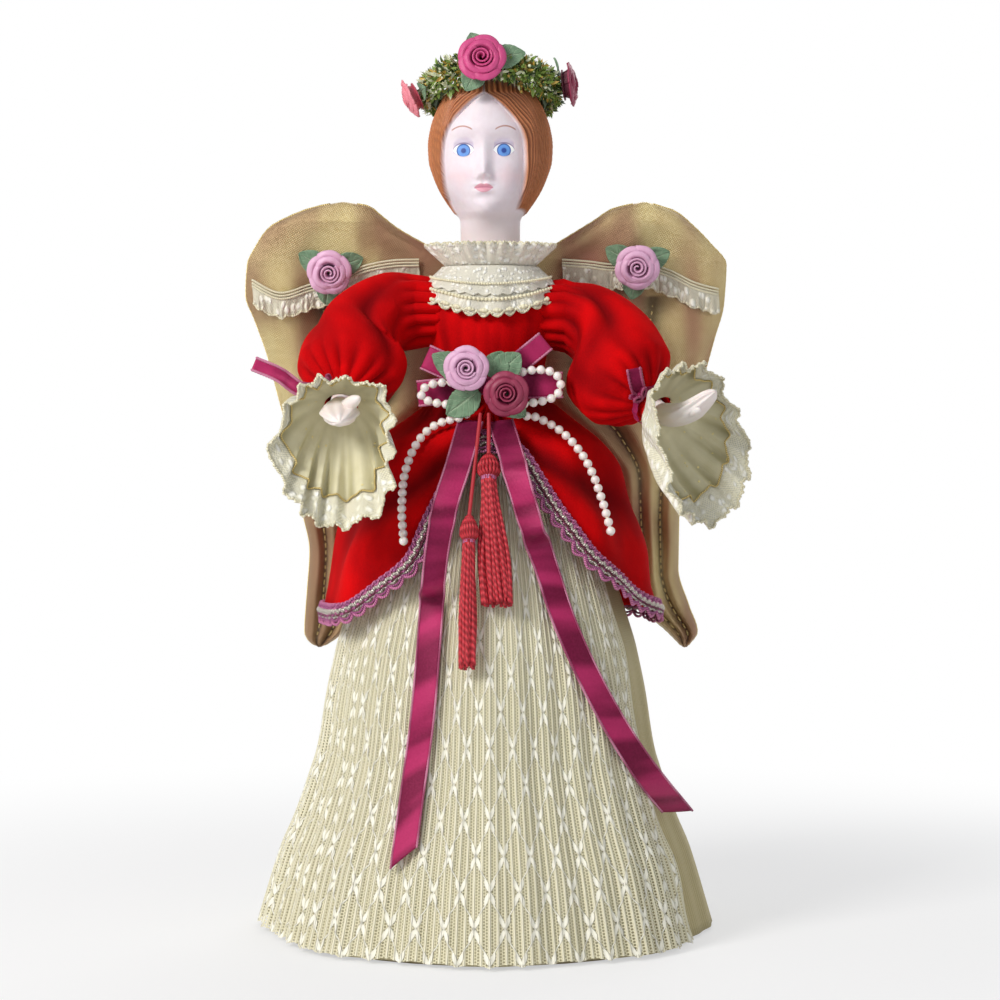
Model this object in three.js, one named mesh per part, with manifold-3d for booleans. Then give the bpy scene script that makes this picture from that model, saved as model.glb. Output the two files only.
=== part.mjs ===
// Angel tree topper: a bisque shoulder head on a dressed, stuffed body over a hollow base cone.
//
// Millimetres, +Z up. The figure faces -Y and the origin is the middle of the cone's foot.
// left_ and right_ are the angel's own sides: right_ pieces lie at -X and left_ pieces at +X.
// A bearing is an angle round the figure, 0 at the front (-Y) and growing towards +X.

import * as THREE from "three";
import { mergeVertices } from "three/addons/utils/BufferGeometryUtils.js";
import Module from "manifold-3d";

const wasm = await Module();
wasm.setup();

// Sizes that every piece shares
const seam = 0.3;
const clothWall = 0.5;
const velvetWall = 0.8;
const laceWall = 0.5;
const ribbonWall = 0.5;
const wireRadius = 0.9;
const roundSides = 10;
const quarter = Math.PI / 2;
const turn = Math.PI * 2;

// Base cone
const coneHeight = 165;
const coneFootRadius = 67.5;
const coneTopRadius = 10.5;
const coneWall = 1.3;
const coneSides = 36;

// Skirts
const skirtHemRadius = 73.4;
const skirtHemLift = 0.8;
const skirtTopDrop = 0.5;
const skirtFold = 1.6;
const skirtFoldCount = 8;
const pleatCount = 36;
const openPleats = 5;
const openingBearing = (62 * Math.PI) / 180;
const pleatAtHem = 1.0;
const pleatAtWaist = 0.35;
const liningGap = 0.6;
const skirtFlareShares = [
  [0, 1], [0.16, 0.868], [0.22, 0.79], [0.3, 0.72], [0.375, 0.668], [0.455, 0.642],
  [0.535, 0.594], [0.606, 0.54], [0.7, 0.46], [0.79, 0.37], [0.9, 0.205], [0.96, 0.092], [1, 0],
];
const skirtRowShares = [0, 0.15, 0.34, 0.56, 0.8, 1];

// Stuffed figure above the waist: height, half width and half depth
const bustHeight = 47;
const bustHalfWidth = 21.2;
const bustHalfDepth = 13.6;
const bustWidthShares = [
  [0, 0.5], [0.13, 0.67], [0.32, 0.735], [0.53, 0.86], [0.7, 1], [0.85, 0.88], [1, 0.595],
];
const bustDepthShares = [
  [0, 0.75], [0.13, 0.94], [0.32, 0.97], [0.53, 1], [0.7, 0.94], [0.85, 0.81], [1, 0.72],
];
const torsoTopShare = 0.85;
const figureColumns = 28;
const bustRowShares = [0.03, 0.13, 0.32, 0.53, 0.7, 0.85, 1];

// Shoulder head, with its heights above the cone's top
const neckHeight = 52;
const headHeight = 112;
const headHalfWidth = 19.6;
const headHalfDepth = 19.4;
const headSetBack = 1.2;
const chinHeight = 64;
const noseHeight = 76.5;
const noseRise = 3.4;
const noseHalfWidth = 2.2;
const noseSpreadShare = 1.4;
const chinRise = 3.6;
const chinHalfWidth = 5.5;
const chinSpreadShare = 1.2;
const browRise = 0.9;
const browAboveShare = 3.6;
const browSpreadShare = 2;
const headWidthShares = [
  [0, 0.52], [0.07, 0.487], [0.16, 0.49], [0.215, 0.59], [0.27, 0.71], [0.335, 0.83],
  [0.41, 0.925], [0.49, 0.99], [0.57, 1], [0.66, 0.965], [0.755, 0.87], [0.835, 0.73],
  [0.91, 0.54], [0.965, 0.3], [1, 0.09],
];
const headFrontShares = [
  [0, 0.45], [0.07, 0.44], [0.16, 0.46], [0.215, 0.62], [0.27, 0.76], [0.335, 0.82],
  [0.41, 0.83], [0.49, 0.81], [0.57, 0.83], [0.66, 0.86], [0.755, 0.83], [0.835, 0.73],
  [0.91, 0.55], [0.965, 0.31], [1, 0.09],
];
const headBackShares = [
  [0, 0.55], [0.07, 0.55], [0.16, 0.57], [0.215, 0.7], [0.27, 0.84], [0.335, 0.96],
  [0.41, 1.05], [0.49, 1.12], [0.57, 1.14], [0.66, 1.1], [0.755, 0.98], [0.835, 0.82],
  [0.91, 0.61], [0.965, 0.34], [1, 0.09],
];
const faceFocusShare = 0.26;
const headRowShares = [
  0, 0.1, 0.17, 0.21, 0.27, 0.33, 0.38, 0.415, 0.46, 0.53, 0.61, 0.7, 0.79, 0.86, 0.92, 0.97, 1,
];

// Peplum: its waist above the cone's top, its hem and the apex of its front below it, fullness and folds
const peplumRise = 5.5;
const peplumDrop = 63.5;
const peplumApexDrop = 7;
const peplumTop = coneHeight + peplumRise;
const peplumHem = coneHeight - peplumDrop;
const peplumApex = coneHeight - peplumApexDrop;
const peplumRadius = 53.2;
const peplumFrontLift = 3.2;
const peplumFold = 1.5;
const peplumFoldCount = 10;
const peplumFlareShares = [
  [0, 0], [0.035, 0.13], [0.11, 0.34], [0.2, 0.54], [0.33, 0.72], [0.48, 0.83],
  [0.62, 0.9], [0.82, 0.965], [1, 1],
];
const rightHemShares = [
  [0, 1], [0.07, 0.97], [0.133, 0.6], [0.17, 0.33], [0.235, 0.19], [0.34, 0.03], [0.5, 0], [1, 0],
];
const leftHemShares = [
  [0, 1], [0.09, 0.93], [0.178, 0.55], [0.23, 0.34], [0.28, 0.24], [0.42, 0.05], [0.55, 0], [1, 0],
];
const frontReach = Math.PI * 0.62;
const frontFullnessShare = 0.24;
const peplumColumns = 40;
const peplumRowShares = [0, 0.06, 0.16, 0.34, 0.62, 1];

// Braid along the peplum hem
const braidWidth = 6;
const braidWall = 1.1;
const braidScallop = 1.2;
const braidClearance = 0.9;

// Collar ruffles
const collarColumns = 30;
const collarDrop = 14.6;
const collarSideDrop = 7.6;
const collarLift = 3.4;
const collarSideLift = 1.0;
const collarWaves = 10;
const collarWaveShare = 0.55;
const collarFlatPower = 1.2;
const collarRowShares = [0, 0.35, 0.7, 1];
const ruffHeight = 6.2;
const ruffFlare = 6.4;
const ruffClearance = 1.6;
const ruffWaveShare = 0.7;
const ruffRowShares = [0, 0.5, 1];

// Wreath
const wreathRise = 101.2;
const wreathHeight = coneHeight + wreathRise;
const wreathTilt = 5.6;
const wreathWire = 0.7;
const wreathWireSetShare = 1.5;
const wreathBushRadius = 2.9;
const wreathBushThinShare = 0.88;
const wreathBushLeanShare = 0.5;
const wreathBushNearShare = 0.93;
const wreathSteps = 24;
const wireSides = 4;
const bushSides = 6;

// Ribbon roses and leaves
const roseHeight = 5;
const roseTurns = 2.25;
const roseSteps = 8;
const roseBudShare = 0.15;
const roseBaseShare = 0.55;
const roseLeanShare = 0.28;
const roseCalyxShare = 0.67;
const roseOuterRiseShare = 0.78;
const roseTuckStartShare = 0.96;
const roseTuckShare = 0.8;
const calyxSides = 12;
const petalWall = 0.75;
const calyxWall = 1.2;
const leafWall = 0.9;
const leafWidthShares = [0.3, 0.85, 1, 0.72, 0.16];
const waistRoseRadius = 7.2;
const wingRoseRadius = 7.4;
const wreathRoseRadius = 7.8;
const sideRoseRadius = 6.6;
const leftSideRoseShare = 1.1;

// Wings, measured in their own leaning plane
const wingSpan = 80.2;
const wingLength = 151.5;
const wingLean = Math.atan(0.22);
const wingRootRise = 55;
const wingRootHeight = coneHeight + wingRootRise;
const wingRootBack = 16;
const wingTipDrop = 134;
const wingLoft = 4.2;
const wingEdge = 0.7;
const wingFullSpanShare = 0.4;
const rightWingOuterShares = [
  [0, 0.729], [0.0135, 0.767], [0.034, 0.784], [0.128, 0.771], [0.226, 0.757], [0.311, 0.784],
  [0.405, 0.81], [0.5, 0.843], [0.581, 0.879], [0.672, 0.921], [0.743, 0.966], [0.797, 1],
  [0.864, 0.991], [0.905, 0.954], [0.944, 0.9], [0.973, 0.773], [0.991, 0.623], [1, 0.57],
];
const rightWingInnerShares = [
  [0, 0.718], [0.0135, 0.673], [0.045, 0.607], [0.1, 0.569], [0.264, 0.549], [0.4, 0.524],
  [0.486, 0.399], [0.581, 0.175], [0.669, 0.1], [0.743, 0.0786], [0.851, 0.0786],
  [0.878, 0.15], [0.905, 0.254], [0.946, 0.387], [0.973, 0.48], [0.991, 0.545], [1, 0.56],
];
const leftWingOuterShares = [
  [0, 0.829], [0.035, 0.87], [0.095, 0.833], [0.184, 0.784], [0.29, 0.784], [0.405, 0.804],
  [0.524, 0.823], [0.628, 0.882], [0.703, 0.918], [0.778, 0.953], [0.864, 0.96],
  [0.912, 0.892], [0.949, 0.823], [0.98, 0.729], [1, 0.636],
];
const leftWingInnerShares = [
  [0, 0.811], [0.041, 0.736], [0.081, 0.648], [0.12, 0.589], [0.264, 0.555], [0.4, 0.524],
  [0.486, 0.399], [0.581, 0.175], [0.669, 0.1], [0.743, 0.0786], [0.851, 0.0786],
  [0.895, 0.223], [0.959, 0.431], [0.986, 0.542], [1, 0.617],
];
const wingRowShares = [
  0, 0.014, 0.04, 0.11, 0.21, 0.32, 0.44, 0.55, 0.64, 0.72, 0.8, 0.86, 0.91, 0.95, 0.98, 1,
];
const channelShares = [
  [0, 0], [0.08, 0.62], [0.18, 0.95], [0.333, 0.4], [0.5, 1], [0.667, 0.4], [0.82, 0.95],
  [0.93, 0.6], [1, 0],
];
const crownShares = [
  [0, 0], [0.08, 0.6], [0.18, 0.85], [0.333, 0.98], [0.5, 1], [0.667, 0.98], [0.82, 0.85],
  [0.93, 0.58], [1, 0],
];
const channelTopShare = 0.8;
const crownStartShare = 0.86;

// Lace edging across each wing: places as shares of the span and of the length
const wingLaceDepth = 6;
const wingLaceWall = 0.8;
const wingLaceRuffle = 1.3;
const wingLaceWaves = 7;
const rightWingLaceShares = [
  [0.972, 0.825], [0.86, 0.8], [0.74, 0.815], [0.62, 0.832], [0.52, 0.857], [0.4, 0.87], [0.29, 0.872],
];
const leftWingLaceShares = [
  [0.93, 0.805], [0.83, 0.822], [0.72, 0.85], [0.6, 0.868], [0.5, 0.862], [0.4, 0.868], [0.29, 0.872],
];

const rightWingRoseShares = [0.651, 0.859];
const leftWingRoseShares = [0.592, 0.872];
const wingLeafShares = [0.06, 0.42, 0.73];
const wingLeafReachShare = 1.5;
const wingSeatShare = 0.98;

// Wing mount, with its heights above the cone's top
const patchWidth = 9.6;
const patchBottomRise = 19;
const patchTopRise = 37.5;
const patchBottom = coneHeight + patchBottomRise;
const patchTop = coneHeight + patchTopRise;
const patchRows = 3;
const upperWireRise = 35;
const lowerWireRise = 23;

// Arms, measured outwards, forwards and downwards from the shoulder
const shoulderOut = 23.4;
const shoulderRise = 33;
const shoulderHeight = coneHeight + shoulderRise;
const armOut = 22.6;
const armForward = 34;
const armDrop = 29;
const sleeveRadius = 18;
const sleeveWrist = 5.2;
const sleeveColumns = 16;
const sleeveRingShares = [0, 0.1, 0.22, 0.34, 0.46, 0.57, 0.67, 0.75, 0.82, 1];
const rightArmShares = [
  [0, 0, 0], [0.35, 0.06, 0.07], [0.75, 0.26, 0.41], [0.93, 0.59, 0.72], [0.98, 0.82, 0.9], [1, 1, 1],
];
const leftArmShares = [
  [0, 0, 0.04], [0.32, 0.09, 0.19], [0.64, 0.3, 0.52], [0.9, 0.56, 0.83], [1.12, 0.72, 0.99],
  [1.25, 0.84, 1.07],
];
const sleeveFullShares = [
  [0, 0.63], [0.2, 0.82], [0.42, 1], [0.57, 0.94], [0.67, 0.72], [0.75, 0.45], [0.82, 0.29],
  [1, 0.29],
];
const shoulderSquareShare = 0.55;
const armWireSteps = 8;
const armWireSides = 4;

// Wrist ties: tail places are shares of the tail's reach, across, forwards and up
const tieWidth = 2.6;
const tieWall = 0.7;
const tieSetBack = 1;
const tieSides = 16;
const tieTailWidth = 4;
const tieTailSteps = 6;
const tieNeckShare = 0.4;
const rightTieReach = 30;
const leftTieReach = 15;
const rightTieShares = [
  [-0.113, -0.153, 0.04], [-0.4, -0.28, 0.1], [-0.633, -0.217, 0.253], [-0.9, -0.167, 0.367],
];
const leftTieShares = [[-0.2, -0.333, 0.173], [-0.333, -0.467, 0.44], [-0.4, -0.507, 0.767]];

// Cuffs: aims are directions, outwards, forwards and up
const cuffMouth = 17.5;
const cuffTop = 11;
const cuffBottom = 34;
const cuffPleats = 14;
const cuffPleat = 0.8;
const cuffRows = 3;
const cuffSetForward = 1.8;
const cuffFlareShares = [[0, 0], [0.12, 0.3], [0.35, 0.62], [0.65, 0.85], [1, 1]];
const rightCuffAimShares = [0.03, -0.72, -0.69];
const leftCuffAimShares = [0.62, -0.62, -0.48];
const leftCuffMouthShare = 1.12;

// Hands: places are shares of the hand's length from the wrist, outwards, forwards and up
const handWrist = 3.4;
const handLength = 22;
const handSides = 10;
const thumbSides = 8;
const rightPalmShares = [0, -0.455, -0.145];
const rightFingerShares = [-0.027, -0.955, -0.273];
const rightThumbShares = [-0.29, -0.75, 0.073];
const leftPalmShares = [0.382, -0.427, -0.055];
const leftFingerShares = [0.782, -0.827, 0.255];
const leftThumbShares = [0.573, -0.8, 0];
const handRowShares = [0, 0.16, 0.3, 0.42, 0.52, 0.64, 0.76, 0.87, 0.95, 1];
const handWidthShares = [
  [0, 1], [0.3, 1], [0.5, 1.5], [0.65, 1.75], [0.82, 1.35], [0.94, 0.85], [1, 0.4],
];
const handDepthShares = [
  [0, 1], [0.3, 1], [0.5, 1.1], [0.65, 1.0], [0.82, 0.75], [0.94, 0.55], [1, 0.3],
];
const thumbWidthShares = [[0, 0.62], [0.4, 0.6], [0.75, 0.5], [1, 0.25]];

// Waist bow, ribbon tails and pearls
const bowRise = 9;
const bowHeight = coneHeight + bowRise;
const bowDepth = 2.2;
const bowWidth = 7.6;
const bowReach = 23;
const knotHalf = 4.2;
const bowSteps = 10;
const bowNearShare = 0.04;
const bowPinchShare = 0.35;
const bowGatherShare = 0.45;
const bowLoopShares = [
  [-0.88, 0.4, 1], [-0.99, -0.1, 1], [0.76, 0.62, 0.82], [0.99, 0.02, 1],
];
const tailWidth = 7.6;
const tailLift = 1.65;
const tailTopDrop = 2;
const tailTop = coneHeight - tailTopDrop;
const tailDrop = 135;
const rightTailShares = [[-0.045, 0], [-0.073, 0.1], [-0.104, 0.2], [-0.126, 0.33], [-0.138, 0.5],
  [-0.15, 0.65], [-0.172, 0.82], [-0.196, 1]];
const leftTailShares = [[0.024, 0], [0.055, 0.1], [0.09, 0.22], [0.13, 0.34], [0.175, 0.47],
  [0.245, 0.62], [0.34, 0.78], [0.452, 0.93]];
const tailRings = 24;
const laySamples = 5;
const layPasses = 5;
const bandTilt = 0.5;
const pearlRadius = 1.4;
const pearlThread = 0.45;
const pearlPitch = 2.9;
const pearlSides = 4;
const rightPearlRoute = [
  [-5, -23.8, 174.8], [-9.5, -23.8, 175.2], [-14.5, -23.8, 175.2], [-19, -23.8, 174.4],
  [-21.6, -23.8, 172.4], [-21.2, -23.8, 170.4], [-18.6, -23.8, 169.2], [-14.8, -23.8, 168.5],
  [-10.6, -23.8, 168.1], [-7.6, -23.8, 167.4], [-7.2, -23.9, 165.6], [-9, -24.8, 164.4],
  [-13, -23.8, 163.4], [-17.2, -22.2, 161.8], [-20.8, -22.3, 159], [-23.6, -23.9, 155],
  [-25.6, -26.2, 150.4], [-26.9, -28.9, 145.2], [-27.3, -32.1, 139.9], [-27.3, -35.8, 134.2],
  [-26.9, -38.1, 129.8], [-26.5, -41.7, 125.3],
];
const leftPearlRoute = [
  [6, -23.8, 177.5], [10.5, -23.8, 178.6], [15, -23.8, 179.2], [19, -23.8, 178.6],
  [21.6, -23.8, 176.6], [22.1, -23.8, 173.8], [20.8, -23.8, 171.2], [18, -23.8, 169.8],
  [14.5, -23.8, 169], [11, -23.8, 168.6], [8.2, -23.8, 167.6], [8, -23.8, 165.8],
  [10, -23.2, 164.8], [14.2, -21.6, 164.4], [18.4, -20.9, 162.4], [22.2, -21.4, 160],
  [25.2, -22.1, 157.2], [28.2, -23.1, 153.6], [30.8, -24.4, 149.4], [32.7, -25.7, 145.2],
  [34.2, -27.3, 140.8], [35.6, -28.9, 136.4], [36.8, -30.3, 132], [37.9, -30.9, 127.6],
];

// Waist corsage: two roses on a hub of leaves in front of the bow
const corsageAcross = -1.1;
const corsageAboveBow = 0.2;
const corsageHeight = bowHeight + corsageAboveBow;
const corsageHub = 8.3;
const pinkRoseAcross = -7.4;
const pinkRoseAboveBow = 5.5;
const burgundyRoseAcross = 5.1;
const burgundyRoseBelowBow = 2.4;
const waistLeafLength = 19;
const waistLeafWidth = 9;
const waistLeafShares = [
  [0.417, 1, 1], [0.12, 0.74, 1], [0.18, 0.6, 0.9], [0.6, 0.79, 1], [0.894, 0.79, 0.9],
];

// Tassels, measured down the leaning plane of their cords from the place they hang on.
// The fringe is tucked back from that plane, towards the skirt.
const tasselLean = Math.atan(0.48);
const tasselHangRise = 0.5;
const tasselHangHeight = coneHeight + tasselHangRise;
const tasselHangForward = 26.3;
const tasselCord = 0.6;
const tasselCordSides = 8;
const tasselHeadLength = 7.4;
const tasselThick = 4;
const tasselFlutes = 10;
const tasselFlute = 0.35;
const tasselNeckShare = 0.62;
const upperTassel = {
  name: "upper", hang: -0.4, head: [-0.4, 14.4], radius: 3.4, tip: [2.4, 62.7], tuck: 5.6, half: 5.6,
};
const lowerTassel = {
  name: "lower", hang: -3, head: [-6.4, 35.3], radius: 2.6, tip: [-6.9, 81.9], tuck: 8.9, half: 3,
};
const tasselRowShares = [
  [0, 0.35], [0.035, 0.85], [0.075, 1], [0.12, 0.9], [0.15, 0.62], [0.21, 0.86], [0.5, 0.95], [1, 1],
];

// Materials
function finish(color, roughness, metalness = 0) {
  return new THREE.MeshStandardMaterial({ color, roughness, metalness });
}
const board = finish(0xb9a583, 0.9);
const ivoryCloth = finish(0x9c8f63, 0.85);
const creamLace = finish(0xe9e2c4, 0.9);
const redVelvet = finish(0xc8000c, 0.95);
const stuffing = finish(0xe6dfd0, 0.95);
const bisque = finish(0xf4e6e2, 0.55);
const steelWire = finish(0x8d8f92, 0.4, 0.9);
const lame = finish(0x9a7a4d, 0.45, 0.5);
const pinkSatin = finish(0xd487a6, 0.55);
const wineSatin = finish(0x8e1742, 0.4);
const leafCloth = finish(0x6f8a6a, 0.8);
const greenery = finish(0x7f9150, 0.85);
const pearl = finish(0xf6eee6, 0.25);
const crimsonCord = finish(0xc0303a, 0.7);
const braid = finish(0xa8638a, 0.6, 0.2);

// Smooth value of a table of [place, value] rows, without overshoot
function read(rows, at) {
  const last = rows.length - 1;
  if (at <= rows[0][0]) return rows[0][1];
  if (at >= rows[last][0]) return rows[last][1];
  let i = 0;
  while (rows[i + 1][0] < at) i += 1;
  const slope = (k) => (rows[k + 1][1] - rows[k][1]) / (rows[k + 1][0] - rows[k][0]);
  const tangent = (k) => {
    if (k === 0) return slope(0);
    if (k === last) return slope(last - 1);
    const product = slope(k - 1) * slope(k);
    return product <= 0 ? 0 : (2 * product) / (slope(k - 1) + slope(k));
  };
  const step = rows[i + 1][0] - rows[i][0];
  const t = (at - rows[i][0]) / step;
  const rise = t * t * (3 - 2 * t);
  const start = t * (1 - t) * (1 - t) * tangent(i) * step;
  const end = t * t * (t - 1) * tangent(i + 1) * step;
  return rows[i][1] * (1 - rise) + rows[i + 1][1] * rise + start + end;
}

const mix = (a, b, t) => a + (b - a) * t;
const clamp = (value, low, high) => Math.min(Math.max(value, low), high);
const ease = (t) => {
  const s = clamp(t, 0, 1);
  return s * s * (3 - 2 * s);
};
const vector = (x, y, z) => new THREE.Vector3(x, y, z);
const range = (count) => Array.from({ length: count }, (_, i) => i);

// Point at a radius and bearing round the figure
function polar(radius, bearing, z) {
  return vector(radius * Math.sin(bearing), -radius * Math.cos(bearing), z);
}

// Closed solid through rings of equal point counts, capped at both ends or joined into a loop
function ringSolid(rings, loop = false) {
  const sides = rings[0].length;
  const spans = loop ? rings.length : rings.length - 1;
  const index = [];
  for (let i = 0; i < spans; i += 1) {
    const next = (i + 1) % rings.length;
    for (let k = 0; k < sides; k += 1) {
      const across = (k + 1) % sides;
      index.push(i * sides + k, next * sides + k, next * sides + across);
      index.push(i * sides + k, next * sides + across, i * sides + across);
    }
  }
  if (!loop) {
    capRing(index, 0, sides, false);
    capRing(index, (rings.length - 1) * sides, sides, true);
  }
  const geometry = new THREE.BufferGeometry();
  const points = rings.flat();
  geometry.setAttribute("position", new THREE.Float32BufferAttribute(points.flatMap((p) => p.toArray()), 3));
  if (volumeOf(points, index) < 0) {
    for (let i = 0; i < index.length; i += 3) index.splice(i, 3, index[i], index[i + 2], index[i + 1]);
  }
  geometry.setIndex(index);
  return geometry;
}

// A ring is closed by a strip that pairs its first half with its second half
function capRing(index, first, sides, reversed) {
  for (let k = 0; k < sides / 2 - 1; k += 1) {
    const a = first + k;
    const b = first + k + 1;
    const c = first + sides - 2 - k;
    const d = first + sides - 1 - k;
    const corners = b === c ? [[a, b, d]] : [[a, b, c], [a, c, d]];
    for (const [p, q, r] of corners) index.push(...(reversed ? [p, r, q] : [p, q, r]));
  }
}

function volumeOf(points, index) {
  let volume = 0;
  for (let i = 0; i < index.length; i += 3) {
    const [a, b, c] = [points[index[i]], points[index[i + 1]], points[index[i + 2]]];
    volume += a.dot(b.clone().cross(c));
  }
  return volume;
}

// Cloth between an outer and an inner surface, across columns and down rows
function clothSolid(columns, rows, outer, inner, loop) {
  const rings = range(loop ? columns : columns + 1).map((i) => {
    const u = i / columns;
    return [...rows.map((v) => outer(u, v)), ...[...rows].reverse().map((v) => inner(u, v))];
  });
  return ringSolid(rings, loop);
}

// Flat band along stations that each hold a middle point, a sideways and an outward direction
function bandSolid(stations, width, wall) {
  const rings = stations.map(({ at, side, out, share = 1 }) => {
    const half = (width * share) / 2;
    return [[-half, 0], [half, 0], [half, wall], [-half, wall]].map(([across, up]) =>
      at.clone().addScaledVector(side, across).addScaledVector(out, up));
  });
  return ringSolid(rings);
}

// Round section of given radii about a point, square to an axis
function roundRing(centre, axis, across, up, sides, reference = vector(0, 0, 1)) {
  const side = reference.clone().cross(axis).normalize();
  const lift = axis.clone().cross(side).normalize();
  return range(sides).map((k) => {
    const angle = (k / sides) * turn;
    return centre.clone()
      .addScaledVector(side, across * Math.cos(angle))
      .addScaledVector(lift, up * Math.sin(angle));
  });
}

// Tube along a curve
function tube(curve, radius, steps, sides = 8) {
  const section = new THREE.Shape();
  section.absarc(0, 0, radius, 0, turn, false);
  return new THREE.ExtrudeGeometry(section, {
    steps, extrudePath: curve, bevelEnabled: false, curveSegments: sides,
  });
}

// Booleans
function toManifold(geometry) {
  const bare = geometry.clone();
  bare.deleteAttribute("normal");
  bare.deleteAttribute("uv");
  const merged = mergeVertices(bare, 1e-4);
  return new wasm.Manifold(new wasm.Mesh({
    numProp: 3,
    vertProperties: Float32Array.from(merged.attributes.position.array),
    triVerts: Uint32Array.from(merged.index.array),
  }));
}

function toGeometry(manifold) {
  const mesh = manifold.getMesh();
  const geometry = new THREE.BufferGeometry();
  geometry.setAttribute("position", new THREE.Float32BufferAttribute(mesh.vertProperties, 3));
  geometry.setIndex(Array.from(mesh.triVerts));
  return geometry;
}

const joined = (...shapes) => toGeometry(shapes.map(toManifold).reduce((all, one) => all.add(one)));
const cut = (shape, tool) => toGeometry(toManifold(shape).subtract(toManifold(tool)));

function piece(parent, name, geometry, material) {
  const mesh = new THREE.Mesh(geometry, material);
  mesh.name = name;
  parent.add(mesh);
  return mesh;
}

const figure = new THREE.Group();

// Surfaces that the layers share

const coneRadiusAt = (z) => mix(coneFootRadius, coneTopRadius, z / coneHeight);
const laceWaistRadius = coneTopRadius + seam * 2 + clothWall + liningGap + pleatAtWaist + laceWall;
const skirtTop = coneHeight - skirtTopDrop;

// Value along the straight lines between the rows that a cloth is modelled with
function alongRows(rows, share, valueAt) {
  const next = clamp(rows.findIndex((row) => row >= share), 1, rows.length - 1);
  const [low, high] = [rows[next - 1], rows[next]];
  return mix(valueAt(low), valueAt(high), (share - low) / (high - low));
}

function skirtRadius(bearing, z) {
  const share = clamp(z / skirtTop, 0, 1);
  const flare = alongRows(skirtRowShares, share, (row) => read(skirtFlareShares, row));
  const fold = skirtFold * flare * Math.sin(skirtFoldCount * bearing + quarter);
  return mix(laceWaistRadius, skirtHemRadius, flare) + fold;
}
const pleatAt = (z) => mix(pleatAtHem, pleatAtWaist, clamp(z / skirtTop, 0, 1));
const laceOuterRadius = (bearing, z) => skirtRadius(bearing, z) + pleatAt(z);

// Superellipse radius of the stuffed bust, and of the bodice over it
function bustRadius(bearing, z) {
  const share = (z - coneHeight) / bustHeight;
  const across = bustHalfWidth * read(bustWidthShares, share);
  const deep = bustHalfDepth * read(bustDepthShares, share);
  return (across * deep) / Math.hypot(deep * Math.sin(bearing), across * Math.cos(bearing));
}
const bodiceRadius = (bearing, z) => bustRadius(bearing, z) + seam + velvetWall;

// Peplum hem height and radius
function hemHeight(bearing) {
  const turned = Math.atan2(Math.sin(bearing), Math.cos(bearing));
  const rows = turned < 0 ? rightHemShares : leftHemShares;
  return mix(peplumHem, peplumApex, read(rows, Math.abs(turned) / Math.PI));
}

function peplumRadiusAt(bearing, z) {
  const share = clamp((peplumTop - z) / (peplumTop - peplumHem), 0, 1);
  const waist = bodiceRadius(bearing, peplumTop) + seam + velvetWall;
  const full = mix(waist, peplumRadius, read(peplumFlareShares, share));
  const turned = Math.abs(Math.atan2(Math.sin(bearing), Math.cos(bearing)));
  const fullness = mix(frontFullnessShare, 1, ease(turned / frontReach));
  const skirt = laceOuterRadius(bearing, Math.min(z, skirtTop)) + velvetWall;
  const close = Math.max(skirt + peplumFrontLift * ease(share * peplumColumns), waist);
  const fold = peplumFold * fullness * ease(share * 3) * Math.sin(peplumFoldCount * bearing);
  return mix(Math.min(close, full), full, fullness) + fold;
}

// How far forward the dressed skirt reaches at a place seen from the front
function depthOf(radiusAt, x, z) {
  let bearing = 0;
  for (let i = 0; i < 8; i += 1) bearing = Math.asin(clamp(x / radiusAt(bearing, z), -1, 1));
  return { depth: radiusAt(bearing, z) * Math.cos(bearing), bearing };
}

function frontDepth(x, z) {
  const skirt = depthOf(laceOuterRadius, x, Math.min(z, skirtTop));
  const trimmed = (b, h) => peplumRadiusAt(b, h) + braidClearance + braidWall;
  const peplum = depthOf(trimmed, x, Math.min(z, peplumTop));
  const beside = braidWidth / peplum.depth;
  const hem = Math.min(...[-beside, 0, beside].map((step) => hemHeight(peplum.bearing + step)));
  const covered = z > hem - braidWidth;
  return covered ? Math.max(skirt.depth, peplum.depth) : skirt.depth;
}

// How far forward a band lies at a place, and how it tilts across its width
function bandRest(x, z, width) {
  const half = width / 2;
  const rise = (frontDepth(x + half, z) - frontDepth(x - half, z)) / width;
  const slope = clamp(rise, -bandTilt, bandTilt);
  const reach = [-half, -half / 2, 0, half / 2, half].map((dx) => frontDepth(x + dx, z) - slope * dx);
  return { depth: Math.max(...reach), slope };
}

// Stations of a band laid on the dressed front, from places seen from the front
function laidStations(places, count, lift, width) {
  const route = new THREE.SplineCurve(places.map(([x, z]) => new THREE.Vector2(x, z)));
  const rests = route.getSpacedPoints(count * laySamples).map((p) => ({ p, ...bandRest(p.x, p.y, width) }));
  const stops = rests.filter((_, k) => k % laySamples === 0);
  const depths = stops.map(({ depth }) => depth);
  // Stations come forward until the straight stretches between them clear what they cross
  for (let pass = 0; pass < layPasses; pass += 1) {
    rests.forEach(({ depth }, k) => {
      const i = Math.min(Math.floor(k / laySamples), count - 1);
      const t = k / laySamples - i;
      const short = Math.max(depth - mix(depths[i], depths[i + 1], t), 0);
      depths[i] += short * (1 - t);
      depths[i + 1] += short * t;
    });
  }
  const points = stops.map(({ p }, i) => vector(p.x, -(depths[i] + lift), p.y));
  return points.map((at, i) => {
    const ahead = points[Math.min(i + 1, count)];
    const behind = points[Math.max(i - 1, 0)];
    const along = ahead.clone().sub(behind).normalize();
    const side = vector(1, -stops[i].slope, 0);
    side.addScaledVector(along, -side.dot(along)).normalize();
    const out = side.clone().cross(along).normalize();
    if (out.y > 0) out.negate();
    return { at, side, out };
  });
}

// Base cone: a hollow board cone, open below for the tree's top

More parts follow.
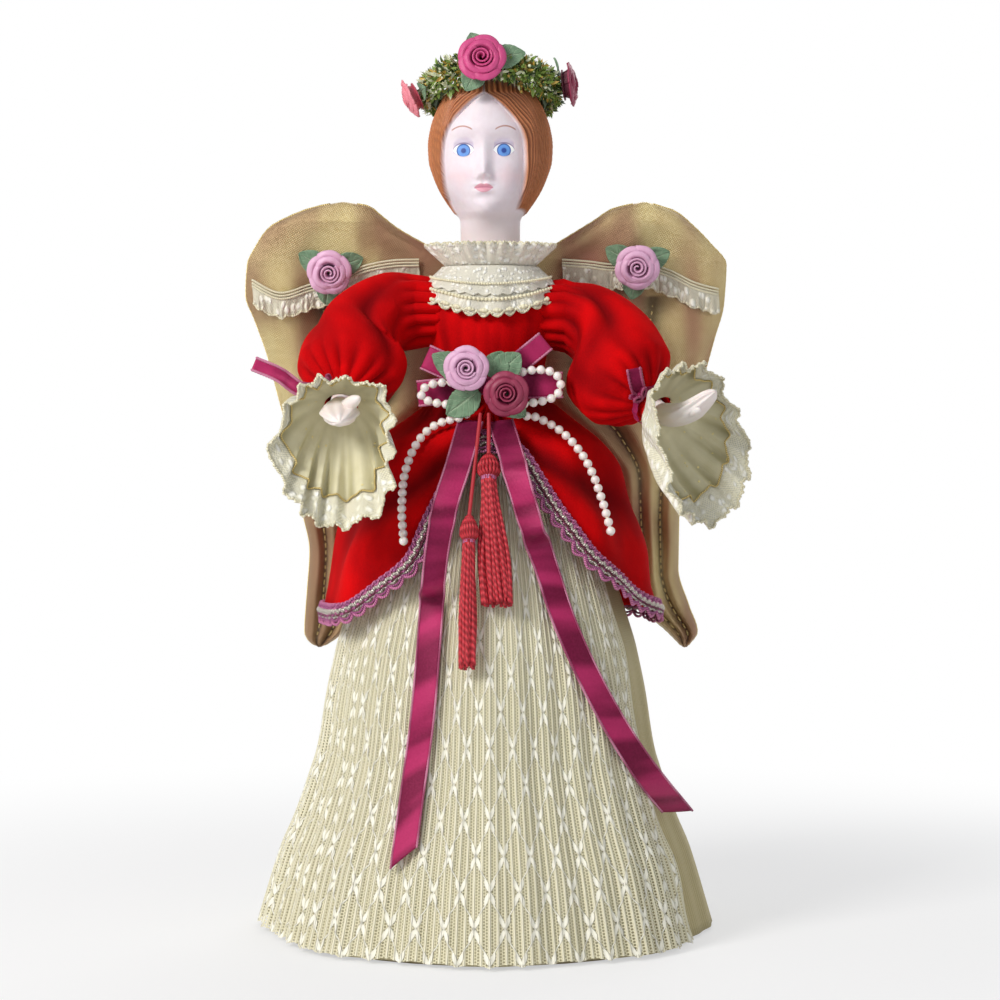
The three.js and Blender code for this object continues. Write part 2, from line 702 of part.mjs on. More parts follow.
function baseCone() {
  const inner = (z) => coneRadiusAt(z) - coneWall;
  const lid = coneHeight - coneWall;
  const profile = [
    [0, lid], [inner(lid), lid], [inner(0), 0], [coneFootRadius, 0], [coneTopRadius, coneHeight],
    [0, coneHeight],
  ];
  const lathe = new THREE.LatheGeometry(profile.map(([r, z]) => new THREE.Vector2(r, z)), coneSides);
  return lathe.rotateX(quarter);
}
piece(figure, "base_cone", baseCone(), board);

// Skirts

function skirtCloth(columns, start, sweep, radiusAt, wall) {
  const rows = skirtRowShares.map((share) => mix(skirtTop, skirtHemLift, 1 - share));
  const outer = (u, z) => polar(radiusAt(start + sweep * u, z, u), start + sweep * u, z);
  const inner = (u, z) => polar(radiusAt(start + sweep * u, z, u) - wall, start + sweep * u, z);
  return clothSolid(columns, rows, outer, inner, sweep === turn);
}

const liningDrop = (z) => pleatAt(z) + laceWall + liningGap;
const lining = skirtCloth(pleatCount, 0, turn, (b, z) => skirtRadius(b, z) - liningDrop(z), clothWall);
piece(figure, "skirt_lining", lining, ivoryCloth);

const laceColumns = (pleatCount - openPleats) * 2;
const laceStart = openingBearing + (openPleats * turn) / pleatCount;
const laceSweep = turn - (openPleats * turn) / pleatCount;
const pleatSide = (u) => (Math.round(u * laceColumns) % 2 === 0 ? 1 : -1);
const laceRadius = (b, z, u) => skirtRadius(b, z) + pleatAt(z) * pleatSide(u);
piece(figure, "lace_skirt", skirtCloth(laceColumns, laceStart, laceSweep, laceRadius, laceWall), creamLace);

// Torso, shoulder wire and bodice

const shoulderWireTool = () =>
  new THREE.CylinderGeometry(wireRadius + seam, wireRadius + seam, shoulderOut * 3, roundSides).rotateZ(quarter)
    .translate(0, 0, shoulderHeight);

function torso() {
  const shares = [0, ...bustRowShares.filter((share) => share <= torsoTopShare)];
  const rings = shares.map((share, i) => {
    const z = coneHeight + bustHeight * share + (i === 0 ? seam : 0);
    return range(figureColumns).map((k) => {
      const bearing = (k / figureColumns) * turn;
      return polar(bustRadius(bearing, z) - seam, bearing, z);
    });
  });
  return cut(ringSolid(rings), shoulderWireTool());
}
piece(figure, "stuffed_torso", torso(), stuffing);

const shoulderWire = new THREE.CylinderGeometry(wireRadius, wireRadius, (shoulderOut - seam) * 2, roundSides);
const shoulderWireMesh = piece(figure, "shoulder_wire", shoulderWire, steelWire);
shoulderWireMesh.position.z = shoulderHeight;
shoulderWireMesh.rotation.z = quarter;

function bodice() {
  const rows = bustRowShares.map((share) => coneHeight + bustHeight * share);
  const outer = (u, z) => polar(bodiceRadius(u * turn, z), u * turn, z);
  const inner = (u, z) => polar(bustRadius(u * turn, z) + seam, u * turn, z);
  return cut(clothSolid(figureColumns, rows, outer, inner, true), shoulderWireTool());
}
piece(figure, "bodice", bodice(), redVelvet);

// Shoulder head: plate, neck, face and moulded hair in one casting

// Gentle swelling about a place
const swell = (value, centre, spread) => Math.exp(-(((value - centre) / spread) ** 2));

function headOutline(bearing, z) {
  const height = z - coneHeight;
  const share = clamp((height - neckHeight) / (headHeight - neckHeight), 0, 1);
  const across = headHalfWidth * read(headWidthShares, share);
  const deep = headHalfDepth * read(Math.cos(bearing) > 0 ? headFrontShares : headBackShares, share);
  const x = across * Math.sin(bearing);
  const front = ease(Math.cos(bearing) * 2);
  const nose = noseRise * swell(x, 0, noseHalfWidth) * swell(height, noseHeight, noseRise * noseSpreadShare);
  const chin = chinRise * swell(x, 0, chinHalfWidth) * swell(height, chinHeight, chinRise * chinSpreadShare);
  const browHeight = noseHeight + noseRise * browAboveShare;
  const brow = browRise * swell(height, browHeight, noseRise * browSpreadShare);
  return vector(x, -deep * Math.cos(bearing) - front * (nose + chin + brow) + headSetBack, z);
}

function shoulderHead() {
  const plate = [torsoTopShare, 1].map((share, i) => {
    const z = coneHeight + bustHeight * share + (i === 0 ? seam : 0);
    return range(figureColumns).map((k) => {
      const bearing = (k / figureColumns) * turn;
      return polar(bustRadius(bearing, z) - i * seam, bearing, z);
    });
  });
  const rings = headRowShares.map((share) => {
    const z = coneHeight + mix(neckHeight, headHeight, share);
    return range(figureColumns).map((k) => {
      const t = (k / figureColumns) * turn;
      return headOutline(t - faceFocusShare * Math.sin(t), z);
    });
  });
  return ringSolid([...plate, ...rings]);
}
piece(figure, "shoulder_head", shoulderHead(), bisque);

// Peplum and its braid

function peplum() {
  const zAt = (u, v) => mix(peplumTop, hemHeight(u * turn), v);
  const outer = (u, v) => polar(peplumRadiusAt(u * turn, zAt(u, v)), u * turn, zAt(u, v));
  const inner = (u, v) => polar(peplumRadiusAt(u * turn, zAt(u, v)) - velvetWall, u * turn, zAt(u, v));
  return clothSolid(peplumColumns, peplumRowShares, outer, inner, true);
}
piece(figure, "peplum", peplum(), redVelvet);

function hemPoint(bearing) {
  const z = hemHeight(bearing);
  return polar(peplumRadiusAt(bearing, z), bearing, z);
}

function braidTrim() {
  const count = peplumColumns * 2;
  const onCloth = (p, out) => {
    const bearing = Math.atan2(p.x, -p.y);
    return polar(peplumRadiusAt(bearing, p.z) + braidClearance + out, bearing, p.z);
  };
  const rings = range(count).map((i) => {
    const bearing = (i / count) * turn;
    const step = turn / count;
    const along = hemPoint(bearing + step).sub(hemPoint(bearing - step)).normalize();
    const up = vector(Math.sin(bearing), -Math.cos(bearing), 0).cross(along).normalize();
    if (up.z < 0) up.negate();
    const high = hemPoint(bearing).addScaledVector(up, braidWidth / 2);
    const low = hemPoint(bearing).addScaledVector(up, -braidWidth / 2 - (i % 2) * braidScallop);
    return [onCloth(high, 0), onCloth(high, braidWall), onCloth(low, braidWall), onCloth(low, 0)];
  });
  return ringSolid(rings, true);
}
piece(figure, "peplum_braid", braidTrim(), braid);

// Collar: a falling ruffle and a standing ruff

const collarTop = coneHeight + bustHeight + seam;

function fallingRuffle() {
  const flatAt = (bearing) => 1 - Math.max(Math.cos(bearing), 0) ** collarFlatPower;
  const zAt = (b, v) => collarTop - v * mix(collarDrop, collarSideDrop, flatAt(b));
  const radiusAt = (b, v, wall) => {
    const wave = 0.5 + 0.5 * Math.sin(collarWaves * b);
    const lift = mix(collarLift, collarSideLift, flatAt(b)) * v * mix(collarWaveShare, 1, wave);
    return bodiceRadius(b, zAt(b, v)) + seam * 2 + lift + wall;
  };
  const outer = (u, v) => polar(radiusAt(u * turn, v, laceWall), u * turn, zAt(u * turn, v));
  const inner = (u, v) => polar(radiusAt(u * turn, v, 0), u * turn, zAt(u * turn, v));
  return clothSolid(collarColumns, collarRowShares, outer, inner, true);
}
piece(figure, "collar_falling_ruffle", fallingRuffle(), creamLace);

function standingRuff() {
  const base = collarTop + seam;
  const radiusAt = (b, v, wall) => {
    const wave = 0.5 + 0.5 * Math.sin(collarWaves * b);
    const flare = ruffFlare * v * mix(ruffWaveShare, 1, wave);
    return bustRadius(b, coneHeight + bustHeight) + ruffClearance + flare + wall;
  };
  const outer = (u, v) => polar(radiusAt(u * turn, v, laceWall), u * turn, base + v * ruffHeight);
  const inner = (u, v) => polar(radiusAt(u * turn, v, 0), u * turn, base + v * ruffHeight);
  return clothSolid(collarColumns, ruffRowShares, outer, inner, true);
}
piece(figure, "collar_standing_ruff", standingRuff(), creamLace);

// Ribbon roses: one strip wound from the bud outwards on a round calyx

function rose(radius) {
  const count = Math.round(roseTurns * roseSteps);
  const calyx = radius * roseCalyxShare;
  const rings = range(count + 1).map((i) => {
    const share = i / count;
    const angle = share * roseTurns * turn;
    const foot = radius * roseBaseShare * mix(roseBudShare, 1, share);
    const rim = mix(foot, radius - petalWall, mix(roseLeanShare, 1, share));
    const tuck = share > roseTuckStartShare ? roseTuckShare : 1;
    const rise = roseHeight * mix(1, roseOuterRiseShare, share) * tuck;
    const at = (r, z) => vector(r * Math.cos(angle), r * Math.sin(angle), z);
    const low = calyxWall / 2;
    return [at(foot, low), at(foot + petalWall, low), at(rim * share + foot * (1 - share) + petalWall, rise),
      at(rim * share + foot * (1 - share), rise)];
  });
  const base = new THREE.CylinderGeometry(calyx, calyx, calyxWall, calyxSides).rotateX(quarter)
    .translate(0, 0, calyxWall / 2);
  return joined(base, ringSolid(rings));
}

// Leaves round a calyx disc: each blade is folded along its rib
function leaves(blades, hub) {
  const disc = new THREE.CylinderGeometry(hub, hub, leafWall, roundSides).rotateX(quarter);
  const shapes = blades.map(([angleShare, length, width]) => {
    const angle = angleShare * turn;
    const along = vector(Math.cos(angle), Math.sin(angle), 0);
    const side = vector(-Math.sin(angle), Math.cos(angle), 0);
    const rings = leafWidthShares.map((share, i) => {
      const at = along.clone().multiplyScalar(mix(hub / 2, length, i / (leafWidthShares.length - 1)));
      const half = (width * share) / 2;
      const lift = leafWall * share;
      return [
        at.clone().addScaledVector(side, -half).add(vector(0, 0, lift / 2)),
        at.clone().add(vector(0, 0, -lift / 2)),
        at.clone().addScaledVector(side, half).add(vector(0, 0, lift / 2)),
        at.clone().add(vector(0, 0, lift / 2)),
      ];
    });
    return ringSolid(rings);
  });
  return joined(disc, ...shapes);
}

// A group that stands at a place and looks along a direction with its +Z
function facing(parent, place, direction) {
  const group = new THREE.Group();
  group.position.copy(place);
  group.quaternion.setFromUnitVectors(vector(0, 0, 1), direction.clone().normalize());
  parent.add(group);
  return group;
}

// Wreath: wire ring, greenery and roses, higher in front than behind

function headReach(bearing, z) {
  const spot = headOutline(bearing, z);
  return Math.hypot(spot.x, spot.y);
}
const wreathLift = (bearing) => wreathTilt * Math.cos(bearing);

function wireCentre(bearing) {
  const z = wreathHeight + wreathLift(bearing);
  return polar(headReach(bearing, z - wreathWire) + seam + wreathWire * wreathWireSetShare, bearing, z);
}

function wreathRing(centreAt, radiusAt, sides) {
  const rings = range(wreathSteps).map((i) => {
    const bearing = (i / wreathSteps) * turn;
    const axis = vector(Math.cos(bearing), Math.sin(bearing), 0);
    return roundRing(centreAt(bearing), axis, radiusAt(i), radiusAt(i), sides);
  });
  return ringSolid(rings, true);
}
const wreath = new THREE.Group();
figure.add(wreath);
piece(wreath, "wreath_wire", wreathRing(wireCentre, () => wreathWire, wireSides), steelWire);

// The greenery is wound on the wire, above it and a little outside
function bushCentre(bearing) {
  const step = wreathWire + seam + wreathBushRadius * wreathBushNearShare;
  const out = step * wreathBushLeanShare;
  return wireCentre(bearing).add(polar(out, bearing, Math.sqrt(step * step - out * out)));
}
const bushRadiusAt = (i) => wreathBushRadius * (i % 2 === 0 ? 1 : wreathBushThinShare);
piece(wreath, "wreath_greenery", wreathRing(bushCentre, bushRadiusAt, bushSides), greenery);

// Each rose's bearing, the way it looks, and its leaves as turns, lengths and widths over its radius
const wreathRoses = [
  {
    name: "wreath_front", bearing: -0.17, aim: [-0.05, -0.97, 0.25], radius: wreathRoseRadius,
    satin: wineSatin, blades: [[0.03, 1.72, 1], [0.3, 1.36, 0.8], [0.66, 1.3, 1]],
  },
  {
    name: "wreath_right", bearing: -quarter * 1.02, aim: [-0.9, -0.1, -0.42], radius: sideRoseRadius,
    satin: pinkSatin, blades: [[0.78, 1.35, 0.9]],
  },
  {
    name: "wreath_left", bearing: quarter * 0.96, aim: [0.95, -0.1, 0.1], radius: sideRoseRadius * leftSideRoseShare,
    satin: wineSatin, blades: [[0.42, 1.36, 0.82]],
  },
  {
    name: "wreath_back", bearing: Math.PI, aim: [0, 0.97, 0.25], radius: sideRoseRadius,
    satin: pinkSatin, blades: null,
  },
];

// A rose on its leaves, seated on the greenery at a bearing and looking out along a direction
function wreathRose(name, bearing, direction, radius, satin, blades) {
  const aim = direction.clone().normalize();
  const back = blades ? leafWall / 2 : 0;
  const seat = bushCentre(bearing).addScaledVector(aim, wreathBushRadius + seam + back);
  const group = facing(wreath, seat, aim);
  const sized = (blades || []).map(([angle, length, width]) => [angle, length * radius, width * radius]);
  if (blades) piece(group, `${name}_leaves`, leaves(sized, radius / 2), leafCloth);
  const flower = piece(group, `${name}_rose`, rose(radius), satin);
  flower.position.z = blades ? back + seam : 0;
}
for (const { name, bearing, aim, radius, satin, blades } of wreathRoses) {
  wreathRose(name, bearing, vector(...aim), radius, satin, blades);
}

// Wings

const wings = new THREE.Group();
wings.position.set(0, wingRootBack, wingRootHeight);
wings.rotation.x = wingLean;
figure.add(wings);

const wingBase = -wingTipDrop / Math.cos(wingLean);
const rightWing = { name: "right", side: -1, outer: rightWingOuterShares, inner: rightWingInnerShares };
const leftWing = { name: "left", side: 1, outer: leftWingOuterShares, inner: leftWingInnerShares };

// Half thickness of the padding at shares of the width and of the length
function wingPadding(wing, across, up) {
  const channels = read(channelShares, across);
  const crown = read(crownShares, across);
  const plain = ease((up - channelTopShare) / (crownStartShare - channelTopShare));
  const span = wingSpan * (read(wing.outer, up) - read(wing.inner, up));
  const loft = wingLoft * Math.sqrt(clamp(span / (wingSpan * wingFullSpanShare), 0, 1));
  return wingEdge + loft * mix(channels, crown, plain);
}

function wingPoint(wing, across, up, face) {
  const x = wingSpan * mix(read(wing.inner, up), read(wing.outer, up), across);
  return vector(wing.side * x, face * wingPadding(wing, across, up), wingBase + wingLength * up);
}

function wingPad(wing) {
  const places = channelShares.map(([share]) => share);
  const rings = wingRowShares.map((up) => [
    ...places.map((across) => wingPoint(wing, across, up, -1)),
    ...[...places].reverse().map((across) => wingPoint(wing, across, up, 1)),
  ]);
  return ringSolid(rings);
}

// Front of a wing's padding at shares of the whole span and of the length
function wingFront(wing, spanShare, up) {
  const inner = read(wing.inner, up);
  const across = clamp((spanShare - inner) / (read(wing.outer, up) - inner), 0, 1);
  return vector(wing.side * wingSpan * spanShare, -wingPadding(wing, across, up), wingBase + wingLength * up);
}

function wingLace(wing, places) {
  const count = wingLaceWaves * 3;
  const line = new THREE.SplineCurve(places.map(([a, b]) => new THREE.Vector2(a, b)));
  const rings = range(count + 1).map((i) => {
    const spot = line.getPoint(i / count);
    const drop = wingLaceDepth / wingLength;
    const wave = 0.5 + 0.5 * Math.sin((i / count) * wingLaceWaves * turn);
    const high = wingFront(wing, spot.x, spot.y);
    const low = wingFront(wing, spot.x, spot.y - drop);
    const flat = wingFront(wing, spot.x, spot.y - drop / 2);
    const reach = Math.min(high.y, low.y, flat.y) - seam * 2;
    const at = (p, y) => vector(p.x, y, p.z);
    const hem = reach - wingLaceRuffle * wave;
    return [at(high, reach), at(high, reach - wingLaceWall), at(low, hem - wingLaceWall), at(low, hem)];
  });
  return { geometry: ringSolid(rings), points: rings.flat() };
}

function dressWing(wing, lacePlaces, rosePlace) {
  piece(wings, `${wing.name}_wing`, wingPad(wing), lame);
  const lace = wingLace(wing, lacePlaces);
  piece(wings, `${wing.name}_wing_lace`, lace.geometry, creamLace);
  const seat = wingFront(wing, ...rosePlace);
  const reach = wingRoseRadius * wingLeafReachShare;
  const under = wingRoseRadius * wingSeatShare;
  const behind = lace.points.filter((p) => Math.hypot(p.x - seat.x, p.z - seat.z) < under);
  seat.y = Math.min(seat.y, ...behind.map((p) => p.y)) - seam - leafWall / 2;
  const group = facing(wings, seat, vector(0, -1, 0));
  const blades = wingLeafShares.map((share) => [share, reach, wingRoseRadius]);
  piece(group, `${wing.name}_wing_leaves`, leaves(blades, wingRoseRadius / 2), leafCloth);
  const flower = piece(group, `${wing.name}_wing_rose`, rose(wingRoseRadius), pinkSatin);
  flower.position.z = leafWall / 2 + seam;
}
dressWing(rightWing, rightWingLaceShares, rightWingRoseShares);
dressWing(leftWing, leftWingLaceShares, leftWingRoseShares);

// Wing mount: a padded patch on the bodice's back and two wires between the wing roots

const patchBack = wingRootBack + (wingRootHeight - patchTop) * Math.tan(wingLean) - wireRadius - seam;

function wingPatch() {
  const rings = range(patchRows + 1).map((i) => {
    const z = mix(patchBottom, patchTop, i / patchRows);
    const half = patchWidth / 2;
    const places = [-half, -half / 2, 0, half / 2, half];
    const lean = (patchTop - z) * Math.tan(wingLean);
    const front = Math.max(...places.map((x) => depthOf((b, h) => bodiceRadius(b, h), x, z).depth));
    const face = places.map((x) => vector(x, front + seam, z));
    const back = patchBack + lean;
    return [...face, vector(half, back, z), vector(-half, back, z), vector(-half, mix(front, back, 0.5), z)];
  });
  return ringSolid(rings);
}
piece(figure, "wing_patch", wingPatch(), redVelvet);

// Distance from the middle to the nearer wing root, over a wire's thickness at a height
function wingRootReach(height) {
  const up = ((height - wingRootHeight) / Math.cos(wingLean) - wingBase) / wingLength;
  const near = [-1, 0, 1].map((step) => up + (step * wireRadius) / wingLength);
  const shares = [rightWing, leftWing].flatMap(({ inner }) => near.map((share) => read(inner, share)));
  return wingSpan * Math.min(...shares);
}

function wingWire(name, height) {
  const length = (wingRootReach(height) - seam) * 2;
  const back = wingRootBack + (wingRootHeight - height) * Math.tan(wingLean);
  const wire = new THREE.CylinderGeometry(wireRadius, wireRadius, length, roundSides);
  const mesh = piece(figure, name, wire, steelWire);
  mesh.position.set(0, back, height);
  mesh.rotation.z = quarter;
}
wingWire("upper_wing_wire", coneHeight + upperWireRise);
wingWire("lower_wing_wire", coneHeight + lowerWireRise);

// Arms: sleeve, wire, wrist tie, cuff and hand, each about its own shoulder

function sleeveSolid(side, route) {
  const curve = new THREE.CatmullRomCurve3(route, false, "centripetal");
  const straight = vector(side, 0, 0);
  const ring = (t, thinner) => {
    const axis = straight.clone().lerp(curve.getTangent(t), ease(t / shoulderSquareShare)).normalize();
    const radius = sleeveRadius * read(sleeveFullShares, t) - thinner;
    return roundRing(curve.getPoint(t), axis, radius, radius, sleeveColumns);
  };
  const outside = sleeveRingShares.map((t) => ring(t, 0));
  const inside = [...sleeveRingShares].reverse().map((t) => ring(t, velvetWall));
  return ringSolid([...outside, ...inside], true);
}

// Pleated bell from the wrist, short on top and long below
function cuffSolid(wrist, aim, mouthRadius) {
  const axis = vector(...aim).normalize();
  const sideways = vector(0, 0, 1).cross(axis).normalize();
  const upward = axis.clone().cross(sideways).normalize();
  const columns = cuffPleats * 2;
  const at = (u, v, wall) => {
    const angle = u * turn;
    const length = mix(cuffBottom, cuffTop, ease(0.5 + 0.5 * Math.sin(angle)));
    const pleat = cuffPleat * v * (Math.round(u * columns) % 2 === 0 ? 1 : -1);
    const radius = mix(sleeveWrist + laceWall, mouthRadius, read(cuffFlareShares, v)) + pleat - wall;
    return wrist.clone().addScaledVector(axis, cuffSetForward + length * v)
      .addScaledVector(sideways, radius * Math.cos(angle))
      .addScaledVector(upward, radius * Math.sin(angle));
  };
  const rows = range(cuffRows + 1).map((i) => i / cuffRows);
  return clothSolid(columns, rows, (u, v) => at(u, v, 0), (u, v) => at(u, v, laceWall), true);
}

// Place given as shares of a reach
const reached = (reach, [x, y, z]) => vector(x, y, z).multiplyScalar(reach);

// Hand with a wrist stub inside the sleeve's end, a palm, closed fingers and a thumb
function handSolid(wrist, forearm, palm, fingers, thumb) {
  const stub = wrist.clone().addScaledVector(forearm, -handWrist);
  const mouth = wrist.clone().addScaledVector(forearm, handWrist);
  const curve = new THREE.CatmullRomCurve3([stub, mouth, palm, fingers], false, "centripetal");
  const rings = handRowShares.map((t) => roundRing(curve.getPoint(t), curve.getTangent(t),
    handWrist * read(handWidthShares, t), handWrist * read(handDepthShares, t), handSides));
  const thumbCurve = new THREE.CatmullRomCurve3([curve.getPoint(0.5), thumb]);
  const thumbRings = thumbWidthShares.map(([t, share]) => roundRing(thumbCurve.getPoint(t),
    thumbCurve.getTangent(t), handWrist * share, handWrist * share, thumbSides));
  return joined(ringSolid(rings), ringSolid(thumbRings));
}

// Ribbon round the sleeve's end with a tail
function wristTie(wrist, forearm, reach, tailShares) {
  const inside = sleeveWrist + seam * 2;
  const middle = wrist.clone().addScaledVector(forearm, -tieSetBack - tieWidth / 2);
  const hoop = roundRing(vector(0, 0, 0), forearm, 1, 1, tieSides).map((spoke) => {
    const at = (radius, along) =>
      middle.clone().addScaledVector(spoke, radius).addScaledVector(forearm, along);
    return [at(inside, -tieWidth / 2), at(inside + tieWall, -tieWidth / 2),
      at(inside + tieWall, tieWidth / 2), at(inside, tieWidth / 2)];
  });
  const places = tailShares.map((place) => reached(reach, place));
  places[0].addScaledVector(forearm, -places[0].dot(forearm)).setLength(inside + tieWall);
  const route = new THREE.CatmullRomCurve3(places.map((place) => place.add(middle)));
  const stations = range(tieTailSteps + 1).map((i) => {
    const along = route.getTangent(i / tieTailSteps);
    const side = along.clone().cross(vector(0, 1, 0)).normalize();
    const out = side.clone().cross(along).normalize();
    return { at: route.getPoint(i / tieTailSteps), side, out, share: mix(tieNeckShare, 1, ease(i / 2)) };
  });
  return joined(ringSolid(hoop, true), bandSolid(stations, tieTailWidth, tieWall));
}

function dressArm(arm) {
  const group = new THREE.Group();
  group.position.set(arm.side * shoulderOut, 0, shoulderHeight);
  figure.add(group);
  const mirror = ([x, y, z]) => [arm.side * x, y, z];
  const route = arm.route.map(([out, forward, down]) =>
    vector(arm.side * armOut * out, -armForward * forward, -armDrop * down));
  const wrist = route[route.length - 1];
  const forearm = wrist.clone().sub(route[route.length - 2]).normalize();
  const hand = [arm.palm, arm.fingers, arm.thumb].map((place) =>
    wrist.clone().add(reached(handLength, mirror(place))));
  const start = vector(arm.side * seam, 0, 0);
  const end = wrist.clone().addScaledVector(forearm, -handWrist - seam);
  const wireRoute = new THREE.CatmullRomCurve3([start, ...route.slice(1, -2), end], false, "centripetal");
  const tie = wristTie(wrist, forearm, arm.tieReach, arm.tie);
  piece(group, `${arm.name}_sleeve`, sleeveSolid(arm.side, route), redVelvet).position.x = arm.side * seam;
  piece(group, `${arm.name}_arm_wire`, tube(wireRoute, wireRadius, armWireSteps, armWireSides), steelWire);
  piece(group, `${arm.name}_wrist_ribbon`, tie, wineSatin);
  piece(group, `${arm.name}_lace_cuff`, cuffSolid(wrist, mirror(arm.cuffAim), arm.mouth), creamLace);
  piece(group, `${arm.name}_hand`, handSolid(wrist, forearm, ...hand), bisque);
}
const rightArm = {
  name: "right", side: -1, route: rightArmShares, cuffAim: rightCuffAimShares, mouth: cuffMouth,
  palm: rightPalmShares, fingers: rightFingerShares, thumb: rightThumbShares,
  tieReach: rightTieReach, tie: rightTieShares,
};
const leftArm = {
  name: "left", side: 1, route: leftArmShares, cuffAim: leftCuffAimShares,
  mouth: cuffMouth * leftCuffMouthShare, palm: leftPalmShares, fingers: leftFingerShares,
  thumb: leftThumbShares, tieReach: leftTieReach, tie: leftTieShares,
};
[rightArm, leftArm].forEach(dressArm);

// Waist bow: four loops and a knot

const waistFront = frontDepth(0, bowHeight - knotHalf);
const bowFront = waistFront + seam + bowDepth * 2;
const corsageBack = bowFront + seam * 2 + pearlRadius * 2;

// Section of one flat ribbon loop at an angle round its oval
function loopRing(centre, along, reach, width, angle) {
  const side = vector(-along.z, 0, along.x);
  const far = reach * mix(bowNearShare, 1, 0.5 - 0.5 * Math.cos(angle));
  const deep = (bowDepth - ribbonWall) * Math.sin(angle) * mix(bowPinchShare, 1, far / reach);
  const half = (width / 2) * mix(bowGatherShare, 1, ease((2 * far) / reach));
  const normal = vector(0, Math.sin(angle), 0).addScaledVector(along, -bowPinchShare * Math.cos(angle));
  normal.normalize();
  const middle = centre.clone().addScaledVector(along, far).add(vector(0, deep, 0));
  const at = (across, out) => middle.clone().addScaledVector(side, across).addScaledVector(normal, out);
  return [at(-half, 0), at(half, 0), at(half, ribbonWall), at(-half, ribbonWall)];
}

function bow() {
  const centre = vector(0, seam + bowDepth - bowFront, bowHeight);
  const loops = bowLoopShares.map(([across, up, width]) => {
    const reach = bowReach * Math.hypot(across, up);
    const along = vector(across, 0, up).normalize();
    const ring = (i) => loopRing(centre, along, reach, bowWidth * width, (i / bowSteps) * turn);
    return ringSolid(range(bowSteps).map(ring), true);
  });
  const knotLength = corsageBack - seam - waistFront - seam;
  const knot = new THREE.CylinderGeometry(knotHalf, knotHalf, knotLength, tieSides)
    .translate(0, -waistFront - seam - knotLength / 2, bowHeight);
  return joined(knot, ...loops);
}
piece(figure, "waist_bow", bow(), wineSatin);

// Ribbon tails laid down the front, with slanted ends

function ribbonTail(shares) {
  const places = shares.map(([across, down]) => [across * tailDrop, tailTop - down * tailDrop]);
  return bandSolid(laidStations(places, tailRings, tailLift, tailWidth), tailWidth, ribbonWall);
}
piece(figure, "right_ribbon_tail", ribbonTail(rightTailShares), wineSatin);
piece(figure, "left_ribbon_tail", ribbonTail(leftTailShares), wineSatin);

// Waist corsage: leaves and two roses in front of the bow's knot

const corsageFront = corsageBack + leafWall;

function waistRose(name, across, height, satin) {
  const place = vector(across, -(corsageFront + leafWall / 2 + seam), height);
  piece(facing(figure, place, vector(0, -1, 0)), name, rose(waistRoseRadius), satin);
}
const corsagePlace = vector(corsageAcross, -(corsageBack + leafWall / 2), corsageHeight);
const waistBlades = waistLeafShares.map(([angle, length, width]) =>
  [angle, length * waistLeafLength, width * waistLeafWidth]);
const corsage = facing(figure, corsagePlace, vector(0, -1, 0));
piece(corsage, "waist_leaves", leaves(waistBlades, corsageHub), leafCloth);
waistRose("pink_waist_rose", pinkRoseAcross, bowHeight + pinkRoseAboveBow, pinkSatin);
waistRose("burgundy_waist_rose", burgundyRoseAcross, bowHeight - burgundyRoseBelowBow, wineSatin);

// Pearls: beads on a thread, one strand on each side, a loop and then a tail

function pearlStrand(route) {
  const curve = new THREE.CatmullRomCurve3(route.map((place) => vector(...place)), false, "centripetal");
  const beads = Math.round(curve.getLength() / pearlPitch);
  const rings = range(beads * 2 + 1).map((i) => {
    const t = i / (beads * 2);
    const radius = i % 2 === 0 ? pearlThread : pearlRadius;
    return roundRing(curve.getPointAt(t), curve.getTangentAt(t), radius, radius, pearlSides, vector(0, 1, 0));
  });
  return ringSolid(rings);
}
piece(figure, "right_pearl_strand", pearlStrand(rightPearlRoute), pearl);
piece(figure, "left_pearl_strand", pearlStrand(leftPearlRoute), pearl);

// Tassels: each is lifted forwards about the place where its cord is tied

function tasselSolid({ head, tip, tuck, radius, half }) {
  const route = new THREE.LineCurve3(vector(head[0], 0, -head[1]), vector(tip[0], tuck, -tip[1]));
  const length = route.getLength();
  const headShare = tasselHeadLength / length;
  const rings = tasselRowShares.map(([row, full], i) => {
    const centre = route.getPoint(row);
    const spread = clamp((row - headShare) / (1 - headShare), 0, 1);
    const across = mix(radius, half, spread) * full;
    const thick = mix(radius, tasselThick / 2, spread) * full;
    return range(tasselFlutes * 2).map((k) => {
      const angle = (k / (tasselFlutes * 2)) * turn;
      const flute = row > headShare && k % 2 === 1 ? tasselFlute : 0;
      const out = vector((across - flute) * Math.cos(angle), (thick - flute) * Math.sin(angle), 0);
      return out.add(centre);
    });
  });
  return ringSolid(rings);
}

function tassel(parts) {
  const group = new THREE.Group();
  group.position.set(parts.hang, -tasselHangForward, tasselHangHeight);
  group.rotation.x = -tasselLean;
  figure.add(group);
  const head = [parts.head[0] - parts.hang, parts.head[1]];
  const tip = [parts.tip[0] - parts.hang, parts.tip[1]];
  const cordEnd = vector(head[0], 0, -head[1] + seam);
  const cord = tube(new THREE.LineCurve3(vector(0, 0, 0), cordEnd), tasselCord, 1, tasselCordSides);
  piece(group, `${parts.name}_tassel_cord`, cord, crimsonCord);
  piece(group, `${parts.name}_tassel`, tasselSolid({ ...parts, head, tip }), crimsonCord);
}
[upperTassel, lowerTassel].forEach(tassel);

export default figure;
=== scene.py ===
# Angel tree topper: the looks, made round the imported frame.
#
# Places are written in millimetres in the frame's own axes and become metres when a mesh is made.
# The figure faces -Y. A bearing is an angle round it, 0 at the front and growing towards +X.

import math
import random

import bmesh
import bpy
import numpy as np
from mathutils import Matrix, Vector

